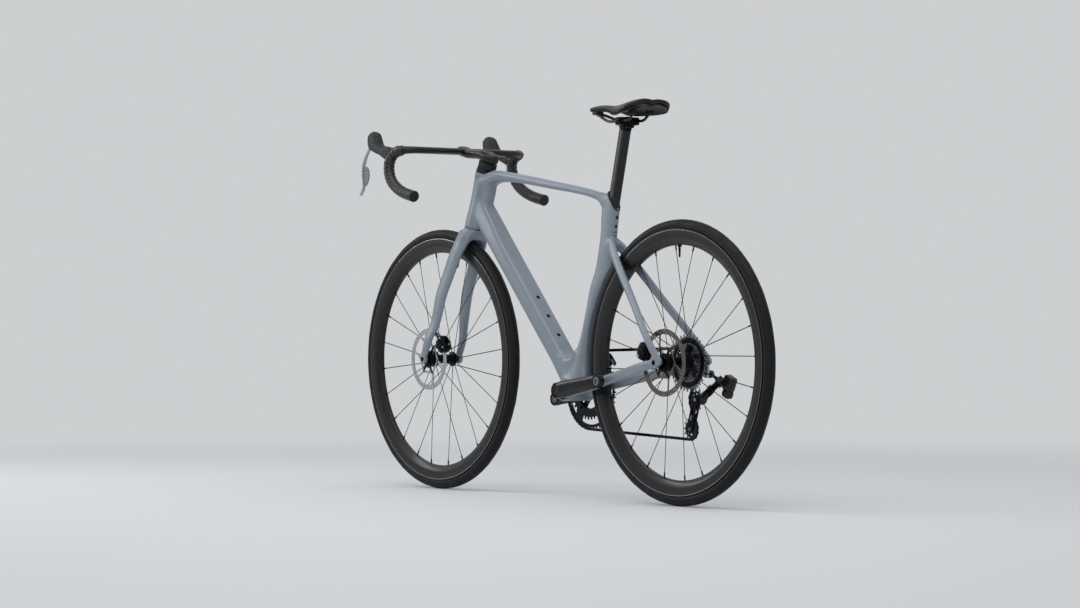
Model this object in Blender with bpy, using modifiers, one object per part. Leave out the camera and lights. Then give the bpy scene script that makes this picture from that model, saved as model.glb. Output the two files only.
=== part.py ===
# Road bike with drop bar, disc brakes and a two-ring, twelve-cog derailleur drive.
# Frame of reference: +X forward, +Y to the rider's left, +Z up, metres.
# The origin is on the ground, midway between the wheels.

import math

import bmesh
import bpy
from mathutils import Matrix, Vector

GAP = 0.0003                    # clearance between touching pieces

# Wheels
WHEELBASE = 0.990
WHEEL_RADIUS = 0.339
TYRE_WIDTH = 0.0285
TYRE_HEIGHT = 0.028             # bead to tread
BEAD_RADIUS = WHEEL_RADIUS - TYRE_HEIGHT
RIM_WIDTH = 0.029
RIM_DEPTH = 0.038
RIM_FLANGE_HEIGHT = 0.0055
WHEEL_STEPS = 44
SPOKES = 24
SPOKE_RADIUS = 0.0011
HUB_FLANGE_RADIUS = 0.0215
HUB_SHELL_RADIUS = 0.0125
FRONT_HUB_WIDTH = 0.100
REAR_HUB_WIDTH = 0.142
AXLE_RADIUS = 0.0060
AXLE_CLEARANCE = 0.0006
VALVE_RADIUS = 0.0028
VALVE_LENGTH = 0.044

# Disc brakes
ROTOR_RADIUS = 0.080
ROTOR_TRACK = 0.0125
ROTOR_THICKNESS = 0.0018
ROTOR_ARMS = 6
FRONT_ROTOR_OFFSET = 0.0400
REAR_ROTOR_OFFSET = 0.0470
PAD_GAP = 0.0004
PAD_THICKNESS = 0.0036
PAD_TRAVEL_CLEARANCE = 0.0010
CALIPER_LENGTH = 0.042
CALIPER_HEIGHT = 0.034
CALIPER_WIDTH = 0.030

ROTOR_BORE = 0.0168
FRONT_CALIPER_ANGLE = math.radians(150)
REAR_CALIPER_ANGLE = math.radians(20)

# Frame
BB_TYRE_ROOM = 0.071            # tread to the middle of the bottom bracket
CHAINSTAY_LENGTH = WHEEL_RADIUS + BB_TYRE_ROOM
BB_DROP = 0.072
BB_SHELL_WIDTH = 0.0865
BB_SHELL_RADIUS = 0.0265
BB_CUP_RADIUS = 0.0205
SPINDLE_RADIUS = 0.0145
HEAD_ANGLE = math.radians(73.0)
FORK_RAKE = 0.045
CROWN_ROOM = 0.031              # tread to crown race
FORK_LENGTH = WHEEL_RADIUS + CROWN_ROOM   # axle level to crown race, along the steering axis
HEAD_TUBE_LENGTH = 0.147
HEAD_TUBE_LOW_RADIUS = 0.0265
HEAD_TUBE_TOP_RADIUS = 0.0230
LOWER_BEARING_RADIUS = 0.0235
UPPER_BEARING_RADIUS = 0.0205
BEARING_HEIGHT = 0.0070
STEERER_RADIUS = 0.01430
STEERER_WALL = 0.0028
DOWN_TUBE_WIDTH = 0.054
DOWN_TUBE_DEPTH = 0.047
TOP_TUBE_SLOPE = math.radians(9.1)
TOP_TUBE_CREST = 0.069          # the level part behind the head tube
TOP_TUBE_DEPTH = 0.0155
TOP_TUBE_WIDTH = 0.037
SEAT_ANGLE = math.radians(75.8)
POST_SETBACK = 0.035            # post line behind the bottom bracket, at its height
SEAT_TUBE_LENGTH = 0.4745       # along the post line, from bottom bracket height to the collar
SEAT_TUBE_WIDTH = 0.025
COVER_THICKNESS = 0.0040
TYRE_CLEARANCE = 0.0065
STAY_WIDTH = 0.013
STAY_DEPTH = 0.022
CHAINSTAY_WIDTH = 0.0150
CHAINSTAY_DEPTH = 0.025
DROPOUT_THICKNESS = 0.0085
DROPOUT_RADIUS = 0.0150
BOSS_SPACING = 0.064
BOSS_RADIUS = 0.0040

# Fork
FORK_BLADE_DEPTH = 0.034
FORK_BLADE_WIDTH = 0.014
FORK_TIP_DEPTH = 0.022
FORK_TIP_WIDTH = 0.011
CROWN_WIDTH = 0.056

# Cockpit
HEADSET_COVER_HEIGHT = 0.0140
SPACER_HEIGHT = 0.0150
STEM_CLAMP_HEIGHT = 0.0250
SPACER_FRONT = 0.0205           # ahead of the steering axis
SPACER_REAR = 0.0370
STEM_REACH = 0.0971             # bar ahead of the steering axis
STEM_FALL = 0.02035             # bar below the steerer's end, along the axis
CAP_RADIUS = 0.0155
STEM_WIDTH = 0.038
BAR_HOOD_WIDTH = 0.376          # centre to centre at the hoods
BAR_DROP_WIDTH = 0.412          # centre to centre at the bar ends
BAR_TOP_DEPTH = 0.038
BAR_TOP_THICKNESS = 0.0175
BAR_RADIUS = 0.0119
TAPE_RADIUS = 0.0150
BAR_SIDES = 8
TAPE_FIRST = 4                  # the ring of the bar where the tape begins
HOOD_WIDTH = 0.031
LEVER_WIDTH = 0.0104

# Seat
POST_DEPTH = 0.035
POST_WIDTH = 0.020
POST_TOP = 0.652                # along the post line, from bottom bracket height
POST_INSERTION = 0.105
NOSE_REACH = 0.1303             # nose of the saddle ahead of the post's top
COVER_DEPTH = 0.0090
SHELL_GAP = 0.0009
SHELL_THICKNESS = 0.0034
RAIL_LIFT = 0.0214              # rails above the post's top
CLAMP_SETBACK = 0.0082
RAIL_RADIUS = 0.0035
RAIL_SPACING = 0.044

# Drive
PITCH = 0.0127
CRANK_LENGTH = 0.175
CRANK_ANGLE = math.radians(171.6)
CRANK_WIDTH = 0.028
CRANK_THICKNESS = 0.0135
PEDAL_HOLE_RADIUS = 0.0068
PEDAL_STANCE = 0.146
OUTER_TEETH = 48
INNER_TEETH = 35
OUTER_RING_OFFSET = 0.0465
RING_SPACING = 0.0070
RING_THICKNESS = 0.0020
BOLT_CIRCLE_RADIUS = 0.0535
COGS = (10, 11, 12, 13, 14, 15, 17, 19, 21, 24, 28, 33)
CHAIN_COG = 17
COG_SPACING = 0.0036
COG_THICKNESS = 0.0016
FIRST_COG_OFFSET = 0.0660
PULLEY_TEETH = 12
PULLEY_THICKNESS = 0.0020
ROLLER_LENGTH = 0.0050
PLATE_HEIGHT = 0.0080
CHAIN_WIDTH = 0.0050
CHAIN_INNER_WIDTH = 0.0026
TOOTH_HEIGHT = 0.0030
CASSETTE_CORE = 0.0158
CORE_SIDES = 14
FREEHUB_RADIUS = 0.0134
FREEHUB_BORE = 0.0119
RING_BORE = 0.0462
RING_BOLT_RADIUS = 0.0042
SPIDER_THICKNESS = 0.0040
CRANK_FACE = 0.0655             # outer face of the crank bosses
GUIDE_BEHIND_AXLE = 0.008
GUIDE_BELOW_AXLE = 0.088
CAGE_LENGTH = 0.0735
CAGE_NOMINAL_ANGLE = math.radians(17.0)

# Rear derailleur
LINK_DIP = math.radians(30.0)
LINK_SLANT = math.radians(38.0)
LINK_LENGTH = 0.038
LINK_WIDTH = 0.0130
LINK_THICKNESS = 0.0036
LINK_SPREAD = 0.0140
EAR_THICKNESS = 0.0024
KNUCKLE_Y = -0.0870
CAGE_THICKNESS = 0.0016
CAGE_OUTER = 0.0505             # distance of the cage pivot's outer face from the bike's middle

# Places worked out from the driving dimensions
REAR_AXLE = Vector((-WHEELBASE / 2, 0, WHEEL_RADIUS))
FRONT_AXLE = Vector((WHEELBASE / 2, 0, WHEEL_RADIUS))
BB = Vector((REAR_AXLE.x + math.sqrt(CHAINSTAY_LENGTH ** 2 - BB_DROP ** 2), 0,
             WHEEL_RADIUS - BB_DROP))
STEER_UP = Vector((-math.cos(HEAD_ANGLE), 0, math.sin(HEAD_ANGLE)))
STEER_FORWARD = Vector((math.sin(HEAD_ANGLE), 0, math.cos(HEAD_ANGLE)))
POST_UP = Vector((-math.cos(SEAT_ANGLE), 0, math.sin(SEAT_ANGLE)))
POST_FORWARD = Vector((math.sin(SEAT_ANGLE), 0, math.cos(SEAT_ANGLE)))
LEFT = Vector((0, 1, 0))


def steer(along, forward=0.0, left=0.0):
    # A point by the steering axis: height above the axle level along it, and offset forward
    foot = FRONT_AXLE - FORK_RAKE * STEER_FORWARD
    return foot + along * STEER_UP + forward * STEER_FORWARD + left * LEFT


def post(along, forward=0.0, left=0.0):
    # A point by the seat post's line, measured from the height of the bottom bracket
    foot = Vector((BB.x - POST_SETBACK, 0, BB.z))
    return foot + along * POST_UP + forward * POST_FORWARD + left * LEFT


HEAD_LOW = FORK_LENGTH
HEAD_TOP = FORK_LENGTH + HEAD_TUBE_LENGTH
COVER_TOP = HEAD_TOP + HEADSET_COVER_HEIGHT
STEM_LOW = COVER_TOP + SPACER_HEIGHT
STEERER_TOP = STEM_LOW + STEM_CLAMP_HEIGHT - 0.004
BAR_CENTRE = steer(STEERER_TOP - STEM_FALL, STEM_REACH)
LEVER_PIVOT = BAR_CENTRE + Vector((0.1645, BAR_HOOD_WIDTH / 2 - 0.0035, 0.014))
PADDLE_PIVOT = Vector((0.0310, 0, -0.050))
GUIDE = REAR_AXLE + Vector((-GUIDE_BEHIND_AXLE, 0, -GUIDE_BELOW_AXLE))
HANGER_BOLT = REAR_AXLE + Vector((-0.008, 0, -0.028))
LINK_ROOT = REAR_AXLE + Vector((-0.0490, -0.0850, -0.0430))
LINK_WAY = Vector((math.cos(LINK_DIP), 0, -math.sin(LINK_DIP)))
LINK_PIN = Vector((math.sin(LINK_DIP) * math.cos(LINK_SLANT), math.sin(LINK_SLANT),
                   math.cos(LINK_DIP) * math.cos(LINK_SLANT)))
LINK_SIDE = LINK_PIN.cross(LINK_WAY)


def clear_scene():
    for obj in list(bpy.data.objects):
        bpy.data.objects.remove(obj, do_unlink=True)


clear_scene()
COLLECTION = bpy.data.collections.new("road_bike")
CUTTERS = bpy.data.collections.new("cutters")
bpy.context.scene.collection.children.link(COLLECTION)
bpy.context.scene.collection.children.link(CUTTERS)


def material(name, rgb, roughness, metallic=0.0):
    mat = bpy.data.materials.new(name)
    mat.use_nodes = True
    shader = mat.node_tree.nodes["Principled BSDF"]
    shader.inputs["Base Color"].default_value = (*rgb, 1.0)
    shader.inputs["Roughness"].default_value = roughness
    shader.inputs["Metallic"].default_value = metallic
    mat.diffuse_color = (*rgb, 1.0)
    return mat


PAINT = material("grey_blue_paint", (0.27, 0.32, 0.38), 0.45)
CARBON = material("black_carbon", (0.015, 0.015, 0.017), 0.40)
ALLOY_BLACK = material("black_anodised_alloy", (0.02, 0.02, 0.022), 0.35, 0.8)
ALLOY = material("bare_alloy", (0.55, 0.55, 0.56), 0.30, 1.0)
STEEL = material("steel", (0.42, 0.42, 0.43), 0.30, 1.0)
RUBBER = material("tyre_rubber", (0.018, 0.018, 0.018), 0.75)
HOOD_RUBBER = material("hood_rubber", (0.02, 0.02, 0.02), 0.70)
TAPE = material("bar_tape", (0.02, 0.02, 0.02), 0.45)
PLASTIC = material("black_plastic", (0.02, 0.02, 0.02), 0.50)
COVER = material("saddle_cover", (0.02, 0.02, 0.02), 0.60)
PAD_COMPOUND = material("brake_pad", (0.12, 0.09, 0.07), 0.85)


def add(name, mesh):
    # Blanks and cutters are kept apart until a piece is finished
    obj = bpy.data.objects.new(name, mesh)
    CUTTERS.objects.link(obj)
    return obj


def outward(mesh):
    # Merge doubled corners, drop corners in the middle of an edge and point every face out
    bm = bmesh.new()
    bm.from_mesh(mesh)
    bmesh.ops.remove_doubles(bm, verts=bm.verts, dist=1e-6)
    spare = [vert for vert in bm.verts if len(vert.link_edges) == 2]
    bmesh.ops.dissolve_verts(bm, verts=spare)
    bmesh.ops.recalc_face_normals(bm, faces=bm.faces)
    bm.to_mesh(mesh)
    bm.free()


def made_mesh(obj):
    # The object with its modifiers or curve turned into a plain mesh in world space
    bpy.context.view_layer.update()
    graph = bpy.context.evaluated_depsgraph_get()
    mesh = bpy.data.meshes.new_from_object(obj.evaluated_get(graph))
    mesh.transform(obj.matrix_world)
    name = obj.name
    bpy.data.objects.remove(obj, do_unlink=True)
    outward(mesh)
    return add(name, mesh)


def combine(target, tools, operation):
    for tool in tools:
        modifier = target.modifiers.new(operation, "BOOLEAN")
        modifier.operation = operation
        modifier.solver = "EXACT"
        modifier.object = tool
        target = made_mesh(target)
        bpy.data.objects.remove(tool, do_unlink=True)
    return target


def union(target, *tools):
    return combine(target, tools, "UNION")


def cut(target, *tools):
    return combine(target, tools, "DIFFERENCE")


def finish(obj, name, mat, pivot=None):
    # Name the piece, give it its material and put its origin on its joint's axis
    CUTTERS.objects.unlink(obj)
    COLLECTION.objects.link(obj)
    obj.name = name
    obj.data.name = name
    obj.data.materials.clear()
    obj.data.materials.append(mat)
    if pivot is not None:
        obj.data.transform(Matrix.Translation(-Vector(pivot)))
        obj.location = pivot
    obj.data.shade_smooth()
    obj.data.set_sharp_from_angle(angle=math.radians(35))
    return obj


def axes_to(direction):
    # Rotation that turns local +Z into the direction
    return Vector(direction).to_track_quat("Z", "Y").to_matrix().to_4x4()


def cylinder(start, end, radius, sides=16, end_radius=None):
    start, end = Vector(start), Vector(end)
    mesh = bpy.data.meshes.new("cylinder")
    bm = bmesh.new()
    bmesh.ops.create_cone(bm, cap_ends=True, segments=sides, radius1=radius,
                          radius2=radius if end_radius is None else end_radius,
                          depth=(end - start).length)
    bm.to_mesh(mesh)
    bm.free()
    mesh.transform(Matrix.Translation((start + end) / 2) @ axes_to(end - start))
    return add("cylinder", mesh)


def box(centre, size, turn=None):
    mesh = bpy.data.meshes.new("box")
    bm = bmesh.new()
    bmesh.ops.create_cube(bm, size=1.0)
    bm.to_mesh(mesh)
    bm.free()
    mesh.transform(Matrix.Diagonal((*size, 1.0)))
    if turn is not None:
        mesh.transform(turn.to_4x4())
    mesh.transform(Matrix.Translation(centre))
    outward(mesh)
    return add("box", mesh)


def rounded_box(centre, size, bevel, turn=None, segments=1):
    obj = box((0, 0, 0), size)
    modifier = obj.modifiers.new("bevel", "BEVEL")
    modifier.width = bevel
    modifier.segments = segments
    obj = made_mesh(obj)
    if turn is not None:
        obj.data.transform(turn.to_4x4())
    obj.data.transform(Matrix.Translation(centre))
    outward(obj.data)
    return obj


def turned(profile, centre, axis=LEFT, steps=24, closed=False):
    # A profile of (radius, height) pairs, listed from top to bottom, turned about an axis
    mesh = bpy.data.meshes.new("turned")
    bm = bmesh.new()
    verts = [bm.verts.new((radius, 0, height)) for radius, height in profile]
    for first, second in zip(verts, verts[1:]):
        bm.edges.new((first, second))
    if closed:
        bm.edges.new((verts[-1], verts[0]))
    bm.to_mesh(mesh)
    bm.free()
    obj = add("turned", mesh)
    screw = obj.modifiers.new("screw", "SCREW")
    screw.angle = math.tau
    screw.steps = steps
    screw.render_steps = steps
    screw.use_merge_vertices = True
    screw.merge_threshold = 0.00001
    obj.matrix_world = Matrix.Translation(centre) @ axes_to(axis)
    return made_mesh(obj)


def tube(points, radius, resolution=2, closed=False):
    curve = bpy.data.curves.new("tube", "CURVE")
    curve.dimensions = "3D"
    curve.bevel_depth = radius
    curve.bevel_resolution = resolution
    curve.use_fill_caps = True
    spline = curve.splines.new("POLY")
    spline.points.add(len(points) - 1)
    for slot, point in zip(spline.points, points):
        slot.co = (*point, 1.0)
    spline.use_cyclic_u = closed
    return made_mesh(add("tube", curve))


def flat(outlines, thickness, centre, turn=None):
    # A flat plate in the XZ plane from closed outlines of (x, z) pairs; later outlines are holes
    curve = bpy.data.curves.new("flat", "CURVE")
    curve.dimensions = "2D"
    curve.fill_mode = "BOTH"
    curve.extrude = thickness / 2
    for outline in outlines:
        spline = curve.splines.new("POLY")
        spline.points.add(len(outline) - 1)
        for slot, (x, z) in zip(spline.points, outline):
            slot.co = (x, z, 0, 1)
        spline.use_cyclic_u = True
    obj = made_mesh(add("flat", curve))
    obj.data.transform(Matrix.Rotation(math.radians(90), 4, "X"))
    if turn is not None:
        obj.data.transform(turn)
    obj.data.transform(Matrix.Translation(centre))
    return obj


def superellipse(centre, half_a, half_b, power, sides):
    # Ring of points on |a|^p + |b|^p = 1 between an ellipse (2) and a box (large)
    ring = []
    for step in range(sides):
        angle = math.tau * (step + 0.5) / sides
        cosine, sine = math.cos(angle), math.sin(angle)
        a = math.copysign(abs(cosine) ** (2 / power), cosine)
        b = math.copysign(abs(sine) ** (2 / power), sine)
        ring.append(centre + a * half_a + b * half_b)
    return ring


def loft(sections, sides=12):
    # A skin through rings; each section is (centre, half_a, half_b, power)
    mesh = bpy.data.meshes.new("loft")
    bm = bmesh.new()
    rings = [[bm.verts.new(point) for point in superellipse(*section, sides)] for section in sections]
    for low, high in zip(rings, rings[1:]):
        for index in range(sides):
            after = (index + 1) % sides
            bm.faces.new((low[index], low[after], high[after], high[index]))
    bm.faces.new(rings[0])
    bm.faces.new(rings[-1])
    bmesh.ops.recalc_face_normals(bm, faces=bm.faces)
    bm.to_mesh(mesh)
    bm.free()
    return add("loft", mesh)


def hull(sections, sides=8):
    # The tightest convex body around rings of points
    mesh = bpy.data.meshes.new("hull")
    bm = bmesh.new()
    for section in sections:
        for point in superellipse(*section, sides):
            bm.verts.new(point)
    made = bmesh.ops.convex_hull(bm, input=bm.verts)
    inside = [item for item in made["geom_interior"] if isinstance(item, bmesh.types.BMVert)]
    bmesh.ops.delete(bm, geom=inside, context="VERTS")
    bmesh.ops.recalc_face_normals(bm, faces=bm.faces)
    bm.to_mesh(mesh)
    bm.free()
    return add("hull", mesh)


def side_section(front, rear, half_width, power=2.6, y=0.0):
    # A section seen in the side view as the line from its front edge to its rear edge
    front, rear = Vector((front[0], y, front[1])), Vector((rear[0], y, rear[1]))
    return ((front + rear) / 2, (front - rear) / 2, half_width * LEFT, power)


def mirrored(obj):
    # The same shape on the other side of the bike
    copy = add(obj.name + "_mirror", obj.data.copy())
    copy.data.transform(Matrix.Diagonal((1, -1, 1, 1)))
    outward(copy.data)
    return copy


def mix(a, b, share):
    return a + (b - a) * share


def xz(vector):
    return (vector.x, vector.z)


# Frame

def down_tube_centre(share):
    # From the middle of the head tube to a point just behind the bottom bracket
    top = steer(HEAD_LOW + 0.45 * HEAD_TUBE_LENGTH)
    foot = Vector((BB.x - 0.020, 0, BB.z))
    return mix(top, foot, share)


def down_tube_normal():
    along = (down_tube_centre(1) - down_tube_centre(0)).normalized()
    return Vector((-along.z, 0, along.x))


def down_tube_section(share, depth, width, power=2.8):
    normal = down_tube_normal()
    return (down_tube_centre(share), normal * depth / 2, width / 2 * LEFT, power)


def make_down_tube():
    deep = DOWN_TUBE_DEPTH
    wide = DOWN_TUBE_WIDTH
    return loft([
        down_tube_section(0.02, deep * 1.30, wide * 0.74),
        down_tube_section(0.12, deep * 1.22, wide * 0.84),
        down_tube_section(0.22, deep * 1.06, wide * 0.96),
        down_tube_section(0.34, deep, wide),
        down_tube_section(0.80, deep, wide),
        down_tube_section(0.92, deep * 1.10, wide * 1.10),
        down_tube_section(1.00, deep * 1.15, wide * 1.20),
    ])


def make_head_tube():
    low, top = HEAD_TUBE_LOW_RADIUS, HEAD_TUBE_TOP_RADIUS

    def section(share, front, rear, half):
        along = HEAD_LOW + share * HEAD_TUBE_LENGTH
        return (steer(along, (front - rear) / 2), (front + rear) / 2 * STEER_FORWARD, half * LEFT, 2.6)

    return loft([
        section(0.00, low - 0.001, low + 0.004, low),
        section(0.14, low - 0.002, low + 0.010, low - 0.002),
        section(0.40, top - 0.001, top + 0.026, top - 0.002),
        section(0.60, top - 0.001, top + 0.027, top - 0.003),
        section(0.84, top - 0.001, top + 0.027, top - 0.003),
        section(1.00, top, top + 0.018, top),
    ])


def top_tube_top(x):
    # Height of the top tube's upper face: level behind the head tube, then sloping down
    head = steer(HEAD_TOP)
    return head.z - max(0.0, head.x - TOP_TUBE_CREST - x) * math.tan(TOP_TUBE_SLOPE)


def top_tube_section(x, depth, width, lift=0.0):
    height = top_tube_top(x) + lift
    return side_section((x, height), (x, height - depth), width / 2, 2.6)


def make_top_tube():
    head = steer(HEAD_TOP).x
    seat = post(SEAT_TUBE_LENGTH + 0.010).x
    wide = TOP_TUBE_WIDTH
    deep = TOP_TUBE_DEPTH
    return loft([
        top_tube_section(head - 0.010, 0.038, wide * 1.15, -0.0045),
        top_tube_section(head - 0.040, 0.034, wide * 1.18, 0.0005),
        top_tube_section(head - TOP_TUBE_CREST, deep * 1.75, wide * 1.15),
        top_tube_section(head - 0.110, deep * 1.35, wide * 1.08),
        top_tube_section(head - 0.170, deep * 1.10, wide),
        top_tube_section(mix(head, seat, 0.55), deep, wide * 0.92),
        top_tube_section(seat + 0.105, deep, wide * 0.82),
        top_tube_section(seat + 0.075, deep * 1.15, wide * 0.76),
        top_tube_section(seat + 0.052, deep * 1.65, SEAT_TUBE_WIDTH),
        top_tube_section(seat + 0.038, deep * 2.6, SEAT_TUBE_WIDTH),
        top_tube_section(seat + 0.010, deep * 2.9, SEAT_TUBE_WIDTH),
    ])


def wheel_arc_x(radius, z):
    # Front of a circle about the rear axle, at a height
    return REAR_AXLE.x + math.sqrt(radius ** 2 - (z - REAR_AXLE.z) ** 2)


def make_seat_tube():
    wide = SEAT_TUBE_WIDTH / 2
    clear = WHEEL_RADIUS + TYRE_CLEARANCE
    collar = SEAT_TUBE_LENGTH
    front = POST_DEPTH / 2 + 0.0045
    rear = POST_DEPTH / 2 + 0.0030

    def upper(along, extra_front=0.0, extra_rear=0.0):
        return side_section(xz(post(along, front + extra_front)), xz(post(along, -rear - extra_rear)),
                            wide, 3.2)

    def lower(height, depth, half, overlap=0.0015):
        # Below the junction of the stays the tube follows the tyre
        z = BB.z + height
        rear_x = wheel_arc_x(clear, z) - overlap
        return side_section((rear_x + depth, z), (rear_x, z), half, 2.8)

    return loft([
        upper(collar + 0.030),
        upper(collar - 0.030),
        upper(collar - 0.080, -0.002, 0.004),
        upper(collar - 0.120, 0.001, 0.012),
        lower(0.300, 0.060, wide),
        lower(0.250, 0.045, wide * 1.10),
        lower(0.195, 0.031, wide * 1.30),
        lower(0.140, 0.029, wide * 1.55),
        lower(0.095, 0.044, wide * 1.85),
        lower(0.050, 0.075, wide * 2.3),
        lower(0.010, 0.085, wide * 2.7),
    ])


def make_seat_stay():
    join = post(SEAT_TUBE_LENGTH - 0.086, -0.006)
    wrist = REAR_AXLE + Vector((0.012, REAR_HUB_WIDTH / 2 + DROPOUT_THICKNESS / 2 + 0.0006, 0.012))
    along = wrist - join
    across = Vector((along.z, 0, -along.x)).normalized() * -1
    sections = []
    plan = ((0.00, 0.004, 0.72, 0.75), (0.10, 0.016, 1.25, 0.95), (0.22, 0.026, 1.10, 1.0),
            (0.55, 0.049, 0.95, 1.0), (0.90, 0.0735, 0.95, 0.80), (1.00, wrist.y, 1.05, 0.62))
    for share, y, deep, wide in plan:
        place = Vector(mix(join, wrist, share))
        place.y = y
        sections.append((place, across * STAY_DEPTH / 2 * deep, STAY_WIDTH / 2 * wide * LEFT, 2.6))
    return loft(sections, 8)


def chainstay_line(share):
    start = BB + Vector((-0.020, 0, 0.000))
    return mix(start, REAR_AXLE + Vector((0.004, 0, -0.002)), share)


def make_chainstay():
    plan = ((0.00, 0.0255, 1.20, 1.15), (0.15, 0.0265, 1.15, 1.00), (0.26, 0.0285, 1.10, 0.95),
            (0.36, 0.0360, 1.04, 1.00), (0.62, 0.0540, 0.98, 1.00), (0.92, 0.0755, 0.96, 0.68),
            (1.00, REAR_HUB_WIDTH / 2 + DROPOUT_THICKNESS / 2 + 0.0006, 0.92, 0.54))
    up = (chainstay_line(1) - chainstay_line(0)).normalized()
    up = Vector((-up.z, 0, up.x))
    sections = []
    for share, y, deep, wide in plan:
        place = Vector(chainstay_line(share))
        place.y = y
        sections.append((place, up * CHAINSTAY_DEPTH / 2 * deep, CHAINSTAY_WIDTH / 2 * wide * LEFT, 2.8))
    return loft(sections, 8)


def make_dropout():
    inner = REAR_HUB_WIDTH / 2 + GAP
    return cylinder(REAR_AXLE + inner * LEFT, REAR_AXLE + (inner + DROPOUT_THICKNESS) * LEFT,
                    DROPOUT_RADIUS, 16)


def wheel_clearance(axle, radius, half_width):
    # The space that a wheel needs between the stays or the fork blades
    edge = 0.006
    return turned([(0, half_width), (radius - edge, half_width), (radius, half_width - edge),
                   (radius, edge - half_width), (radius - edge, -half_width), (0, -half_width)],
                  axle, steps=48)


def boss_point(index):
    # Bottle bosses on the flat upper face of the down tube
    share = 0.548 + index * BOSS_SPACING / (down_tube_centre(1) - down_tube_centre(0)).length
    flat_face = math.cos(math.pi / 12) ** (2 / 2.8)
    return down_tube_centre(share) - down_tube_normal() * DOWN_TUBE_DEPTH / 2 * flat_face


def post_section(along, clearance=0.0, power=2.6):
    return (post(along), (POST_DEPTH / 2 + clearance) * POST_FORWARD,
            (POST_WIDTH / 2 + clearance) * LEFT, power)


def collar_points():
    # Rear and front ends of the slanted top of the seat cluster
    return (post(SEAT_TUBE_LENGTH - 0.020, -POST_DEPTH / 2 - 0.004),
            post(SEAT_TUBE_LENGTH + 0.018, POST_DEPTH / 2 + 0.004))


def collar_plane_box():
    # Trims the seat cluster along its slanted top
    rear, front = collar_points()
    along = (front - rear).normalized()
    up = Vector((-along.z, 0, along.x))
    turn = Matrix((along, LEFT, up)).transposed()
    size = ((front - rear).length + 0.060, 0.080, 0.060)
    return box((front + rear) / 2 + up * size[2] / 2, size, turn)


def make_frame():
    down = down_tube_normal()
    frame = make_head_tube()
    frame = union(frame, make_down_tube())
    frame = union(frame, make_top_tube())
    frame = union(frame, make_seat_tube())
    shell = cylinder(BB - BB_SHELL_WIDTH / 2 * LEFT, BB + BB_SHELL_WIDTH / 2 * LEFT,
                     BB_SHELL_RADIUS, 20)
    frame = union(frame, shell)
    for piece in (make_seat_stay(), make_chainstay(), make_dropout()):
        frame = union(frame, mirrored(piece), piece)
    tyre_space = wheel_clearance(REAR_AXLE, WHEEL_RADIUS + TYRE_CLEARANCE, TYRE_WIDTH / 2 + 0.0045)
    frame = cut(frame, tyre_space)
    frame = cut(frame, cylinder(BB - 0.08 * LEFT, BB + 0.08 * LEFT, BB_CUP_RADIUS + 2 * GAP, 20))
    steps = [(LOWER_BEARING_RADIUS + 2 * GAP, HEAD_LOW + BEARING_HEIGHT + GAP),
             (UPPER_BEARING_RADIUS + 2 * GAP, HEAD_TOP - BEARING_HEIGHT - GAP)]
    frame = cut(frame, cylinder(steer(HEAD_LOW - 0.02), steer(steps[0][1]), steps[0][0], 20))
    frame = cut(frame, cylinder(steer(HEAD_LOW - 0.01), steer(HEAD_TOP + 0.02), STEERER_RADIUS + 0.003, 12))
    frame = cut(frame, cylinder(steer(steps[1][1]), steer(HEAD_TOP + 0.03), steps[1][0], 20))
    frame = cut(frame, cylinder(steer(HEAD_TOP), steer(HEAD_TOP + 0.06), HEAD_TUBE_TOP_RADIUS + 0.0010, 24))
    frame = cut(frame, collar_plane_box())
    sleeve = [post_section(SEAT_TUBE_LENGTH - POST_INSERTION - 0.050, GAP),
              post_section(SEAT_TUBE_LENGTH + 0.060, GAP)]
    frame = cut(frame, loft(sleeve, 12))
    hole = AXLE_RADIUS + AXLE_CLEARANCE
    frame = cut(frame, cylinder(REAR_AXLE - 0.09 * LEFT, REAR_AXLE + 0.09 * LEFT, hole, 12))
    for index in range(3):
        place = boss_point(index)
        frame = cut(frame, cylinder(place - down * 0.010, place + down * 0.006, BOSS_RADIUS, 8))
    return finish(frame, "frame", PAINT)


def make_seat_cover():
    # Rubber cap on the slanted top of the seat cluster, around the post
    front = POST_DEPTH / 2 + 0.0030
    rear = POST_DEPTH / 2 + 0.0022
    half = SEAT_TUBE_WIDTH / 2 - 0.0006
    body = loft([side_section(xz(post(along, front)), xz(post(along, -rear)), half, 3.2)
                 for along in (SEAT_TUBE_LENGTH - 0.030, SEAT_TUBE_LENGTH + 0.034)])
    low, high = collar_points()
    along = (high - low).normalized()
    up = Vector((-along.z, 0, along.x))
    turn = Matrix((along, LEFT, up)).transposed()
    keep = box((low + high) / 2 + up * (GAP + COVER_THICKNESS / 2), (0.2, 0.1, COVER_THICKNESS), turn)
    body = combine(body, [keep], "INTERSECT")
    body = cut(body, loft([post_section(SEAT_TUBE_LENGTH - 0.060, GAP),
                           post_section(SEAT_TUBE_LENGTH + 0.060, GAP)], 12))
    return finish(body, "seat_clamp_cover", HOOD_RUBBER)


def make_post():
    foot = SEAT_TUBE_LENGTH - POST_INSERTION
    body = loft([post_section(foot), post_section(POST_TOP)], 12)
    return finish(body, "seatpost", CARBON, post(SEAT_TUBE_LENGTH))


# Bearings, bottom bracket and axles

def make_bearings():
    pivot = steer(HEAD_LOW)
    wide = STEERER_RADIUS + 2 * GAP
    for name, radius, low in (("headset_lower_bearing", LOWER_BEARING_RADIUS, HEAD_LOW),
                              ("headset_upper_bearing", UPPER_BEARING_RADIUS,
                               HEAD_TOP - BEARING_HEIGHT)):
        high = low + BEARING_HEIGHT
        ring = turned([(wide, high), (radius, high), (radius, low), (wide, low)],
                      steer(0), STEER_UP, 20, closed=True)
        finish(ring, name, STEEL, pivot)


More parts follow.
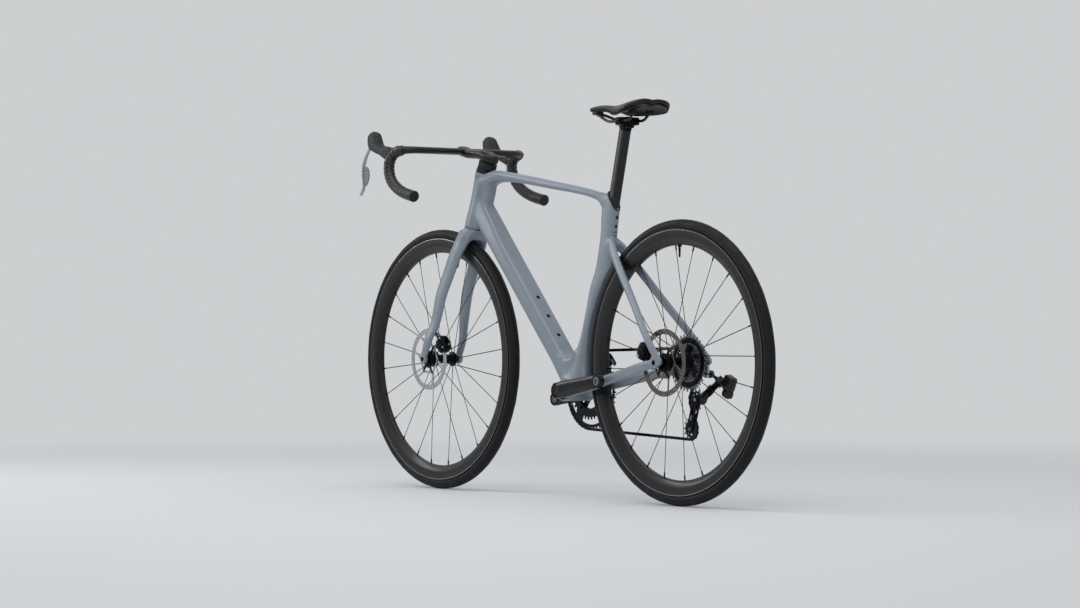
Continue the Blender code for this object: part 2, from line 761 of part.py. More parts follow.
def make_bottom_bracket():
    inner = SPINDLE_RADIUS + 2 * GAP
    face = BB_SHELL_WIDTH / 2 + GAP
    lip = face + 0.0014
    ring = turned([(inner, lip), (BB_CUP_RADIUS + 0.0015, lip), (BB_CUP_RADIUS + 0.0015, face),
                   (BB_CUP_RADIUS, face), (BB_CUP_RADIUS, -face), (BB_CUP_RADIUS + 0.0015, -face),
                   (BB_CUP_RADIUS + 0.0015, -lip), (inner, -lip)], BB, LEFT, 20, closed=True)
    return finish(ring, "bottom_bracket", ALLOY_BLACK, BB)


def make_axle(name, centre, reach, pivot):
    socket = 0.0032
    body = turned([(0, reach - 0.005), (socket, reach - 0.005), (socket, reach), (AXLE_RADIUS, reach),
                   (AXLE_RADIUS, -reach), (0, -reach)], centre, LEFT, 12)
    return finish(body, name, ALLOY_BLACK, pivot)


# Wheels

def make_tyre(name, axle):
    half = TYRE_WIDTH / 2
    bead = BEAD_RADIUS
    side = [(bead, 0.0105), (bead + 0.0074, 0.0112), (bead + 0.0150, half), (WHEEL_RADIUS - 0.0040, 0.0090)]
    profile = side + [(WHEEL_RADIUS, 0)] + [(radius, -y) for radius, y in reversed(side)]
    return finish(turned(profile, axle, LEFT, WHEEL_STEPS, closed=True), name, RUBBER, axle)


def make_rim(name, axle):
    half = RIM_WIDTH / 2
    outer = BEAD_RADIUS + RIM_FLANGE_HEIGHT
    inner = outer - RIM_DEPTH
    seat = BEAD_RADIUS - GAP
    side = [(inner, 0.0040), (inner + 0.012, 0.0128), (outer, half), (outer, 0.0121), (seat, 0.0115)]
    profile = side + [(radius, -y) for radius, y in reversed(side)]
    return finish(turned(profile, axle, LEFT, WHEEL_STEPS, closed=True), name, CARBON, axle)


def spoke_end_radius():
    # Just inside the flats of the rim's inner face
    return (BEAD_RADIUS + RIM_FLANGE_HEIGHT - RIM_DEPTH) * math.cos(math.pi / WHEEL_STEPS) - GAP


def make_valve(name, axle, angle):
    radius = spoke_end_radius() - GAP
    out = Vector((math.cos(angle), 0, math.sin(angle)))
    body = turned([(0, radius), (0.0036, radius), (0.0036, radius - 0.003),
                   (VALVE_RADIUS, radius - 0.003), (VALVE_RADIUS, radius - VALVE_LENGTH * 0.65),
                   (0, radius - VALVE_LENGTH * 0.65)], axle, out, 8)
    return finish(body, name, ALLOY_BLACK, axle)


def spoke(axle, start_radius, start_angle, start_y, end_angle, end_y):
    # Bladed spoke: wide in the wheel's plane, thin across it
    radius = spoke_end_radius()
    start = axle + Vector((start_radius * math.cos(start_angle), start_y,
                           start_radius * math.sin(start_angle)))
    end = axle + Vector((radius * math.cos(end_angle), end_y, radius * math.sin(end_angle)))
    wide = (end - start).cross(LEFT).normalized() * SPOKE_RADIUS
    thin = (end - start).cross(wide).normalized() * SPOKE_RADIUS * 0.5
    return loft([(start, wide, thin, 2.0), (end, wide, thin, 2.0)], 4)


def joined(pieces):
    # Separate solids that do not touch, as one mesh
    bm = bmesh.new()
    for piece in pieces:
        bm.from_mesh(piece.data)
        bpy.data.objects.remove(piece, do_unlink=True)
    mesh = bpy.data.meshes.new("joined")
    bm.to_mesh(mesh)
    bm.free()
    return add("joined", mesh)


def make_hub(name, axle, profile, flanges, lean):
    # Each flange is (radius, y, first rim angle); lean is how far each spoke leads or trails
    hub = turned(profile, axle, LEFT, 16, closed=True)
    spokes = []
    for (radius, y, first), lean_angle in zip(flanges, lean):
        for index in range(SPOKES // 2):
            rim_angle = first + math.tau * index / (SPOKES // 2)
            side = -1 if index % 2 else 1
            start_y = y + (0.0016 * side if lean_angle else 0.0)
            spokes.append(spoke(axle, radius - 0.003, rim_angle + side * lean_angle, start_y,
                                rim_angle, math.copysign(0.0018, y)))
    return finish(union(hub, joined(spokes)), name, ALLOY_BLACK, axle)


def make_front_hub():
    end = FRONT_HUB_WIDTH / 2 - GAP
    bore = AXLE_RADIUS + AXLE_CLEARANCE
    shell = HUB_SHELL_RADIUS
    flange = HUB_FLANGE_RADIUS
    seat = FRONT_ROTOR_OFFSET
    collar = ROTOR_BORE - GAP
    profile = [(bore, end), (0.0095, end), (0.0095, seat + 0.003), (collar, seat + 0.003),
               (collar, seat - 0.004), (shell, 0.026), (flange, 0.0235), (flange, 0.0205), (shell, 0.018),
               (shell, -0.031), (flange - 0.002, -0.0335), (flange - 0.002, -0.0365), (0.0095, -0.040),
               (0.0095, -end), (bore, -end)]
    return make_hub("front_hub_and_spokes", FRONT_AXLE, profile,
                    ((flange, 0.022, 0.16), (flange - 0.002, -0.035, 0.16 + math.pi / 12)), (0.0, 0.0))


def make_rear_hub():
    end = REAR_HUB_WIDTH / 2 - 2 * GAP
    bore = AXLE_RADIUS + AXLE_CLEARANCE
    shell = HUB_SHELL_RADIUS + 0.002
    flange = HUB_FLANGE_RADIUS
    seat = REAR_ROTOR_OFFSET
    slim = FREEHUB_BORE - GAP
    collar = ROTOR_BORE - GAP
    profile = [(bore, end), (0.0100, end), (0.0100, seat + 0.003), (collar, seat + 0.003),
               (collar, seat - 0.004), (shell, 0.034), (flange, 0.0315), (flange, 0.0285), (shell, 0.026),
               (shell, -0.013), (flange + 0.002, -0.0165), (flange + 0.002, -0.0215), (slim, -0.0230),
               (slim, 0.0012 - end), (bore, 0.0012 - end)]
    return make_hub("rear_hub_and_spokes", REAR_AXLE, profile,
                    ((flange, 0.030, 0.20), (flange + 0.002, -0.019, 0.20 + math.pi / 12)),
                    (0.0, math.radians(50)))


def circle(radius, count, x=0.0, z=0.0, phase=0.0):
    return [(x + radius * math.cos(phase + math.tau * i / count),
             z + radius * math.sin(phase + math.tau * i / count)) for i in range(count)]


def sector(inner, outer, first, last, twist, steps=3):
    # Window between two radii, with its sides leaning by the twist
    near = [(inner, mix(first, last, i / steps)) for i in range(steps + 1)]
    far = [(outer, mix(first, last, i / steps) + twist) for i in range(steps + 1)]
    return [(radius * math.cos(a), radius * math.sin(a)) for radius, a in near + far[::-1]]


def make_rotor(name, axle, offset):
    track = ROTOR_RADIUS - ROTOR_TRACK
    outlines = [circle(ROTOR_RADIUS, 36), circle(ROTOR_BORE, 18)]
    for index in range(ROTOR_ARMS):
        first = math.tau * index / ROTOR_ARMS
        outlines.append(sector(0.0245, track, first + 0.12, first + math.tau / ROTOR_ARMS - 0.12, 0.30))
    body = flat(outlines, ROTOR_THICKNESS, axle + offset * LEFT)
    return finish(body, name, STEEL, axle)


# Brakes

def brake_frame(axle, direction):
    # Directions along the rotor's edge and away from the axle at a caliper
    out = Vector((math.cos(direction), 0, math.sin(direction)))
    return out, Vector((out.z, 0, -out.x))


def make_caliper(name, axle, direction, offset, pivot):
    out, along = brake_frame(axle, direction)
    turn = Matrix((along, LEFT, out)).transposed()
    centre = axle + out * (ROTOR_RADIUS - 0.003) + offset * LEFT
    body = rounded_box(centre, (CALIPER_LENGTH, CALIPER_WIDTH, CALIPER_HEIGHT), 0.006, turn)
    slot = PAD_THICKNESS + PAD_GAP + ROTOR_THICKNESS / 2 + PAD_TRAVEL_CLEARANCE
    space = box(centre - out * 0.010, (CALIPER_LENGTH + 0.02, 2 * slot, CALIPER_HEIGHT), turn)
    return finish(cut(body, space), name, ALLOY_BLACK, pivot)


def make_pads(prefix, axle, direction, offset, pivot):
    out, along = brake_frame(axle, direction)
    turn = Matrix((along, LEFT, out)).transposed()
    for side, word in ((1, "left"), (-1, "right")):
        y = offset + side * (ROTOR_THICKNESS / 2 + PAD_GAP + PAD_THICKNESS / 2)
        centre = axle + out * (ROTOR_RADIUS - ROTOR_TRACK / 2) + y * LEFT
        pad = rounded_box(centre, (0.022, PAD_THICKNESS, 0.014), 0.0012, turn)
        finish(pad, prefix + "_brake_pad_" + word, PAD_COMPOUND, centre)


# Fork, stem and handlebar

def make_leg():
    tip = FRONT_HUB_WIDTH / 2 + GAP + FORK_TIP_WIDTH / 2
    deep, wide = FORK_BLADE_DEPTH, FORK_BLADE_WIDTH
    # Behind and above the axle as shares of the fork's length, place aside, depth and width
    plan = ((0.4081, 0.8946, 0.018, deep * 1.15, wide * 1.7),
            (0.3838, 0.8270, 0.028, deep * 1.12, wide * 1.5),
            (0.3216, 0.7297, 0.034, deep * 1.05, wide * 1.12), (0.2459, 0.5892, 0.037, deep, wide),
            (0.1730, 0.4486, 0.0405, deep * 0.94, wide), (0.1162, 0.2595, 0.0450, deep * 0.86, wide * 0.94),
            (0.0568, 0.1243, 0.0550, deep * 0.78, wide * 0.84),
            (0.0081, 0.0135, tip, FORK_TIP_DEPTH, FORK_TIP_WIDTH))
    sections = [(FRONT_AXLE + Vector((-back * FORK_LENGTH, y, height * FORK_LENGTH)),
                 Vector((depth / 2, 0, 0.10 * depth)), width / 2 * LEFT, 2.5)
                for back, height, y, depth, width in plan]
    inner = FRONT_HUB_WIDTH / 2 + GAP
    eye = cylinder(FRONT_AXLE + inner * LEFT, FRONT_AXLE + (inner + FORK_TIP_WIDTH) * LEFT, 0.0125, 16)
    return union(loft(sections, 12), eye)


def make_fork():
    def crown(along, front, rear, half):
        return (steer(along, (front - rear) / 2), (front + rear) / 2 * STEER_FORWARD, half * LEFT, 2.5)

    radius = HEAD_TUBE_LOW_RADIUS - 0.001
    body = loft([crown(HEAD_LOW - 0.0006, radius, radius + 0.003, radius),
                 crown(HEAD_LOW - 0.010, radius - 0.002, radius + 0.001, radius + 0.003),
                 crown(HEAD_LOW - 0.024, radius - 0.003, radius - 0.003, CROWN_WIDTH / 2 + 0.010),
                 crown(HEAD_LOW - 0.040, radius - 0.005, radius - 0.008, CROWN_WIDTH / 2 + 0.012)], 12)
    leg = make_leg()
    body = union(body, mirrored(leg), leg)
    space = wheel_clearance(FRONT_AXLE, WHEEL_RADIUS + TYRE_CLEARANCE + 0.002, 0.0215)
    body = cut(body, space)
    body = union(body, cylinder(steer(HEAD_LOW - 0.012), steer(STEERER_TOP), STEERER_RADIUS, 16))
    bore = STEERER_RADIUS - STEERER_WALL
    body = cut(body, cylinder(steer(HEAD_LOW - 0.004), steer(STEERER_TOP + 0.02), bore, 12))
    hole = AXLE_RADIUS + AXLE_CLEARANCE / 2
    body = cut(body, cylinder(FRONT_AXLE - 0.08 * LEFT, FRONT_AXLE + 0.08 * LEFT, hole, 12))
    return finish(body, "fork", PAINT, steer(HEAD_LOW))


def stem_section(along, forward, half_height, half_width, power=2.6):
    return (steer(along, forward), half_height * STEER_UP, half_width * LEFT, power)


def make_spacers():
    # A round cover over the upper bearing, then a stack of spacers drawn out to the rear
    pivot = steer(HEAD_LOW)
    bore = STEERER_RADIUS + 2 * GAP
    low = HEAD_TOP + GAP
    cover = turned([(bore, COVER_TOP), (0.0195, COVER_TOP), (HEAD_TUBE_TOP_RADIUS - 0.001, low + 0.004),
                    (HEAD_TUBE_TOP_RADIUS - 0.001, low), (bore, low)], steer(0), STEER_UP, 20, closed=True)
    finish(cover, "headset_cover", PLASTIC, pivot)

    def outline(along, inset=0.0):
        middle = (SPACER_FRONT - SPACER_REAR) / 2
        return (steer(along, middle), (SPACER_FRONT + SPACER_REAR - 2 * inset) / 2 * STEER_FORWARD,
                (STEM_WIDTH / 2 - inset) * LEFT, 2.3)

    first = COVER_TOP + GAP
    height = STEM_LOW - GAP - first
    levels = []
    for index in range(3):
        start = first + height * index / 3
        end = first + height * (index + 1) / 3
        levels += [outline(start, 0.0012), outline(start + 0.0010), outline(end - 0.0010)]
    levels.append(outline(STEM_LOW - GAP, 0.0012))
    stack = loft(levels, 14)
    stack = cut(stack, cylinder(steer(first - 0.01), steer(STEM_LOW + 0.01), bore, 16))
    finish(stack, "headset_spacers", PLASTIC, pivot)


def make_stem():
    middle = (STEM_LOW + STEERER_TOP + 0.004) / 2
    high = STEERER_TOP + 0.004 - middle
    half = STEM_WIDTH / 2
    reach, level = bar_in_steering()
    deep = BAR_TOP_DEPTH / 2
    thick = BAR_TOP_THICKNESS / 2
    body = loft([
        stem_section(middle, -SPACER_REAR, high * 0.80, half * 0.45),
        stem_section(middle, -SPACER_REAR * 0.72, high, half * 0.86),
        stem_section(middle, 0.0, high, half),
        stem_section(middle, SPACER_FRONT * 0.9, high, half),
        stem_section(mix(middle, level, 0.35), reach * 0.42, high * 0.92, half * 0.95),
        stem_section(level + 0.001, reach - deep - 0.006, thick + 0.0032, half * 1.05),
        stem_section(level, reach + deep * 0.6, thick + 0.0032, half * 1.05),
        stem_section(level, reach + deep + 0.0034, thick * 0.55, half * 0.98),
    ])
    for low, high, radius in ((STEM_LOW - 0.01, STEERER_TOP + GAP, STEERER_RADIUS),
                              (STEERER_TOP - 0.002, STEERER_TOP + 0.02, CAP_RADIUS)):
        body = cut(body, cylinder(steer(low), steer(high), radius + 2 * GAP, 16))
    room = loft([(BAR_CENTRE + y * LEFT, Vector((deep + GAP, 0, 0)), Vector((0, 0, thick + GAP)), 2.4)
                 for y in (-0.04, 0.04)], BAR_SIDES)
    body = cut(body, room)
    finish(body, "stem", ALLOY_BLACK, steer(HEAD_LOW))
    cap = turned([(0, STEERER_TOP + 0.0040), (CAP_RADIUS, STEERER_TOP + 0.0040),
                  (CAP_RADIUS, STEERER_TOP + 0.0006), (0, STEERER_TOP + 0.0006)], steer(0), STEER_UP, 16)
    finish(cap, "stem_top_cap", ALLOY_BLACK, steer(HEAD_LOW))


def bar_in_steering():
    # Place of the bar's centre along and ahead of the steering axis
    offset = BAR_CENTRE - steer(0)
    return offset.dot(STEER_FORWARD), offset.dot(STEER_UP)


def bar_plan():
    # Left half of the bar from its middle to its end: centre, half depth, half thickness
    deep, thick, round_ = BAR_TOP_DEPTH / 2, BAR_TOP_THICKNESS / 2, BAR_RADIUS
    hood = BAR_HOOD_WIDTH / 2
    end = BAR_DROP_WIDTH / 2
    x, z = BAR_CENTRE.x, BAR_CENTRE.z
    return (((x, 0, z), deep, thick), ((x, 0.060, z), deep, thick),
            ((x + 0.002, 0.125, z), deep * 0.92, thick),
            ((x + 0.006, hood - 0.026, z), deep * 0.80, thick * 1.05),
            ((x + 0.019, hood - 0.006, z - 0.0010), deep * 0.70, thick * 1.2),
            ((x + 0.037, hood + 0.001, z - 0.004), round_, round_),
            ((x + 0.055, hood + 0.003, z - 0.013), round_, round_),
            ((x + 0.064, hood + 0.006, z - 0.031), round_, round_),
            ((x + 0.0615, hood + 0.009, z - 0.054), round_, round_),
            ((x + 0.047, hood + 0.012, z - 0.077), round_, round_),
            ((x + 0.021, hood + 0.014, z - 0.096), round_, round_),
            ((x - 0.009, end - 0.002, z - 0.109), round_, round_),
            ((x - 0.040, end - 0.001, z - 0.1175), round_, round_),
            ((x - 0.067, end, z - 0.1230), round_, round_))


def bar_sections(first, extra):
    # Rings along the left half of the bar, turned as little as possible from one to the next
    plan = bar_plan()
    points = [Vector(point) for point, _, _ in plan]
    depth_way, height_way = Vector((1, 0, 0)), Vector((0, 0, 1))
    before = LEFT
    sections = []
    for index, (point, depth, thickness) in enumerate(plan):
        if index == 0:
            tangent = LEFT.copy()
        elif index == len(plan) - 1:
            tangent = (points[-1] - points[-2]).normalized()
        else:
            tangent = (points[index + 1] - points[index - 1]).normalized()
        turn = before.rotation_difference(tangent)
        depth_way, height_way = turn @ depth_way, turn @ height_way
        before = tangent
        if index >= first:
            sections.append((points[index], depth_way * (depth + extra), height_way * (thickness + extra),
                             2.4 if index < 4 else 2.0))
    return sections


def skin(rings, closed=False):
    # Quads between rings of points, with end faces unless the rings close on themselves
    mesh = bpy.data.meshes.new("skin")
    bm = bmesh.new()
    verts = [[bm.verts.new(point) for point in ring] for ring in rings]
    pairs = list(zip(verts, verts[1:])) + ([(verts[-1], verts[0])] if closed else [])
    count = len(rings[0])
    for low, high in pairs:
        for index in range(count):
            after = (index + 1) % count
            bm.faces.new((low[index], low[after], high[after], high[index]))
    if not closed:
        bm.faces.new(verts[0])
        bm.faces.new(verts[-1])
    bmesh.ops.recalc_face_normals(bm, faces=bm.faces)
    bm.to_mesh(mesh)
    bm.free()
    return add("skin", mesh)


def make_handlebar():
    rings = [superellipse(*section, BAR_SIDES) for section in bar_sections(0, 0.0)]
    other = [[Vector((p.x, -p.y, p.z)) for p in ring] for ring in reversed(rings[1:])]
    return finish(skin(other + rings), "handlebar", CARBON, steer(HEAD_LOW))


def make_tape():
    outer = [superellipse(*section, BAR_SIDES)
             for section in bar_sections(TAPE_FIRST, TAPE_RADIUS - BAR_RADIUS)]
    inner = [superellipse(*section, BAR_SIDES) for section in bar_sections(TAPE_FIRST, 2 * GAP)]
    # Out along the outside and back along the inside makes one closed tube
    return skin(outer + inner[::-1], closed=True)


def make_tapes_and_hoods():
    pivot = steer(HEAD_LOW)
    tape = make_tape()
    solid = loft(bar_sections(TAPE_FIRST - 1, TAPE_RADIUS - BAR_RADIUS + GAP), BAR_SIDES)
    y = BAR_HOOD_WIDTH / 2
    half = HOOD_WIDTH / 2
    x, z = BAR_CENTRE.x, BAR_CENTRE.z
    plan = (((x + 0.050, z + 0.002), (x + 0.066, z - 0.028), 0.0115, 0.0030),
            ((x + 0.072, z + 0.010), (x + 0.088, z - 0.021), half * 0.86, 0.0020),
            ((x + 0.096, z + 0.013), (x + 0.112, z - 0.010), half * 0.96, 0.0),
            ((x + 0.116, z + 0.021), (x + 0.142, z - 0.001), half, -0.0020),
            ((x + 0.124, z + 0.036), (x + 0.165, z + 0.009), half * 0.98, -0.0035),
            ((x + 0.133, z + 0.048), (x + 0.173, z + 0.030), half * 0.86, -0.0045),
            ((x + 0.150, z + 0.0535), (x + 0.167, z + 0.046), half * 0.55, -0.0050))
    hood = loft([side_section(top, bottom, width, 2.5, y + shift)
                 for top, bottom, width, shift in plan], 12)
    hood = cut(hood, solid)
    place = LEVER_PIVOT
    slot = LEVER_WIDTH / 2 + 0.0007
    hood = cut(hood, box(place + Vector((0.008, 0, -0.003)), (0.032, 2 * slot, 0.026)))
    hood = cut(hood, cylinder(place - 0.012 * LEFT, place + 0.012 * LEFT, 0.0023, 8))
    finish(mirrored(hood), "hood_right", HOOD_RUBBER, pivot)
    finish(hood, "hood_left", HOOD_RUBBER, pivot)
    finish(mirrored(tape), "bar_tape_right", TAPE, pivot)
    finish(tape, "bar_tape_left", TAPE, pivot)


def make_levers():
    place = LEVER_PIVOT
    half = LEVER_WIDTH / 2
    plan = ((0.004, 0.004, 0.0032, half), (0.012, -0.008, 0.0032, half),
            (0.0255, -0.026, 0.0030, half * 1.1),
            (0.0360, -0.050, 0.0026, half * 1.15), (0.0370, -0.078, 0.0024, half * 1.15),
            (0.0350, -0.102, 0.0024, half * 1.05), (0.0400, -0.112, 0.0023, half),
            (0.0500, -0.124, 0.0021, half * 0.8))
    points = [place + Vector((x, 0, z)) for x, z, _, _ in plan]
    sections = []
    for index, (_, _, thin, wide) in enumerate(plan):
        along = (points[min(index + 1, len(points) - 1)] - points[max(index - 1, 0)]).normalized()
        sections.append((points[index], Vector((-along.z, 0, along.x)) * thin, wide * LEFT, 2.6))
    lever = union(loft(sections, 8), cylinder(place - half * LEFT, place + half * LEFT, 0.0055, 10))
    lever = union(lever, cylinder(place - 0.0095 * LEFT, place + 0.0095 * LEFT, 0.0020, 8))
    outline = [(0.0305, -0.052), (0.0315, -0.078), (0.0300, -0.098), (0.0240, -0.102), (0.0120, -0.088),
               (0.0080, -0.072), (0.0110, -0.058), (0.0200, -0.050)]
    paddle = flat([outline], 0.0028, place)
    pivot = LEVER_PIVOT + PADDLE_PIVOT
    right = Matrix.Diagonal((1, -1, 1, 1))
    finish(mirrored(lever), "brake_lever_right", ALLOY_BLACK, right @ place)
    finish(lever, "brake_lever_left", ALLOY_BLACK, place)
    finish(mirrored(paddle), "shift_paddle_right", PLASTIC, right @ pivot)
    finish(paddle, "shift_paddle_left", PLASTIC, pivot)


# Saddle

def saddle_ring(x, half, top, edge, dip, near, far):
    # Line from side to side at one depth under the top, then back at another depth
    steps = [-1.0, -0.86, -0.60, -0.32, 0.0, 0.32, 0.60, 0.86, 1.0]

    def spot(share, depth):
        sag = (top - edge) * abs(share) ** 2.6 + dip * math.exp(-(share * half / 0.013) ** 2)
        return Vector((x, share * (half - depth * 0.35), top - sag - depth))

    return [spot(share, near) for share in steps] + [spot(share, far) for share in reversed(steps)]


SADDLE_PLAN = (  # along from the nose, half width, crown and edge above the rails, dip in the middle
    (0.000, 0.0070, 0.0370, 0.0335, 0.0000), (0.016, 0.0165, 0.0415, 0.0335, 0.0000),
    (0.057, 0.0205, 0.0445, 0.0315, 0.0015), (0.104, 0.0270, 0.0415, 0.0285, 0.0040),
    (0.145, 0.0440, 0.0430, 0.0285, 0.0055), (0.180, 0.0610, 0.0460, 0.0305, 0.0055),
    (0.209, 0.0690, 0.0490, 0.0335, 0.0050), (0.230, 0.0600, 0.0500, 0.0395, 0.0045),
    (0.241, 0.0430, 0.0485, 0.0435, 0.0030))


def make_saddle():
    pivot = post(SEAT_TUBE_LENGTH)
    head = post(POST_TOP + GAP)
    z = head.z - GAP * POST_UP.z + RAIL_LIFT
    tip = head.x + NOSE_REACH
    middle = head.x - CLAMP_SETBACK
    plan = [(tip - run, half, z + top, z + edge, dip) for run, half, top, edge, dip in SADDLE_PLAN]
    cover = skin([saddle_ring(*row, 0.0, COVER_DEPTH) for row in plan])
    finish(cover, "saddle_cover", COVER, pivot)
    under = COVER_DEPTH + SHELL_GAP
    shell = skin([saddle_ring(*row, under, under + SHELL_THICKNESS) for row in plan[:-1]])
    finish(shell, "saddle_shell", PLASTIC, pivot)
    y = RAIL_SPACING / 2
    side = [(-0.0555, y + 0.004, z + 0.019), (-0.0465, y + 0.002, z + 0.009), (-0.0355, y, z),
            (0.0395, y, z), (0.0595, y * 0.86, z + 0.008),
            (0.0895, y * 0.50, z + 0.0175), (0.1035, y * 0.24, z + 0.0205)]
    side = [(middle + x, lateral, height) for x, lateral, height in side]
    points = side + [(x, -lateral, height) for x, lateral, height in reversed(side)]
    finish(tube(points, RAIL_RADIUS, 1), "saddle_rails", STEEL, pivot)
    centre = Vector((middle, 0, z))
    clamp = loft([(head, POST_DEPTH / 2 * POST_FORWARD, POST_WIDTH / 2 * LEFT, 2.6),
                  (centre - Vector((0, 0, 0.008)), Vector((0.0165, 0, 0)), 0.0300 * LEFT, 4.0),
                  (centre + Vector((0, 0, 0.006)), Vector((0.0165, 0, 0)), 0.0305 * LEFT, 4.0),
                  (centre + Vector((0, 0, 0.009)), Vector((0.0140, 0, 0)), 0.0290 * LEFT, 4.0)], 12)
    for lateral in (y, -y):
        groove = cylinder(centre + lateral * LEFT + Vector((0.03, 0, 0.0004)),
                          centre + lateral * LEFT + Vector((-0.03, 0, 0.0004)), RAIL_RADIUS + 0.0006, 12)
        clamp = cut(clamp, groove)
    finish(clamp, "saddle_clamp", ALLOY_BLACK, pivot)


# Chain drive

def pitch_radius(teeth):
    return PITCH / 2 / math.sin(math.pi / teeth)


def cog_offset(teeth):
    return -(FIRST_COG_OFFSET - COG_SPACING * COGS.index(teeth))


def tangent(a, b):
    # Straight run that leaves wheel a and arrives at wheel b, each (x, z, radius, sense)
    run = Vector((b[0] - a[0], b[1] - a[1]))
    reach = a[2] * a[3] - b[2] * b[3]
    angle = math.atan2(run.y, run.x) - math.atan2(reach, math.sqrt(run.length_squared - reach ** 2))
    side = Vector((-math.sin(angle), math.cos(angle)))
    return (Vector(a[:2]) + side * a[2] * a[3], Vector(b[:2]) + side * b[2] * b[3])


def chain_wheels(cage_angle):
    # In the order in which the chain meets them, with the sense of the wrap
    tension = GUIDE + CAGE_LENGTH * Vector((math.sin(cage_angle), 0, -math.cos(cage_angle)))
    return [(BB.x, BB.z, pitch_radius(OUTER_TEETH), 1, OUTER_TEETH, -OUTER_RING_OFFSET),
            (tension.x, tension.z, pitch_radius(PULLEY_TEETH), 1, PULLEY_TEETH, cog_offset(CHAIN_COG)),
            (GUIDE.x, GUIDE.z, pitch_radius(PULLEY_TEETH), -1, PULLEY_TEETH, cog_offset(CHAIN_COG)),
            (REAR_AXLE.x, REAR_AXLE.z, pitch_radius(CHAIN_COG), 1, CHAIN_COG, cog_offset(CHAIN_COG))]


def chain_pieces(cage_angle):
    # Arcs and runs of the chain's path with their lengths in pitches
    wheels = chain_wheels(cage_angle)
    runs = [tangent(wheels[i], wheels[(i + 1) % 4]) for i in range(4)]
    pieces = []
    for i, wheel in enumerate(wheels):
        centre = Vector(wheel[:2])
        come, go = runs[i - 1][1] - centre, runs[i][0] - centre
        first = math.atan2(come.y, come.x)
        sweep = (first - math.atan2(go.y, go.x)) * wheel[3] % math.tau
        pieces.append(("arc", wheel, first, sweep * wheel[4] / math.tau))
        pieces.append(("run", runs[i], (wheel[5], wheels[(i + 1) % 4][5]),
                       (runs[i][1] - runs[i][0]).length / PITCH))
    return pieces


def solve_cage():
    # The cage angle at which the chain is a whole, even number of pitches
    def total(angle):
        return sum(piece[3] for piece in chain_pieces(angle))

    goal = 2 * round(total(CAGE_NOMINAL_ANGLE) / 2)
    low, high = CAGE_NOMINAL_ANGLE - math.radians(14), CAGE_NOMINAL_ANGLE + math.radians(14)
    rising = total(high) > total(low)
    for _ in range(60):
        middle = (low + high) / 2
        if (total(middle) < goal) == rising:
            low = middle
        else:
            high = middle
    return (low + high) / 2, goal


CAGE_ANGLE, LINKS = solve_cage()


def chain_rollers():
    # Centre of every roller, and for each wheel the angle of one roller on it
    pieces = chain_pieces(CAGE_ANGLE)
    rollers, phases = [], {}
    start = 0.0
    for kind, shape, detail, length in pieces:
        index = math.ceil(start - 1e-9)
        while index < start + length - 1e-9 and index < LINKS:
            share = index - start
            if kind == "arc":
                angle = detail - shape[3] * share * math.tau / shape[4]
                phases.setdefault((shape[4], round(shape[1], 4)), angle)
                rollers.append(Vector((shape[0] + shape[2] * math.cos(angle), shape[5],
                                       shape[1] + shape[2] * math.sin(angle))))
            else:
                spot = mix(shape[0], shape[1], share / length)
                y = mix(detail[0], detail[1], share / length)
                rollers.append(Vector((spot.x, y, spot.y)))
            index += 1
        start += length
    return rollers, phases


ROLLERS, PHASES = chain_rollers()


def make_chain():
    # Rollers and plates as one band with an opening in every link for a tooth
    bm = bmesh.new()
    count = len(ROLLERS)
    rows = []
    for index, centre in enumerate(ROLLERS):
        way = (ROLLERS[(index + 1) % count] - ROLLERS[index - 1]).normalized()
        up = Vector((-way.z, 0, way.x)).normalized() * PLATE_HEIGHT / 2
        row = {}
        for side in (1, -1):
            for level in (1, -1):
                base = centre + up * level
                row[side, level, "out"] = bm.verts.new(base + side * CHAIN_WIDTH / 2 * LEFT)
                for word, shift in (("back", -1), ("front", 1)):
                    spot = base + way * shift * ROLLER_LENGTH / 2 + side * CHAIN_INNER_WIDTH / 2 * LEFT
                    row[side, level, word] = bm.verts.new(spot)
        rows.append(row)
    for index, here in enumerate(rows):
        there = rows[(index + 1) % count]
        for level in (1, -1):
            bm.faces.new([here[1, level, "back"], here[1, level, "front"],
                          here[-1, level, "front"], here[-1, level, "back"]])
            for side in (1, -1):
                bm.faces.new([here[side, level, "out"], here[side, level, "back"],
                              here[side, level, "front"]])
                bm.faces.new([here[side, level, "out"], here[side, level, "front"],
                              there[side, level, "back"], there[side, level, "out"]])
        for side in (1, -1):
            bm.faces.new([here[side, 1, "out"], there[side, 1, "out"],
                          there[side, -1, "out"], here[side, -1, "out"]])
            bm.faces.new([here[side, 1, "front"], there[side, 1, "back"],
                          there[side, -1, "back"], here[side, -1, "front"]])
        for word in ("back", "front"):
            bm.faces.new([here[1, 1, word], here[-1, 1, word], here[-1, -1, word], here[1, -1, word]])
    bmesh.ops.triangulate(bm, faces=bm.faces)
    bmesh.ops.recalc_face_normals(bm, faces=bm.faces)
    mesh = bpy.data.meshes.new("chain")
    bm.to_mesh(mesh)
    bm.free()
    return finish(add("chain", mesh), "chain", STEEL, BB)


def toothed(teeth, phase, meshing=True):
    # Outline with its roots under the rollers
    radius = pitch_radius(teeth)
    root, tip = radius - 0.0044, radius + TOOTH_HEIGHT
    step = math.tau / teeth
    points = []
    for index in range(teeth):
        angle = phase + index * step
        if meshing:
            half = math.asin(0.0030 / root)
            points += [(root, angle - half), (root, angle + half),
                       (tip, angle + step / 2 - 0.0011 / tip), (tip, angle + step / 2 + 0.0011 / tip)]
        else:
            points += [(root + 0.0010, angle), (tip, angle + step / 2)]
    return [(r * math.cos(a), r * math.sin(a)) for r, a in points]


def wheel_phase(teeth, z):
    return PHASES[teeth, round(z, 4)]


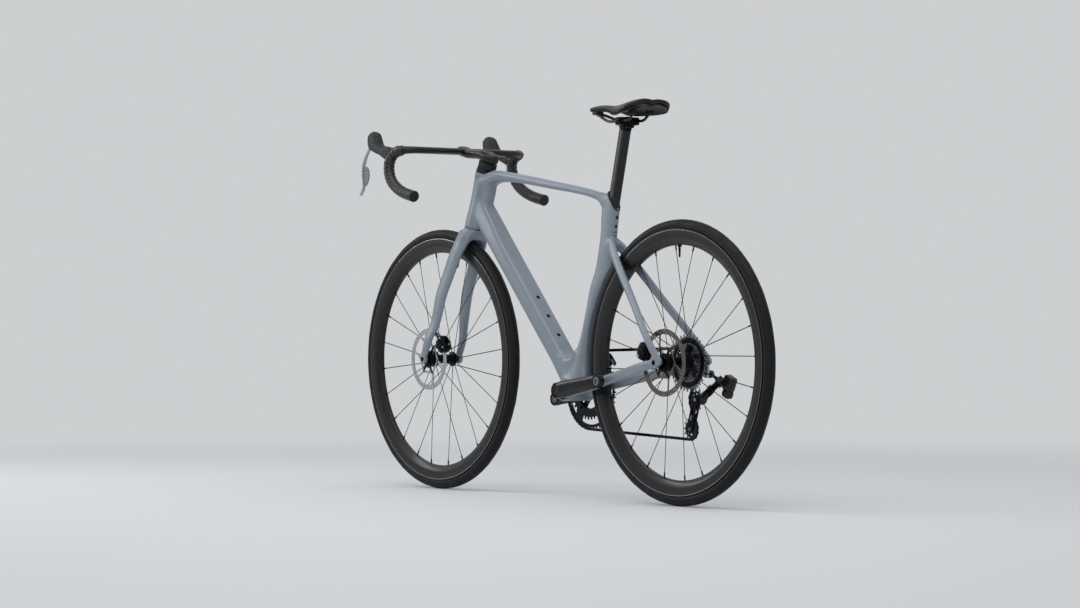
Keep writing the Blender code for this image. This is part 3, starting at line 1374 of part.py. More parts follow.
def make_cassette():
    # Cogs on a common core, stacked from the largest to the smallest
    out = cog_offset(COGS[0]) - COG_THICKNESS / 2
    inner = cog_offset(COGS[-1]) + COG_THICKNESS / 2
    bm = bmesh.new()

    def ring(points, y):
        return [bm.verts.new(REAR_AXLE + Vector((x, y, z))) for x, z in points]

    def wall(first, second):
        for index in range(len(first)):
            after = (index + 1) % len(first)
            bm.faces.new((first[index], first[after], second[after], second[index]))

    def face(outside, inside):
        edges = [bm.edges.get((loop[i - 1], loop[i])) or bm.edges.new((loop[i - 1], loop[i]))
                 for loop in (outside, inside) for i in range(len(loop))]
        bmesh.ops.triangle_fill(bm, edges=edges, use_beauty=True, use_dissolve=False)

    core = circle(CASSETTE_CORE, CORE_SIDES)
    bore = circle(FREEHUB_RADIUS + 2 * GAP, CORE_SIDES)
    last = None
    for index, teeth in enumerate(reversed(COGS)):
        meshing = teeth == CHAIN_COG
        phase = wheel_phase(teeth, REAR_AXLE.z) if meshing else 0.13 * teeth
        outline = toothed(teeth, phase, meshing)
        y = cog_offset(teeth)
        near, far = ring(outline, y + COG_THICKNESS / 2), ring(outline, y - COG_THICKNESS / 2)
        wall(near, far)
        if last is None:
            first_bore = ring(bore, inner)
            face(near, first_bore)
        else:
            root = ring(core, y + COG_THICKNESS / 2)
            wall(last, root)
            face(near, root)
        if index == len(COGS) - 1:
            last_bore = ring(bore, out)
            face(far, last_bore)
        else:
            last = ring(core, y - COG_THICKNESS / 2)
            face(far, last)
    wall(first_bore, last_bore)
    bmesh.ops.recalc_face_normals(bm, faces=bm.faces)
    mesh = bpy.data.meshes.new("cassette")
    bm.to_mesh(mesh)
    bm.free()
    finish(add("cassette", mesh), "cassette", STEEL, REAR_AXLE)
    tube_ring = turned([(FREEHUB_BORE, inner + 0.0012), (FREEHUB_RADIUS, inner + 0.0012),
                        (FREEHUB_RADIUS, out - 0.001), (FREEHUB_BORE, out - 0.001)],
                       REAR_AXLE, LEFT, 20, closed=True)
    finish(tube_ring, "freehub_body", ALLOY_BLACK, REAR_AXLE)


def spider_angles():
    return [CRANK_ANGLE + math.radians(45 + 90 * index) for index in range(4)]


def make_rings():
    holes = [circle(RING_BOLT_RADIUS + GAP, 8, BOLT_CIRCLE_RADIUS * math.cos(angle),
                    BOLT_CIRCLE_RADIUS * math.sin(angle)) for angle in spider_angles()]
    windows = [sector(0.067, 0.0855, a + 0.18, a + math.pi / 2 - 0.18, 0.0, 3) for a in spider_angles()]
    outer = flat([toothed(OUTER_TEETH, wheel_phase(OUTER_TEETH, BB.z)), circle(RING_BORE, 20)]
                 + holes + windows, RING_THICKNESS, BB - OUTER_RING_OFFSET * LEFT)
    finish(outer, "outer_chainring", ALLOY_BLACK, BB)
    inner = flat([toothed(INNER_TEETH, 0.0, False), circle(RING_BORE, 20)] + holes,
                 RING_THICKNESS, BB - (OUTER_RING_OFFSET - RING_SPACING) * LEFT)
    finish(inner, "inner_chainring", ALLOY_BLACK, BB)


def crank_arm(side, angle):
    # Arm from its boss to the pedal eye; side is 1 on the left
    way = Vector((math.cos(angle), 0, math.sin(angle)))
    across = Vector((-way.z, 0, way.x))
    inner = PEDAL_STANCE / 2 - CRANK_THICKNESS
    plan = ((-0.004, 0.0520, 1.12, 1.15), (0.030, 0.0530, 1.02, 1.10), (0.090, 0.0565, 0.90, 1.0),
            (0.150, inner, 0.84, 0.96), (CRANK_LENGTH, inner, 0.84, 1.0))
    sections = [(BB + way * run + side * (y + CRANK_THICKNESS / 2) * LEFT, across * CRANK_WIDTH / 2 * wide,
                 side * CRANK_THICKNESS / 2 * thick * LEFT, 2.8) for run, y, wide, thick in plan]
    eye = BB + way * CRANK_LENGTH
    end = cylinder(eye + side * inner * LEFT, eye + side * (inner + CRANK_THICKNESS) * LEFT, 0.0132, 16)
    arm = union(loft(sections, 8), end)
    hole = cylinder(eye + side * (inner - 0.01) * LEFT, eye + side * (inner + 0.03) * LEFT,
                    PEDAL_HOLE_RADIUS, 12)
    return cut(arm, hole)


def make_cranks():
    face = BB_SHELL_WIDTH / 2 + GAP + 0.0014 + GAP
    ring_face = OUTER_RING_OFFSET + RING_THICKNESS / 2 + GAP
    right = cylinder(BB - face * LEFT, BB - CRANK_FACE * LEFT, 0.0190, 16)
    arms = []
    for angle in spider_angles():
        tip = Vector((math.cos(angle), 0, math.sin(angle)))
        across = Vector((-tip.z, 0, tip.x))
        centre = BB - (ring_face + SPIDER_THICKNESS / 2) * LEFT
        arms.append(loft([(centre + tip * reach, across * wide, SPIDER_THICKNESS / 2 * LEFT, 4.0)
                          for reach, wide in ((0.010, 0.0115), (0.035, 0.0080), (0.060, 0.0080))], 8))
        bolt = BB + tip * BOLT_CIRCLE_RADIUS
        arms.append(cylinder(bolt - (ring_face + 0.001) * LEFT,
                             bolt - (OUTER_RING_OFFSET - RING_SPACING - RING_THICKNESS / 2 - 0.0012) * LEFT,
                             RING_BOLT_RADIUS, 8))
    arms.append(crank_arm(-1, CRANK_ANGLE + math.pi))
    right = union(right, *arms)
    right = union(right, cylinder(BB - 0.060 * LEFT, BB + (CRANK_FACE - 0.003) * LEFT, SPINDLE_RADIUS, 16))
    finish(right, "crank_right", ALLOY_BLACK, BB)
    left = union(cylinder(BB + face * LEFT, BB + CRANK_FACE * LEFT, 0.0190, 16), crank_arm(1, CRANK_ANGLE))
    left = cut(left, cylinder(BB + (face - 0.01) * LEFT, BB + (CRANK_FACE + 0.01) * LEFT,
                              SPINDLE_RADIUS + 2 * GAP, 16))
    finish(left, "crank_left", ALLOY_BLACK, BB)


# Rear derailleur

def link_point(along=0.0, across=0.0, sideways=0.0):
    # Near the fixed end of the parallelogram: along the links, along their pins, and inboard
    return LINK_ROOT + along * LINK_WAY + across * LINK_PIN + sideways * LINK_SIDE


def link_box(along, across, sideways, bevel=0.0):
    # Box in the parallelogram's own directions, each given as a (low, high) pair
    turn = Matrix((LINK_WAY, LINK_PIN, LINK_SIDE)).transposed()
    centre = link_point(*(sum(pair) / 2 for pair in (along, across, sideways)))
    size = tuple(high - low for low, high in (along, across, sideways))
    return rounded_box(centre, size, bevel, turn) if bevel else box(centre, size, turn)


def link_pin(along, sideways, radius, reach, sides=10):
    return cylinder(link_point(along, -reach, sideways), link_point(along, reach, sideways), radius, sides)


def knuckle_ears(base, toward):
    # Two plates with pins through both links; toward is the way to the links
    room = LINK_WIDTH / 2 + 0.0006
    ears = []
    for side in (1, -1):
        low, high = sorted((side * room, side * (room + EAR_THICKNESS)))
        along = sorted((base + toward * 0.0042, base - toward * 0.0090))
        ears.append(link_box(along, (low, high), (-0.0048, LINK_SPREAD + 0.0048)))
    bridge = sorted((base - toward * 0.0052, base - toward * 0.0095))
    ears.append(link_box(bridge, (-room - EAR_THICKNESS / 2, room + EAR_THICKNESS / 2),
                         (-0.0044, LINK_SPREAD + 0.0044)))
    for sideways in (0.0, LINK_SPREAD):
        ears.append(link_pin(base, sideways, 0.0018, room + 0.001, 8))
    return ears


def make_links():
    thick = LINK_THICKNESS / 2
    for side, sideways in (("outer", 0.0), ("inner", LINK_SPREAD)):
        body = link_box((0, LINK_LENGTH), (-LINK_WIDTH / 2, LINK_WIDTH / 2),
                        (sideways - thick, sideways + thick))
        for along in (0.0, LINK_LENGTH):
            body = union(body, link_pin(along, sideways, 0.0038, LINK_WIDTH / 2 + 0.0002, 10))
        for along in (0.0, LINK_LENGTH):
            body = cut(body, link_pin(along, sideways, 0.0021, LINK_WIDTH, 8))
        finish(body, f"rear_derailleur_{side}_link", ALLOY_BLACK, link_point(0, 0, sideways))


def make_derailleur():
    ears = knuckle_ears(0.0, 1)
    bolt = HANGER_BOLT
    body = union(*ears)
    arm = hull([(bolt + y * LEFT, Vector((0.004, 0, 0)), Vector((0, 0, 0.0080)), 2.0)
                for y in (KNUCKLE_Y, KNUCKLE_Y + 0.004)] + [
                (link_point(-0.0024, LINK_WIDTH / 2 + 0.0012, LINK_SPREAD / 2), LINK_WAY * 0.0062,
                 LINK_SIDE * 0.0088, 3.0)])
    head = cylinder(bolt + (KNUCKLE_Y - 0.0060) * LEFT, bolt + (KNUCKLE_Y + 0.0060) * LEFT, 0.0095, 16)
    body = union(body, arm, head)
    finish(body, "rear_derailleur_knuckle", ALLOY_BLACK)
    make_links()
    ears = knuckle_ears(LINK_LENGTH, -1)
    body = union(*ears)
    centre = Vector((GUIDE.x, 0, GUIDE.z))
    inner, outer = CAGE_OUTER + GAP, CAGE_OUTER + 0.020
    drum = cylinder(centre - inner * LEFT, centre - outer * LEFT, 0.0115, 20)
    arm = hull([(centre - (CAGE_OUTER + 0.004) * LEFT, Vector((0.0075, 0, 0)), Vector((0, 0, 0.0075)), 2.0),
                (centre - (CAGE_OUTER + 0.018) * LEFT, Vector((0.0075, 0, 0)), Vector((0, 0, 0.0075)), 2.0),
                (link_point(LINK_LENGTH + 0.0072, 0, LINK_SPREAD / 2), LINK_PIN * 0.0080,
                 LINK_SIDE * 0.0090, 3.0)])
    body = union(body, drum, arm)
    finish(body, "rear_derailleur_body", ALLOY_BLACK, link_point(LINK_LENGTH))


def make_hanger():
    bolt = HANGER_BOLT
    inner = REAR_HUB_WIDTH / 2 + GAP
    thick = 0.0070
    y = -(inner + thick / 2)
    outline = ((-0.009, 0.001), (-0.006, -0.007), (0, -0.0095), (0.006, -0.007), (0.009, 0),
               (0.012, 0.016), (-0.008, 0.020))
    body = flat([[(bolt.x + x, bolt.z + z) for x, z in outline]], thick, (0, y, 0))
    body = cut(body, cylinder(REAR_AXLE - 0.1 * LEFT, REAR_AXLE, DROPOUT_RADIUS + GAP, 40))
    body = cut(body, cylinder(bolt - 0.1 * LEFT, bolt, 0.0042, 12))
    finish(body, "derailleur_hanger", ALLOY)


def make_battery():
    centre = LINK_ROOT + Vector((-0.0295, -0.0025, -0.0060))
    body = rounded_box(centre, (0.034, 0.022, 0.036), 0.004, Matrix.Rotation(math.radians(-25), 3, "Y"))
    room = LINK_WIDTH / 2 + 0.0006 + EAR_THICKNESS + 2 * GAP
    body = cut(body, link_box((-0.0102, 0.02), (-room, room), (-0.0054, LINK_SPREAD + 0.0054)))
    finish(body, "derailleur_battery", PLASTIC)


def make_cage():
    way = Vector((math.sin(CAGE_ANGLE), 0, -math.cos(CAGE_ANGLE)))
    tension = GUIDE + way * CAGE_LENGTH
    y = cog_offset(CHAIN_COG)

    def plate(radius_guide, radius_tension, thickness, offset):
        outline = []
        heading = math.atan2(way.z, way.x)
        for centre, radius, middle in ((GUIDE, radius_guide, heading + math.pi),
                                       (tension, radius_tension, heading)):
            for step in range(7):
                angle = middle - math.radians(75) + math.radians(25) * step
                outline.append((centre.x + radius * math.cos(angle), centre.z + radius * math.sin(angle)))
        return flat([outline], thickness, (0, offset, 0))

    gap = CHAIN_WIDTH / 2 + 0.0006
    outer = plate(0.0125, 0.0105, CAGE_THICKNESS, y - gap - CAGE_THICKNESS / 2)
    inner = plate(0.0105, 0.0105, CAGE_THICKNESS, y + gap + CAGE_THICKNESS / 2)
    pins = [cylinder(Vector((p.x, y - gap - 0.001, p.z)), Vector((p.x, y + gap + 0.001, p.z)), 0.0025, 10)
            for p in (GUIDE, tension)]
    finish(union(outer, inner, *pins), "derailleur_cage", ALLOY_BLACK, GUIDE)
    for name, place in (("guide_pulley", GUIDE), ("tension_pulley", tension)):
        centre = Vector((place.x, y, place.z))
        pulley = flat([toothed(PULLEY_TEETH, wheel_phase(PULLEY_TEETH, place.z)), circle(0.0028, 10)],
                      PULLEY_THICKNESS, centre)
        finish(pulley, name, PLASTIC, Vector((place.x, 0, place.z)))


# Front derailleur

def arc_band(inner, outer, first, last, steps=6):
    angles = [mix(first, last, i / steps) for i in range(steps + 1)]
    return ([(BB.x + outer * math.cos(a), BB.z + outer * math.sin(a)) for a in angles]
            + [(BB.x + inner * math.cos(a), BB.z + inner * math.sin(a)) for a in reversed(angles)])


def make_front_derailleur():
    first, last = math.radians(80), math.radians(145)
    y = -OUTER_RING_OFFSET
    inner = flat([arc_band(0.090, 0.1135, first, last)], 0.0014, (0, y + 0.0053, 0))
    outer = flat([arc_band(0.1030, 0.1150, first, last)], 0.0014, (0, y - 0.0053, 0))
    bridges = [flat([arc_band(0.1100, 0.1130, mix(first, last, share),
                              mix(first, last, share + 0.10), 1)], 0.0110, (0, y, 0))
               for share in (0.02, 0.16, 0.88)]
    cage = union(inner, outer, *bridges)
    finish(cage, "front_derailleur_cage", ALLOY_BLACK)
    centre = BB + Vector((-0.0366, -0.0385, 0.1385))
    body = rounded_box(centre, (0.040, 0.034, 0.030), 0.005, Matrix.Rotation(math.radians(-14), 3, "Y"))
    finish(body, "front_derailleur_body", ALLOY_BLACK)


def build():
    make_frame()
    make_seat_cover()
    make_bottom_bracket()
    make_bearings()
    make_axle("rear_axle", REAR_AXLE, REAR_HUB_WIDTH / 2 + DROPOUT_THICKNESS, None)
    make_axle("front_axle", FRONT_AXLE, FRONT_HUB_WIDTH / 2 + FORK_TIP_WIDTH, steer(HEAD_LOW))
    make_post()
    make_saddle()
    make_fork()
    make_spacers()
    make_stem()
    make_handlebar()
    make_tapes_and_hoods()
    make_levers()
    steering = steer(HEAD_LOW)
    for end, axle, offset, caliper_angle, pivot in (
            ("front", FRONT_AXLE, FRONT_ROTOR_OFFSET, FRONT_CALIPER_ANGLE, steering),
            ("rear", REAR_AXLE, REAR_ROTOR_OFFSET, REAR_CALIPER_ANGLE, None)):
        make_tyre(end + "_tyre", axle)
        make_rim(end + "_rim", axle)
        make_rotor(end + "_brake_rotor", axle, offset)
        make_caliper(end + "_brake_caliper", axle, caliper_angle, offset, pivot)
        make_pads(end, axle, caliper_angle, offset, pivot)
    make_valve("front_valve", FRONT_AXLE, math.radians(107))
    make_valve("rear_valve", REAR_AXLE, math.radians(90))
    make_front_hub()
    make_rear_hub()
    make_cassette()
    make_rings()
    make_cranks()
    make_chain()
    make_hanger()
    make_derailleur()
    make_cage()
    make_battery()
    make_front_derailleur()


build()
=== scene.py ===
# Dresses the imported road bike: smooth surfaces and real finishes around the CAD frame.
# +X is forward, +Y the rider's left, +Z up, in metres; the ground is at z = 0.

import math

import bmesh
import bpy
import numpy as np
from mathutils import Matrix, Vector


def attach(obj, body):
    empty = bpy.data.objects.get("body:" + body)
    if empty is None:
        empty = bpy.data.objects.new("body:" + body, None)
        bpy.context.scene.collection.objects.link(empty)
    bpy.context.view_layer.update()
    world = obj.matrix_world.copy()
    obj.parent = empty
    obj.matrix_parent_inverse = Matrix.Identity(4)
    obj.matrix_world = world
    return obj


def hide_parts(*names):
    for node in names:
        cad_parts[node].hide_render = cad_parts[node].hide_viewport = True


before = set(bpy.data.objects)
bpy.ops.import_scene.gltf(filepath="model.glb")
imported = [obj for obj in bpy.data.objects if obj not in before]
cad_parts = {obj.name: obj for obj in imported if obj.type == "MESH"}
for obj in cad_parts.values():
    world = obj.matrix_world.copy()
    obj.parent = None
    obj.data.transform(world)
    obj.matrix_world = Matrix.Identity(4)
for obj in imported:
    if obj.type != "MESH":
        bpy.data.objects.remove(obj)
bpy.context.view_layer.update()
print("frame loaded")

up = np.array([0.0, 0.0, 1.0])
left = np.array([0.0, 1.0, 0.0])
forward = np.array([1.0, 0.0, 0.0])
mm = 0.001
turn = 2 * math.pi


def spot(*values):
    return np.array(values, float)


def unit(vector):
    return vector / np.linalg.norm(vector)


def units(vectors):
    return vectors / np.linalg.norm(vectors, axis=1)[:, None]


def mix(a, b, share):
    return a + (b - a) * share


def toward(angle):
    # The direction in the side view at an angle from forwards to up
    return spot(math.cos(angle), 0, math.sin(angle))


def squareTo(way):
    # A direction in the side view turned a quarter, from forwards to up
    return spot(-way[2], 0, way[0])


# Where things are. Angles are in degrees.
layout = {
    "wheelbase": 0.990,
    "wheelRadius": 0.339,
    "chainstay": 0.410,
    "bracketDrop": 0.072,
    "headAngle": 73.0,
    "forkRake": 0.045,
    "forkLength": 0.370,
    "headTube": 0.147,
    "seatAngle": 75.8,
    "postSetback": 0.035,
    "seatTube": 0.4745,
    "barCentre": (0.385, 0.0, 0.877),
}

rearAxle = spot(-layout["wheelbase"] / 2, 0, layout["wheelRadius"])
frontAxle = spot(layout["wheelbase"] / 2, 0, layout["wheelRadius"])
bracket = rearAxle + spot(math.sqrt(layout["chainstay"] ** 2 - layout["bracketDrop"] ** 2), 0,
                          -layout["bracketDrop"])
headAngle = math.radians(layout["headAngle"])
seatAngle = math.radians(layout["seatAngle"])
steerUp = spot(-math.cos(headAngle), 0, math.sin(headAngle))
steerForward = spot(math.sin(headAngle), 0, math.cos(headAngle))
postUp = spot(-math.cos(seatAngle), 0, math.sin(seatAngle))
postForward = spot(math.sin(seatAngle), 0, math.cos(seatAngle))
barCentre = spot(*layout["barCentre"])


def steer(along, ahead=0.0):
    # A point by the steering axis, measured from the level of the front axle
    return frontAxle - layout["forkRake"] * steerForward + along * steerUp + ahead * steerForward


def post(along, ahead=0.0):
    # A point by the seat post's line, measured from the height of the bottom bracket
    return bracket - layout["postSetback"] * forward + along * postUp + ahead * postForward


headLow = layout["forkLength"]
headTop = headLow + layout["headTube"]


# Surfaces

def glide(at, keys, values, soft=False):
    # Cubic through the keys. The slope at a key is the harmonic mean of the slopes beside it, and
    # nothing at a turn, so it never overshoots; soft takes their weighted mean, for free curves.
    keys, values = np.asarray(keys, float), np.asarray(values, float)
    gap = np.diff(keys)[:, None]
    slope = np.diff(values, axis=0) / gap
    ahead, behind = slope[1:], slope[:-1]
    if soft:
        inner = (gap[1:] * behind + gap[:-1] * ahead) / (gap[1:] + gap[:-1])
    else:
        near, far = 2 * gap[1:] + gap[:-1], gap[1:] + 2 * gap[:-1]
        same = behind * ahead > 0
        safeBehind, safeAhead = np.where(same, behind, 1.0), np.where(same, ahead, 1.0)
        inner = np.where(same, (near + far) / (near / safeBehind + far / safeAhead), 0.0)
    tangent = np.vstack([slope[:1], inner, slope[-1:]])
    at = np.asarray(at, float)
    index = np.clip(np.searchsorted(keys, at, side="right") - 1, 0, len(keys) - 2)
    t = ((at - keys[index]) / gap[index, 0])[:, None]
    return ((2 * t ** 3 - 3 * t ** 2 + 1) * values[index]
            + (t ** 3 - 2 * t ** 2 + t) * gap[index] * tangent[index]
            + (3 * t ** 2 - 2 * t ** 3) * values[index + 1]
            + (t ** 3 - t ** 2) * gap[index] * tangent[index + 1])


def ellipseRing(power, sides):
    # |a|^p + |b|^p = 1: an ellipse at power 2, nearly a box at power 5
    angle = turn * (np.arange(sides) + 0.5) / sides
    power = np.atleast_1d(power)[:, None]
    cosine, sine = np.cos(angle), np.sin(angle)
    return (np.sign(cosine) * np.abs(cosine) ** (2 / power), np.sign(sine) * np.abs(sine) ** (2 / power))


def runAlong(points):
    # Length of the line through the points, up to each of them
    return np.concatenate([[0], np.cumsum(np.linalg.norm(np.diff(points, axis=0), axis=1))])


def loft(sections, rings, sides, soft=False):
    # Rings along a line; each section is a centre, two half axes and the power of its outline
    rows = np.array([[*centre, *a, *b, power] for centre, a, b, power in sections])
    along = runAlong(rows[:, :3])
    data = glide(np.linspace(0, along[-1], rings), along, rows, soft)
    a, b = ellipseRing(data[:, 9], sides)
    return (data[:, None, 0:3] + a[..., None] * data[:, None, 3:6] + b[..., None] * data[:, None, 6:9])


def sideSections(plan, power):
    # Sections seen in the side view as lines between two points (x, z), each with its half width
    # and, where it isn't in the bike's middle plane, its distance to the left
    made = []
    for first, second, width, *aside in plan:
        shift = aside[0] if aside else 0.0
        a, b = spot(first[0], shift, first[1]), spot(second[0], shift, second[1])
        made.append(((a + b) / 2, (a - b) / 2, width * left, power))
    return made


def followed(points, rings, soft=True):
    # Points spaced evenly on a smooth curve through the given ones, with their directions
    points = np.asarray(points, float)
    along = runAlong(points)
    line = glide(np.linspace(0, along[-1], rings), along, points, soft)
    return line, units(np.gradient(line, axis=0))


def carried(way, start):
    # Two cross directions carried along the line with the least turning
    first = [unit(start - way[0] * (start @ way[0]))]
    for tangent in way[1:]:
        first.append(unit(first[-1] - tangent * (first[-1] @ tangent)))
    first = np.array(first)
    return first, np.cross(way, first)


def tube(points, radius, rings, sides, soft=True):
    # A round section carried along a smooth curve
    line, way = followed(points, rings, soft)
    a, b = carried(way, left)
    angle = turn * np.arange(sides) / sides
    rim = np.cos(angle)[None, :, None] * a[:, None] + np.sin(angle)[None, :, None] * b[:, None]
    return closedGrid(line[:, None] + radius * rim)


def crossAxes(axis):
    axis = unit(np.asarray(axis, float))
    first = unit(np.cross(axis, up if abs(axis[2]) < 0.9 else forward))
    return first, np.cross(axis, first)


def lathe(profile, centre, axis=left, steps=64):
    # A profile of (radius, height) turned about an axis
    profile = np.asarray(profile, float)
    a, b = crossAxes(axis)
    angle = turn * np.arange(steps) / steps
    ring = np.cos(angle)[:, None] * a + np.sin(angle)[:, None] * b
    return (np.asarray(centre, float) + profile[:, None, 1:2] * unit(np.asarray(axis, float))
            + profile[:, None, 0:1] * ring[None])


def softened(points, radius, count=4, closed=True):
    # Corners of an outline swapped for short parabolas that start a radius away from each
    points = np.asarray(points, float)
    before, after = np.roll(points, 1, axis=0), np.roll(points, -1, axis=0)
    toBefore, toAfter = before - points, after - points
    lengthBefore = np.linalg.norm(toBefore, axis=1)[:, None]
    lengthAfter = np.linalg.norm(toAfter, axis=1)[:, None]
    radius = np.broadcast_to(np.asarray(radius, float).reshape(-1, 1), (len(points), 1))
    start = points + toBefore / lengthBefore * np.minimum(radius, 0.45 * lengthBefore)
    end = points + toAfter / lengthAfter * np.minimum(radius, 0.45 * lengthAfter)
    t = np.linspace(0, 1, count)[None, :, None]
    bends = (1 - t) ** 2 * start[:, None] + 2 * t * (1 - t) * points[:, None] + t ** 2 * end[:, None]
    if closed:
        return bends.reshape(-1, points.shape[1])
    return np.vstack([points[:1], bends[1:-1].reshape(-1, points.shape[1]), points[-1:]])


def gridFaces(rows, columns, wrapRows=False, wrapColumns=True):
    row = np.arange(rows if wrapRows else rows - 1)
    column = np.arange(columns if wrapColumns else columns - 1)
    row, column = np.meshgrid(row, column, indexing="ij")
    nextRow, nextColumn = (row + 1) % rows, (column + 1) % columns
    corners = [row * columns + column, row * columns + nextColumn,
               nextRow * columns + nextColumn, nextRow * columns + column]
    return np.stack(corners, -1).reshape(-1, 4).tolist()


def closedGrid(grid, wrapRows=False):
    # Points and faces of a tube-like grid, with a face over each open end
    rows, columns = grid.shape[:2]
    faces = gridFaces(rows, columns, wrapRows)
    if not wrapRows:
        faces.append(list(range(columns)))
        faces.append(list(range((rows - 1) * columns, rows * columns)))
    return grid.reshape(-1, 3), faces


def spun(profile, centre, axis=left, steps=64):
    return closedGrid(lathe(profile, centre, axis, steps))


def spunRing(profile, centre, axis=left, steps=64):
    # A turned piece with a bore: its profile closes on itself
    return closedGrid(lathe(profile, centre, axis, steps), wrapRows=True)


def lofted(sections, rings, sides, soft=False):
    return closedGrid(loft(sections, rings, sides, soft))


def gathered(parts):
    # Several (points, faces) pairs as one
    points, faces, count = [], [], 0
    for partPoints, partFaces in parts:
        points.append(np.asarray(partPoints, float))
        faces += [[index + count for index in face] for face in partFaces]
        count += len(partPoints)
    return np.vstack(points), faces


def mirroredPart(part):
    points, faces = part
    return np.asarray(points) * spot(1, -1, 1), faces


def placed(name, data):
    # A new object of the data, linked to the scene
    obj = bpy.data.objects.new(name, data)
    bpy.context.scene.collection.objects.link(obj)
    return obj


def rawMesh(name, part):
    points, faces = part
    mesh = bpy.data.meshes.new(name)
    mesh.from_pydata(np.asarray(points).tolist(), [], faces)
    return mesh


def newMesh(name, part):
    # A mesh with doubled points merged and every face pointing outwards
    mesh = rawMesh(name, part)
    work = bmesh.new()
    work.from_mesh(mesh)
    bmesh.ops.remove_doubles(work, verts=work.verts, dist=1e-6)
    bmesh.ops.recalc_face_normals(work, faces=work.faces)
    work.to_mesh(mesh)
    work.free()
    return mesh


def dress(name, shape, finish, body, stands=(), sharp=38.0, bevel=0.0):
    # Makes a piece of a part or a mesh, and says what it rides on and stands for
    mesh = shape if isinstance(shape, bpy.types.Mesh) else newMesh(name, shape)
    mesh.name = name
    obj = placed(name, mesh)
    mesh.materials.clear()
    mesh.materials.append(finish)
    mesh.shade_smooth()
    if sharp:
        mesh.set_sharp_from_angle(angle=math.radians(sharp))
    if bevel:
        rounding = obj.modifiers.new("edges", "BEVEL")
        rounding.width = bevel
        rounding.segments = 2
        rounding.limit_method = "ANGLE"
        rounding.angle_limit = math.radians(32)
        rounding.harden_normals = True
    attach(obj, body)
    if stands:
        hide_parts(*stands)
    return obj


def settled(obj):
    # The mesh of an object once its modifiers have run; the object goes
    bpy.context.view_layer.update()
    graph = bpy.context.evaluated_depsgraph_get()
    mesh = bpy.data.meshes.new_from_object(obj.evaluated_get(graph))
    bpy.data.objects.remove(obj, do_unlink=True)
    return mesh


def helper(part):
    return placed("helper", part if isinstance(part, bpy.types.Mesh) else newMesh("helper", part))


def carve(mesh, *tools, operation="DIFFERENCE"):
    # Cuts each tool out of a closed mesh
    for tool in tools:
        target, cutter = helper(mesh), helper(tool)
        step = target.modifiers.new("cut", "BOOLEAN")
        step.operation, step.solver, step.object = operation, "MANIFOLD", cutter
        mesh = settled(target)
        bpy.data.objects.remove(cutter, do_unlink=True)
    return mesh


def rod(start, end, radius, sides=32):
    length = np.linalg.norm(end - start)
    return spun([(radius, 0), (radius, length)], start, end - start, sides)


def block(centre, size, axes=(forward, left, up), power=8.0, sides=32, rounding=0.12):
    # A box with soft edges: a near-square section that shrinks a little at both ends
    a, b, c = axes
    halfA, halfB, halfC = (value / 2 for value in size)
    edge = rounding * min(halfA, halfB, halfC) * 2
    steps = np.linspace(0, math.pi / 2, 5)
    reach = np.concatenate([-(halfA - edge) - edge * np.sin(steps[::-1]),
                            (halfA - edge) + edge * np.sin(steps)])
    inset = edge * (1 - np.cos(np.concatenate([steps[::-1], steps])))
    cosine, sine = ellipseRing(np.full(len(reach), power), sides)
    centre = np.asarray(centre, float)
    grid = (centre + reach[:, None, None] * a
            + (cosine * (halfB - inset)[:, None])[..., None] * b
            + (sine * (halfC - inset)[:, None])[..., None] * c)
    return closedGrid(grid)


def boltHead(centre, axis, radius, height, depth=0.6):
    # A cap screw's head with a six-sided socket, half as wide and as deep as the share says
    axis = unit(np.asarray(axis, float))
    edge, socket = 0.14 * radius, 0.5 * radius
    outside = lathe([(radius, 0), (radius, height - edge), (radius - 0.3 * edge, height - 0.3 * edge),
                     (radius - edge, height)], centre, axis, 24)
    a, b = crossAxes(axis)
    angle = turn * np.arange(24) / 24
    hexagon = math.cos(math.pi / 6) / np.cos((angle % (math.pi / 3)) - math.pi / 6)
    ring = (np.cos(angle) * hexagon)[:, None] * a + (np.sin(angle) * hexagon)[:, None] * b
    centre = np.asarray(centre, float)
    inside = np.stack([centre + height * axis + socket * ring,
                       centre + height * (1 - depth) * axis + socket * ring])
    return closedGrid(np.concatenate([outside, inside]))


def plate(outlines, thickness, centre, bevel=0.0, axes=(forward, up, -left)):
    # A flat plate from outlines of (x, z) pairs; the later ones are holes
    curve = bpy.data.curves.new("plate", "CURVE")
    curve.dimensions, curve.fill_mode = "2D", "BOTH"
    curve.extrude = thickness / 2 - bevel
    curve.bevel_depth, curve.bevel_resolution, curve.offset = bevel, 0, -bevel
    for outline in outlines:
        outline = np.asarray(outline, float)
        spline = curve.splines.new("POLY")
        spline.points.add(len(outline) - 1)
        flatPoints = np.zeros((len(outline), 4))
        flatPoints[:, :2], flatPoints[:, 3] = outline, 1
        spline.points.foreach_set("co", flatPoints.ravel())
        spline.use_cyclic_u = True
    mesh = settled(placed("plate", curve))
    bpy.data.curves.remove(curve)
    count = len(mesh.vertices)
    flatPoints = np.empty(count * 3)
    mesh.vertices.foreach_get("co", flatPoints)
    flatPoints = flatPoints.reshape(-1, 3)
    a, b, c = axes
    points = centre + flatPoints[:, :1] * a + flatPoints[:, 1:2] * b + flatPoints[:, 2:] * c
    faces = [list(polygon.vertices) for polygon in mesh.polygons]
    bpy.data.meshes.remove(mesh)
    return points, faces


def onCircle(radius, angle):
    return np.stack([radius * np.cos(angle), radius * np.sin(angle)], -1)


def circle(radius, count, centre=(0.0, 0.0)):
    return centre + onCircle(radius, turn * np.arange(count) / count)


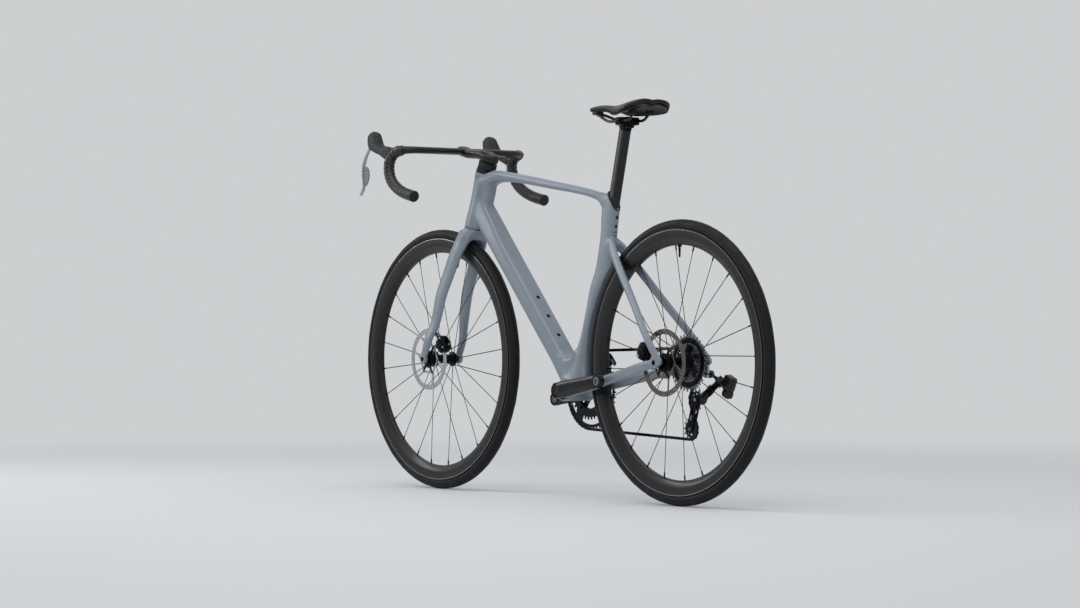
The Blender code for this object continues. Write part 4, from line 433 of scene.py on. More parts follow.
def wedge(inner, outer, first, last, twist=0.0, steps=8, corner=0.0):
    # A window between two radii; its sides lean by the twist
    near = mix(first, last, np.linspace(0, 1, steps))
    points = np.concatenate([onCircle(inner, near), onCircle(outer, near[::-1] + twist)])
    if not corner:
        return points
    radius = np.zeros(len(points))
    radius[[0, steps - 1, steps, 2 * steps - 1]] = corner
    return softened(points, radius + 1e-5)


def meshArrays(mesh):
    points = np.empty(len(mesh.vertices) * 3)
    mesh.vertices.foreach_get("co", points)
    edges = np.empty(len(mesh.edges) * 2, np.int32)
    mesh.edges.foreach_get("vertices", edges)
    normals = np.empty(len(mesh.vertices) * 3)
    mesh.vertex_normals.foreach_get("vector", normals)
    return points.reshape(-1, 3), edges.reshape(-1, 2), normals.reshape(-1, 3)


def neighbourMean(points, edges, degree):
    total = np.stack([np.bincount(edges[:, 0], points[edges[:, 1], k], len(points))
                      + np.bincount(edges[:, 1], points[edges[:, 0], k], len(points)) for k in range(3)], -1)
    return total / degree


def voxelSkin(shape, voxel):
    obj = helper(shape)
    remesh = obj.modifiers.new("skin", "REMESH")
    remesh.mode, remesh.voxel_size = "VOXEL", voxel
    return settled(obj)


def moulded(parts, look, space):
    # Closed parts fused into one skin of small quads, as a mould gives them, and kept out of a
    # space. Hollows between the parts are filled step by step: a point moves out where its
    # neighbours' mean lies outside it.
    mesh = voxelSkin(gathered(parts), look["voxel"])
    mesh = voxelSkin(carve(mesh, space), look["voxel"])
    points, edges, normals = meshArrays(mesh)
    degree = np.bincount(edges.ravel(), minlength=len(points))[:, None].astype(float)

    def evened(points):
        # Each round smooths and then swells back, so the tubes keep their size
        for _ in range(14):
            points = points + 0.50 * (neighbourMean(points, edges, degree) - points)
            points = points - 0.52 * (neighbourMean(points, edges, degree) - points)
        return points

    points = evened(points)
    for step in range(look["fillet"]):
        if step % 8 == 0:
            mesh.vertices.foreach_set("co", points.ravel())
            mesh.update()
            normals = meshArrays(mesh)[2]
        hollow = ((neighbourMean(points, edges, degree) - points) * normals).sum(1, keepdims=True)
        points = points + 0.5 * np.maximum(hollow, 0) * normals
    points = evened(points)
    mesh.vertices.foreach_set("co", points.ravel())
    mesh.update()
    return mesh


# Materials. Every pattern reads Object coordinates, which are metres here.

def hexColour(code):
    # sRGB hex to the linear colour that sockets take
    values = np.array([int(code[i:i + 2], 16) for i in (1, 3, 5)]) / 255
    linear = np.where(values <= 0.04045, values / 12.92, ((values + 0.055) / 1.055) ** 2.4)
    return (*linear.tolist(), 1.0)


def addNode(tree, kind, inputs=None, **settings):
    # Adds a node; an input is given a value, or another node's output to link
    node = tree.nodes.new("ShaderNode" + kind)
    for name, value in settings.items():
        setattr(node, name, value)
    for name, value in (inputs or {}).items():
        if isinstance(value, bpy.types.NodeSocket):
            tree.links.new(value, node.inputs[name])
        else:
            node.inputs[name].default_value = value
    return node


def startMaterial(name, **sockets):
    material = bpy.data.materials.new(name)
    material.use_nodes = True
    tree = material.node_tree
    shader = tree.nodes["Principled BSDF"]
    for socket, value in sockets.items():
        shader.inputs[socket.replace("_", " ")].default_value = value
    place = addNode(tree, "TexCoord").outputs["Object"]
    return material, tree, shader, place


def emboss(tree, shader, pattern, depth, under=None):
    # Raises the surface by a pattern, over another relief where one is given
    inputs = {"Height": pattern.outputs["Fac"], "Distance": depth}
    if under:
        inputs["Normal"] = under
    relief = addNode(tree, "Bump", inputs)
    tree.links.new(relief.outputs["Normal"], shader.inputs["Normal"])


def mottled(tree, shader, place, look):
    # Uneven colour, uneven gloss and a fine relief, each at its own size
    patches = addNode(tree, "TexNoise", {"Vector": place, "Scale": 1 / look["patch"], "Detail": 3.0})
    colour = addNode(tree, "Mix", {0: patches.outputs["Fac"], 6: hexColour(look["colour"]),
                                   7: hexColour(look["shade"])}, data_type="RGBA")
    tree.links.new(colour.outputs[2], shader.inputs["Base Color"])
    low, high = look["roughness"]
    gloss = addNode(tree, "MapRange", {"Value": patches.outputs["Fac"], "From Min": 0.3, "From Max": 0.7,
                                       "To Min": low, "To Max": high})
    tree.links.new(gloss.outputs["Result"], shader.inputs["Roughness"])
    grain = addNode(tree, "TexNoise", {"Vector": place, "Scale": 1 / look["grain"], "Detail": 2.0})
    emboss(tree, shader, grain, look["depth"])


def mixFinish(tree, shader, share, colours, roughness):
    # One share mixes two colours and two roughnesses
    first, second = colours
    colour = addNode(tree, "Mix", {0: share.outputs["Result"], 6: hexColour(first), 7: hexColour(second)},
                     data_type="RGBA")
    tree.links.new(colour.outputs[2], shader.inputs["Base Color"])
    low, high = roughness
    gloss = addNode(tree, "MapRange", {"Value": share.outputs["Result"], "To Min": low, "To Max": high})
    tree.links.new(gloss.outputs["Result"], shader.inputs["Roughness"])


def aroundAxle(tree, place, centre):
    # Place in the wheel's plane as seen from its axle, and the distance from it
    fromAxle = addNode(tree, "VectorMath", {0: place, 1: tuple(-centre)}, operation="ADD")
    flat = addNode(tree, "VectorMath", {0: fromAxle.outputs[0], 1: (1, 0, 1)}, operation="MULTIPLY")
    radius = addNode(tree, "VectorMath", {0: flat.outputs[0]}, operation="LENGTH")
    return flat, radius


# Satin two-pack paint with fine mica: a soft wide highlight, a faint sparkle of 0.45 mm flakes
# drawn coarser than real ones so that they show, and a slight orange peel.
paintLook = {"colour": "#7f8993", "shade": "#77818b", "patch": 60 * mm, "roughness": (0.33, 0.40),
             "grain": 1.6 * mm, "depth": 0.018 * mm, "flake": 0.45 * mm}


def satinPaint(name, look):
    material, tree, shader, place = startMaterial(name, Metallic=0.12, Coat_Weight=0.18, Coat_Roughness=0.30)
    mottled(tree, shader, place, look)
    colour = shader.inputs["Base Color"].links[0].from_socket
    flakes = addNode(tree, "TexVoronoi", {"Vector": place, "Scale": 1 / look["flake"]})
    bright = addNode(tree, "MapRange", {"Value": flakes.outputs["Color"], "From Min": 0.45, "From Max": 0.95,
                                        "To Min": 0.0, "To Max": 0.16})
    sparkle = addNode(tree, "Mix", {0: bright.outputs["Result"], 6: colour, 7: hexColour("#b9c1c9")},
                      data_type="RGBA")
    tree.links.new(sparkle.outputs[2], shader.inputs["Base Color"])
    return material


# Unidirectional carbon under clear lacquer: thin streaks that run round the rim, dark and glossier
# on the streaks, where a slightly warm grey painted sheen stands for the fibres catching the light.
rimLook = {"fibre": "#050606", "paintedSheen": "#1c1b1b", "streak": 0.9 * mm, "length": 70 * mm,
           "roughness": (0.42, 0.22), "depth": 0.02 * mm}


def rimCarbon(name, centre, look):
    material, tree, shader, place = startMaterial(name, Specular_IOR_Level=0.3, Coat_Weight=0.22,
                                                  Coat_Roughness=0.14)
    flat, radius = aroundAxle(tree, place, centre)
    way = addNode(tree, "VectorMath", {0: flat.outputs[0]}, operation="NORMALIZE")
    around = addNode(tree, "VectorMath", {0: way.outputs[0], "Scale": 0.30 / look["length"]},
                     operation="SCALE")
    across = addNode(tree, "Math", {0: radius.outputs["Value"], 1: 1 / look["streak"]}, operation="MULTIPLY")
    lift = addNode(tree, "CombineXYZ", {"Y": across.outputs[0]})
    thread = addNode(tree, "VectorMath", {0: around.outputs[0], 1: lift.outputs[0]}, operation="ADD")
    streaks = addNode(tree, "TexNoise", {"Vector": thread.outputs[0], "Scale": 1.0, "Detail": 4.0,
                                         "Roughness": 0.65})
    drift = addNode(tree, "TexNoise", {"Vector": thread.outputs[0], "Scale": 0.16, "Detail": 2.0})
    both = addNode(tree, "Math", {0: streaks.outputs["Fac"], 1: drift.outputs["Fac"]}, operation="MULTIPLY")
    # The streak mask mixes the fibre colour towards the painted sheen colour and lowers the roughness there
    share = addNode(tree, "MapRange", {"Value": both.outputs[0], "From Min": 0.16, "From Max": 0.40})
    mixFinish(tree, shader, share, (look["fibre"], look["paintedSheen"]), look["roughness"])
    emboss(tree, shader, streaks, look["depth"])
    return material


# Turned or ground metal: fine rings about its own axle
def ringedMetal(name, centre, look):
    material, tree, shader, place = startMaterial(name, Metallic=1.0)
    radius = aroundAxle(tree, place, centre)[1]
    rings = addNode(tree, "TexNoise", {"W": radius.outputs["Value"], "Scale": 1 / look["ring"],
                                       "Detail": 3.0}, noise_dimensions="1D")
    patches = addNode(tree, "TexNoise", {"Vector": place, "Scale": 1 / look["patch"], "Detail": 3.0})
    both = addNode(tree, "Mix", {0: 0.45, 2: rings.outputs["Fac"], 3: patches.outputs["Fac"]})
    share = addNode(tree, "MapRange", {"Value": both.outputs[0], "From Min": 0.35, "From Max": 0.65})
    mixFinish(tree, shader, share, (look["colour"], look["shade"]), look["roughness"])
    emboss(tree, shader, rings, look["depth"])
    return material


# Plain finishes. Patch, grain and depth are sizes of the real surface.
def plainFinish(name, look, **sockets):
    material, tree, shader, place = startMaterial(name, **sockets)
    mottled(tree, shader, place, look)
    return material


framePaint = satinPaint("satin_grey_blue_paint", paintLook)
rimFinish = [rimCarbon("lacquered_carbon_rim_" + word, axle, rimLook)
             for word, axle in (("front", frontAxle), ("rear", rearAxle))]

# Moulded carbon in satin lacquer: nearly black, a tight soft highlight
mouldedCarbon = plainFinish("satin_lacquered_carbon", {
    "colour": "#0b0c0d", "shade": "#111214", "patch": 9 * mm, "roughness": (0.28, 0.36),
    "grain": 0.9 * mm, "depth": 0.006 * mm}, Specular_IOR_Level=0.4)
# Forged aluminium in gloss black paint: a sharp highlight over a slightly uneven forging
glossCrank = plainFinish("gloss_black_forged_aluminium", {
    "colour": "#08090a", "shade": "#0e0f11", "patch": 14 * mm, "roughness": (0.20, 0.27),
    "grain": 3.0 * mm, "depth": 0.01 * mm}, Specular_IOR_Level=0.22, Coat_Weight=0.12, Coat_Roughness=0.06)
# Bead-blasted, black anodised aluminium: a metal glint with a dry, even grain
blackAlloy = plainFinish("black_anodised_aluminium", {
    "colour": "#151618", "shade": "#1d1e21", "patch": 6 * mm, "roughness": (0.30, 0.40),
    "grain": 0.35 * mm, "depth": 0.008 * mm}, Metallic=1.0)
# Polished and lacquered aluminium, faintly scratched
brightAlloy = plainFinish("polished_aluminium", {
    "colour": "#c4c7cb", "shade": "#a4a8ad", "patch": 5 * mm, "roughness": (0.16, 0.30),
    "grain": 0.3 * mm, "depth": 0.004 * mm}, Metallic=1.0)
# Stainless cap screws and pins
boltSteel = plainFinish("stainless_bolt_steel", {
    "colour": "#a9abae", "shade": "#84878b", "patch": 2 * mm, "roughness": (0.22, 0.34),
    "grain": 0.25 * mm, "depth": 0.004 * mm}, Metallic=1.0)
# Nickel-plated cage steel, satin grey
darkSteel = plainFinish("satin_plated_cage_steel", {
    "colour": "#5e6166", "shade": "#484b50", "patch": 5 * mm, "roughness": (0.26, 0.38),
    "grain": 0.4 * mm, "depth": 0.005 * mm}, Metallic=1.0)
# Coated chromoly rails
railSteel = plainFinish("dark_coated_chromoly", {
    "colour": "#3a3c3f", "shade": "#2a2b2e", "patch": 5 * mm, "roughness": (0.22, 0.32),
    "grain": 0.4 * mm, "depth": 0.005 * mm}, Metallic=1.0)
# Case-hardened chain steel with a blue-black oxide
chainSteel = plainFinish("blue_black_chain_steel", {
    "colour": "#1a1e2b", "shade": "#2b3043", "patch": 7 * mm, "roughness": (0.22, 0.36),
    "grain": 0.4 * mm, "depth": 0.006 * mm}, Metallic=1.0)
# Injected tyre rubber: matt with a faint bloom
tyreRubber = plainFinish("tyre_rubber", {
    "colour": "#0c0d0e", "shade": "#121315", "patch": 22 * mm, "roughness": (0.46, 0.60),
    "grain": 0.5 * mm, "depth": 0.03 * mm}, Specular_IOR_Level=0.22)
# The tread's roughened patches: dry and a little paler
treadRubber = plainFinish("roughened_tread_rubber", {
    "colour": "#191a1d", "shade": "#232528", "patch": 6 * mm, "roughness": (0.74, 0.88),
    "grain": 0.8 * mm, "depth": 0.15 * mm}, Specular_IOR_Level=0.2)
# Silicone hood rubber: dark grey, soft and dusty, with a 0.7 mm moulded stipple and level grip ribs
hoodLook = {"colour": "#1b1c1f", "shade": "#242629", "patch": 16 * mm, "roughness": (0.46, 0.60),
            "grain": 0.7 * mm, "depth": 0.05 * mm, "rib": 4.6 * mm, "ribDepth": 0.5 * mm}


def ribbedRubber(name, look, **sockets):
    material, tree, shader, place = startMaterial(name, **sockets)
    mottled(tree, shader, place, look)
    grain = shader.inputs["Normal"].links[0].from_socket
    # A wave of period 2 pi / (20 scale) up the Z axis, so scale = pi / (10 rib)
    ribs = addNode(tree, "TexWave", {"Vector": place, "Scale": math.pi / (10 * look["rib"])},
                   bands_direction="Z")
    emboss(tree, shader, ribs, look["ribDepth"], grain)
    return material


hoodRubber = ribbedRubber("silicone_hood_rubber", hoodLook, Specular_IOR_Level=0.35)
# Polyurethane bar tape: smooth skin with a waxy shine
tapeSkin = plainFinish("polyurethane_bar_tape", {
    "colour": "#0a0b0c", "shade": "#111214", "patch": 12 * mm, "roughness": (0.30, 0.38),
    "grain": 1.1 * mm, "depth": 0.003 * mm}, Specular_IOR_Level=0.6)
# Glass-filled nylon: fine spark-eroded grain
blackNylon = plainFinish("glass_filled_nylon", {
    "colour": "#0d0e0f", "shade": "#141517", "patch": 10 * mm, "roughness": (0.38, 0.50),
    "grain": 0.5 * mm, "depth": 0.03 * mm}, Specular_IOR_Level=0.35)
# Gloss-moulded ABS of the shifter's and derailleur's covers
glossPlastic = plainFinish("gloss_moulded_plastic", {
    "colour": "#0c0d0e", "shade": "#121315", "patch": 12 * mm, "roughness": (0.14, 0.22),
    "grain": 2.5 * mm, "depth": 0.01 * mm}, Specular_IOR_Level=0.4)
# Thermoset rubber seals and plugs
sealRubber = plainFinish("moulded_seal_rubber", {
    "colour": "#0f1012", "shade": "#17181a", "patch": 8 * mm, "roughness": (0.46, 0.58),
    "grain": 0.6 * mm, "depth": 0.02 * mm})
# Microfibre saddle skin: a fine 1 mm leather grain under a soft highlight
saddleSkin = plainFinish("saddle_microfibre", {
    "colour": "#0c0d0e", "shade": "#131416", "patch": 18 * mm, "roughness": (0.34, 0.46),
    "grain": 1.0 * mm, "depth": 0.05 * mm}, Specular_IOR_Level=0.4)
# Sintered brake compound
padCompound = plainFinish("sintered_pad_compound", {
    "colour": "#5a4636", "shade": "#3b2f27", "patch": 1.2 * mm, "roughness": (0.75, 0.9),
    "grain": 0.5 * mm, "depth": 0.06 * mm})

# Stainless brake discs: ground rings, the rear one browned by heat
discLook = {"colour": "#cfd1d3", "shade": "#9fa2a6", "ring": 0.35 * mm, "patch": 6 * mm,
            "roughness": (0.24, 0.38), "depth": 0.004 * mm}
warmDiscLook = dict(discLook, colour="#8a837a", shade="#575049")
frontDisc = ringedMetal("ground_stainless_disc", frontAxle, discLook)
rearDisc = ringedMetal("heat_browned_stainless_disc", rearAxle, warmDiscLook)
# Nickel-plated cogs with a satin, lightly worn face
cogSteel = ringedMetal("nickel_plated_cog_steel", rearAxle, {
    "colour": "#9b9da1", "shade": "#5c5f64", "ring": 0.5 * mm, "patch": 4 * mm,
    "roughness": (0.22, 0.40), "depth": 0.01 * mm})
darkCogSteel = ringedMetal("black_coated_cog_steel", rearAxle, {
    "colour": "#17181a", "shade": "#232528", "ring": 0.5 * mm, "patch": 4 * mm,
    "roughness": (0.30, 0.46), "depth": 0.01 * mm})
# Turned black chainrings
ringAlloy = ringedMetal("turned_black_chainring", bracket, {
    "colour": "#17181b", "shade": "#2a2d33", "ring": 0.6 * mm, "patch": 10 * mm,
    "roughness": (0.26, 0.40), "depth": 0.012 * mm})
print("materials ready")


# Frame: one moulded shell, cut where the wheel, post, bearings and axle go

def plainBox(centre, size, axes=(forward, left, up)):
    signs = np.array([[a, b, c] for a in (-1, 1) for b in (-1, 1) for c in (-1, 1)]) / 2
    faces = [[0, 1, 3, 2], [4, 6, 7, 5], [0, 4, 5, 1], [2, 3, 7, 6], [0, 2, 6, 4], [1, 5, 7, 3]]
    return centre + (signs * np.array(size)) @ np.array(axes), faces


def flatTo(vector):
    return (vector[0], vector[2])


frameLook = {
    "downWidth": 54 * mm, "downDepth": 47 * mm,
    "headLow": 26.5 * mm, "headTop": 23 * mm,
    "topSlope": 9.1, "topCrest": 69 * mm, "topDepth": 15.5 * mm, "topWidth": 37 * mm,
    "seatWidth": 25 * mm, "postDepth": 35 * mm, "postWidth": 20 * mm,
    "stayDepth": 22 * mm, "stayWidth": 13 * mm, "chainstayDepth": 25 * mm, "chainstayWidth": 15 * mm,
    "hubWidth": 142 * mm, "dropout": 8.5 * mm, "dropoutRadius": 15 * mm, "heel": 10 * mm,
    "shellWidth": 86.5 * mm, "shellRadius": 26.5 * mm, "cupBore": 21.1 * mm,
    "tyreRoom": 6.5 * mm, "tyreWidth": 28.5 * mm,
    "webCentre": (0.0098, 0.1186), "webRadius": 34 * mm, "webWidth": 56 * mm,
    "bearing": 7.0 * mm, "bearingRadius": 24.1 * mm, "upperRadius": 21.1 * mm, "steererBore": 17.3 * mm,
    "axleBore": 6.6 * mm, "firstBoss": 0.548, "bossPitch": 64 * mm,
    "voxel": 2.4 * mm, "fillet": 70,
}

downTop = steer(headLow + 0.45 * layout["headTube"])
downFoot = bracket + spot(-0.020, 0, 0)
downWay = unit(downFoot - downTop)
downOut = squareTo(downWay)    # down and forward, square to the tube
downLength = np.linalg.norm(downFoot - downTop)


def downCentre(share):
    return mix(downTop, downFoot, share)


def downTube(look):
    plan = ((0.02, 1.30, 0.74), (0.12, 1.22, 0.84), (0.22, 1.06, 0.96), (0.34, 1.0, 1.0), (0.80, 1.0, 1.0),
            (0.92, 1.10, 1.10), (1.00, 1.15, 1.20))
    sections = [(downCentre(share), downOut * look["downDepth"] / 2 * deep,
                 left * look["downWidth"] / 2 * wide, 4.2) for share, deep, wide in plan]
    return lofted(sections, 70, 44)


def headTube(look):
    low, top = look["headLow"], look["headTop"]

    def level(share, front, rear, half, power=2.5):
        along = headLow + share * layout["headTube"]
        return steer(along, (front - rear) / 2), (front + rear) / 2 * steerForward, half * left, power

    front = lofted([
        level(0.00, low - 0.001, low + 0.002, low, 2.1), level(0.14, low - 0.002, low, low - 0.002),
        level(0.40, top - 0.001, top + 0.006, top - 0.001),
        level(0.84, top - 0.001, top + 0.004, top - 0.002), level(1.00, top, top + 0.002, top, 2.2)], 40, 44)
    # A narrower web joins it to the tubes behind, so each side has a shallow hollow
    web = lofted([
        level(0.06, 0.0, low + 0.010, low * 0.62, 3.0), level(0.40, 0.0, top + 0.026, top * 0.60, 3.4),
        level(0.84, 0.0, top + 0.028, top * 0.66, 3.4),
        level(0.98, 0.0, top + 0.018, top * 0.85, 3.0)], 40, 44)
    return [front, web]


def topTube(look):
    headX = steer(headTop)[0]
    seatX = post(layout["seatTube"] + 0.010)[0]
    wide, deep, seatWide = look["topWidth"], look["topDepth"], look["seatWidth"]
    slope = math.tan(math.radians(look["topSlope"]))

    def section(x, depth, width, lift=0.0):
        height = steer(headTop)[2] - max(0.0, headX - look["topCrest"] - x) * slope + lift
        return (x, height), (x, height - depth), width / 2

    plan = [section(headX - 0.010, 0.038, wide * 1.15, -0.0045),
            section(headX - 0.040, 0.036, wide * 1.18, 0.0010),
            section(headX - look["topCrest"], deep * 2.0, wide * 1.15, 0.0020),
            section(headX - 0.110, deep * 1.65, wide * 1.08, 0.0030),
            section(headX - 0.170, deep * 1.42, wide, 0.0034),
            section(mix(headX, seatX, 0.55), deep * 1.30, wide * 0.92, 0.0034),
            section(seatX + 0.105, deep * 1.15, wide * 0.82, 0.0018),
            section(seatX + 0.075, deep * 1.20, wide * 0.76),
            section(seatX + 0.052, deep * 1.65, seatWide), section(seatX + 0.038, deep * 2.6, seatWide),
            section(seatX + 0.010, deep * 2.9, seatWide)]
    return lofted(sideSections(plan, power=2.7), 90, 40)


def seatTube(look):
    wide = look["seatWidth"] / 2
    clear = layout["wheelRadius"] + look["tyreRoom"]
    front, rear = look["postDepth"] / 2 + 0.0045, look["postDepth"] / 2 + 0.0030
    collar = layout["seatTube"]

    def upper(along, ahead=0.0, behind=0.0):
        return flatTo(post(along, front + ahead)), flatTo(post(along, -rear - behind)), wide

    def lower(height, depth, half):
        # Below the stays the tube follows the tyre
        z = bracket[2] + height
        x = rearAxle[0] + math.sqrt(clear ** 2 - (z - rearAxle[2]) ** 2) - 0.0015
        return (x + depth, z), (x, z), half

    plan = [upper(collar + 0.024), upper(collar + 0.010, 0.004), upper(collar - 0.008, 0.011),
            upper(collar - 0.030, 0.013), upper(collar - 0.080, 0.004, 0.004),
            upper(collar - 0.120, 0.002, 0.012)]
    plan += [lower(0.300, 0.060, wide), lower(0.250, 0.045, wide * 1.10), lower(0.195, 0.031, wide * 1.30),
             lower(0.140, 0.029, wide * 1.55), lower(0.095, 0.044, wide * 1.85),
             lower(0.050, 0.075, wide * 2.3), lower(0.010, 0.085, wide * 2.7)]
    return lofted(sideSections(plan, power=3.0), 100, 40)


def seatStay(look):
    join = post(layout["seatTube"] - 0.086, -0.006)
    wrist = rearAxle + spot(-0.013, look["hubWidth"] / 2 + look["dropout"] / 2 + 0.0006, 0.006)
    way = wrist - join
    across = unit(squareTo(way))
    plan = ((0.00, 0.004, 0.72, 0.75), (0.10, 0.016, 1.25, 0.95), (0.22, 0.026, 1.10, 1.0),
            (0.55, 0.049, 0.95, 1.0), (0.90, 0.0735, 0.95, 0.80), (1.00, wrist[1], 1.05, 0.62))
    sections = []
    for share, aside, deep, wide in plan:
        centre = mix(join, wrist, share)
        centre[1] = aside
        sections.append((centre, across * look["stayDepth"] / 2 * deep,
                         left * look["stayWidth"] / 2 * wide, 2.5))
    return lofted(sections, 70, 28)


def chainStay(look):
    start, end = bracket + spot(-0.020, 0, 0), rearAxle + spot(0.004, 0, -0.002)
    way = unit(end - start)
    rise = squareTo(way)
    plan = ((0.00, 0.0255, 1.20, 1.15), (0.15, 0.0265, 1.15, 1.00), (0.26, 0.0285, 1.10, 0.95),
            (0.36, 0.0360, 1.04, 1.00), (0.62, 0.0540, 0.98, 1.00), (0.92, 0.0755, 0.96, 0.68),
            (1.00, look["hubWidth"] / 2 + look["dropout"] / 2 + 0.0006, 0.92, 0.54))
    sections = []
    for share, aside, deep, wide in plan:
        centre = mix(start, end, share)
        centre[1] = aside
        sections.append((centre, rise * look["chainstayDepth"] / 2 * deep,
                         left * look["chainstayWidth"] / 2 * wide, 2.7))
    return lofted(sections, 70, 28)


def bracketWeb(look):
    # Web that rounds the bottom of the V: an arc between seat tube and down tube, closed below
    sweep = np.linspace(math.radians(-37), math.radians(-153), 14)
    bottom = look["webCentre"] + onCircle(look["webRadius"], sweep)
    outline = np.vstack([[(0.040, 0.090)], bottom, [(-0.027, 0.098), (-0.022, 0.045), (0.020, 0.045)]])
    return plate([outline[::-1]], look["webWidth"], bracket, 0.010)


def bossPlace(index):
    # On the down tube's centre line, beside each of the three bottle bosses
    return downCentre(frameLook["firstBoss"] + index * frameLook["bossPitch"] / downLength)


def wheelSpace(axle, radius, half):
    # The room that a wheel needs between the stays or the fork blades, with a rounded edge
    edge = 0.010
    corner = np.linspace(0, math.pi / 2, 6)
    side = np.stack([radius - edge + edge * np.sin(corner), half - edge + edge * np.cos(corner)], -1)
    profile = np.vstack([[[0.02, half]], side, side[::-1] * [1, -1], [[0.02, -half]]])
    return spun(profile, axle, left, 160)


def postSection(along, grow=0.0):
    return (post(along), (frameLook["postDepth"] / 2 + grow) * postForward,
            (frameLook["postWidth"] / 2 + grow) * left, 2.6)


def rearFace(below, behind):
    # A point on the seat tube's rear face: below its top, and behind the post
    return post(layout["seatTube"] - below, -frameLook["postDepth"] / 2 - behind)


collarRear = rearFace(0.020, 0.004)
collarFront = post(layout["seatTube"] + 0.018, frameLook["postDepth"] / 2 + 0.004)
collarWay = unit(collarFront - collarRear)
collarUp = squareTo(collarWay)
collarMiddle = (collarRear + collarFront) / 2


def makeFrame(look):
    inner = look["hubWidth"] / 2 + 0.0003
    dropout = rod(rearAxle + inner * left, rearAxle + (inner + look["dropout"]) * left,
                  look["dropoutRadius"], 40)
    # The seatstay lands behind the axle, in a rounded heel of its own
    heel = rod(rearAxle + spot(-0.015, inner, 0.003), rearAxle + spot(-0.015, inner + look["dropout"], 0.003),
               look["heel"], 36)
    shell = rod(bracket - look["shellWidth"] / 2 * left, bracket + look["shellWidth"] / 2 * left,
                look["shellRadius"], 48)
    stays = [seatStay(look), chainStay(look), dropout, heel]
    parts = [downTube(look), *headTube(look), topTube(look), seatTube(look), bracketWeb(look), shell]
    parts += stays + [mirroredPart(part) for part in stays]
    space = wheelSpace(rearAxle, layout["wheelRadius"] + look["tyreRoom"], look["tyreWidth"] / 2 + 0.0045)
    mesh = moulded(parts, look, space)
    bearing = look["bearing"]
    cuts = [rod(bracket - 0.08 * left, bracket + 0.08 * left, look["cupBore"], 48),
            plainBox(bracket + 0.0633 * left, (0.09, 0.04, 0.09)),
            plainBox(bracket - 0.0633 * left, (0.09, 0.04, 0.09)),
            rod(steer(headLow - 0.03), steer(headLow + bearing), look["bearingRadius"], 48),
            rod(steer(headLow - 0.01), steer(headTop + 0.02), look["steererBore"], 32),
            rod(steer(headTop - bearing), steer(headTop + 0.03), look["upperRadius"], 48),
            plainBox(steer(headLow - 0.015), (0.12, 0.12, 0.03), (steerForward, left, steerUp)),
            rod(steer(headTop), steer(headTop + 0.06), 0.0240, 48),
            plainBox(collarMiddle + 0.03 * collarUp, (0.12, 0.08, 0.06), (collarWay, left, collarUp)),
            lofted([postSection(layout["seatTube"] - 0.170, 0.0003),
                    postSection(layout["seatTube"] + 0.060, 0.0003)], 4, 40),
            rod(rearAxle - 0.09 * left, rearAxle + 0.09 * left, look["axleBore"], 28)]
    # Seam of the painted head cap, 12 mm under the bearing cone
    seam = wedge(0.0197, 0.050, math.radians(-105), math.radians(105), steps=40)
    cuts.append(plate([seam], 1.5 * mm, steer(headTop - 0.012), axes=(steerForward, left, steerUp)))
    # Two short slots under the plugs on the seat tube's rear face
    for along in (0.070, 0.079):
        cuts.append(block(rearFace(along, 0.0045), (0.0050, 0.0085, 0.0022), (postForward, left, postUp)))
    for index in range(3):
        place = bossPlace(index) - downOut * look["downDepth"] / 2
        cuts.append(rod(place - 0.008 * downOut, place + 0.008 * downOut, 0.0036, 24))
    mesh = carve(mesh, *cuts)
    dress("framePaintwork", mesh, framePaint, "frame", ["frame"], sharp=42)


makeFrame(frameLook)
print("frame moulded")


# Small things on the frame: bottle bosses, plugs, the seat cover and its bolt

def bossRing(centre, axis, radius, bore, height):
    edge = 0.25 * height
    profile = [(bore, -0.004), (bore, height - edge), (bore + edge, height), (radius - edge, height),
               (radius, height - edge), (radius, -0.0006)]
    return spunRing(profile, centre, axis, 32)


def roundPlug(centre, axis, radius, height, dimple=0.4):
    profile = [(1e-5, height * (1 - dimple)), (radius * 0.55, height * (1 - 0.8 * dimple)),
               (radius * 0.72, height), (radius * 0.94, height * 0.9), (radius, height * 0.4),
               (radius, -0.002)]
    return spun(profile, centre, axis, 28)


fittingLook = {"boss": 5.2 * mm, "bossBore": 2.2 * mm, "bossHeight": 0.9 * mm, "plug": 4.3 * mm}

bosses = []
for index in range(3):
    place = bossPlace(index) - downOut * (frameLook["downDepth"] / 2 - 0.0004)
    bosses.append(bossRing(place, -downOut, fittingLook["boss"], fittingLook["bossBore"],
                           fittingLook["bossHeight"]))
dress("bottleBosses", gathered(bosses), blackAlloy, "frame")

seatCoverLook = {"front": 20.5 * mm, "rear": 19.7 * mm, "half": 11.9 * mm, "thick": 4.0 * mm}


def makeSeatCover(look):
    plan = [(flatTo(post(along, look["front"])), flatTo(post(along, -look["rear"])), look["half"])
            for along in (layout["seatTube"] - 0.030, layout["seatTube"] + 0.034)]
    sleeve = newMesh("cover", lofted(sideSections(plan, power=3.2), 4, 64))
    slab = plainBox(collarMiddle + collarUp * (0.0003 + look["thick"] / 2), (0.2, 0.1, look["thick"]),
                    (collarWay, left, collarUp))
    cover = carve(sleeve, slab, operation="INTERSECT")
    bore = lofted([postSection(layout["seatTube"] - 0.060, 0.0003),
                   postSection(layout["seatTube"] + 0.060, 0.0003)], 4, 48)
    dress("seatClampCover", carve(cover, bore), sealRubber, "frame", ["seat_clamp_cover"],
          bevel=0.0008)


makeSeatCover(seatCoverLook)
wedgeBolt = boltHead(rearFace(0.0135, 0.0010), unit(postUp - 0.5 * postForward), 0.0034, 0.0016)
dress("seatWedgeBolt", wedgeBolt, boltSteel, "frame")
plugs = [roundPlug(rearFace(below, behind), unit(-postForward + 0.03 * postUp), fittingLook["plug"], 1.0 * mm)
         for below, behind in ((0.034, 0.0033), (0.056, 0.0042))]
dress("seatTubePlugs", gathered(plugs), sealRubber, "frame")

cupLook = {"bore": 15.1 * mm, "radius": 20.5 * mm, "lip": 22.4 * mm, "face": 43.55 * mm,
           "lipHeight": 1.4 * mm}


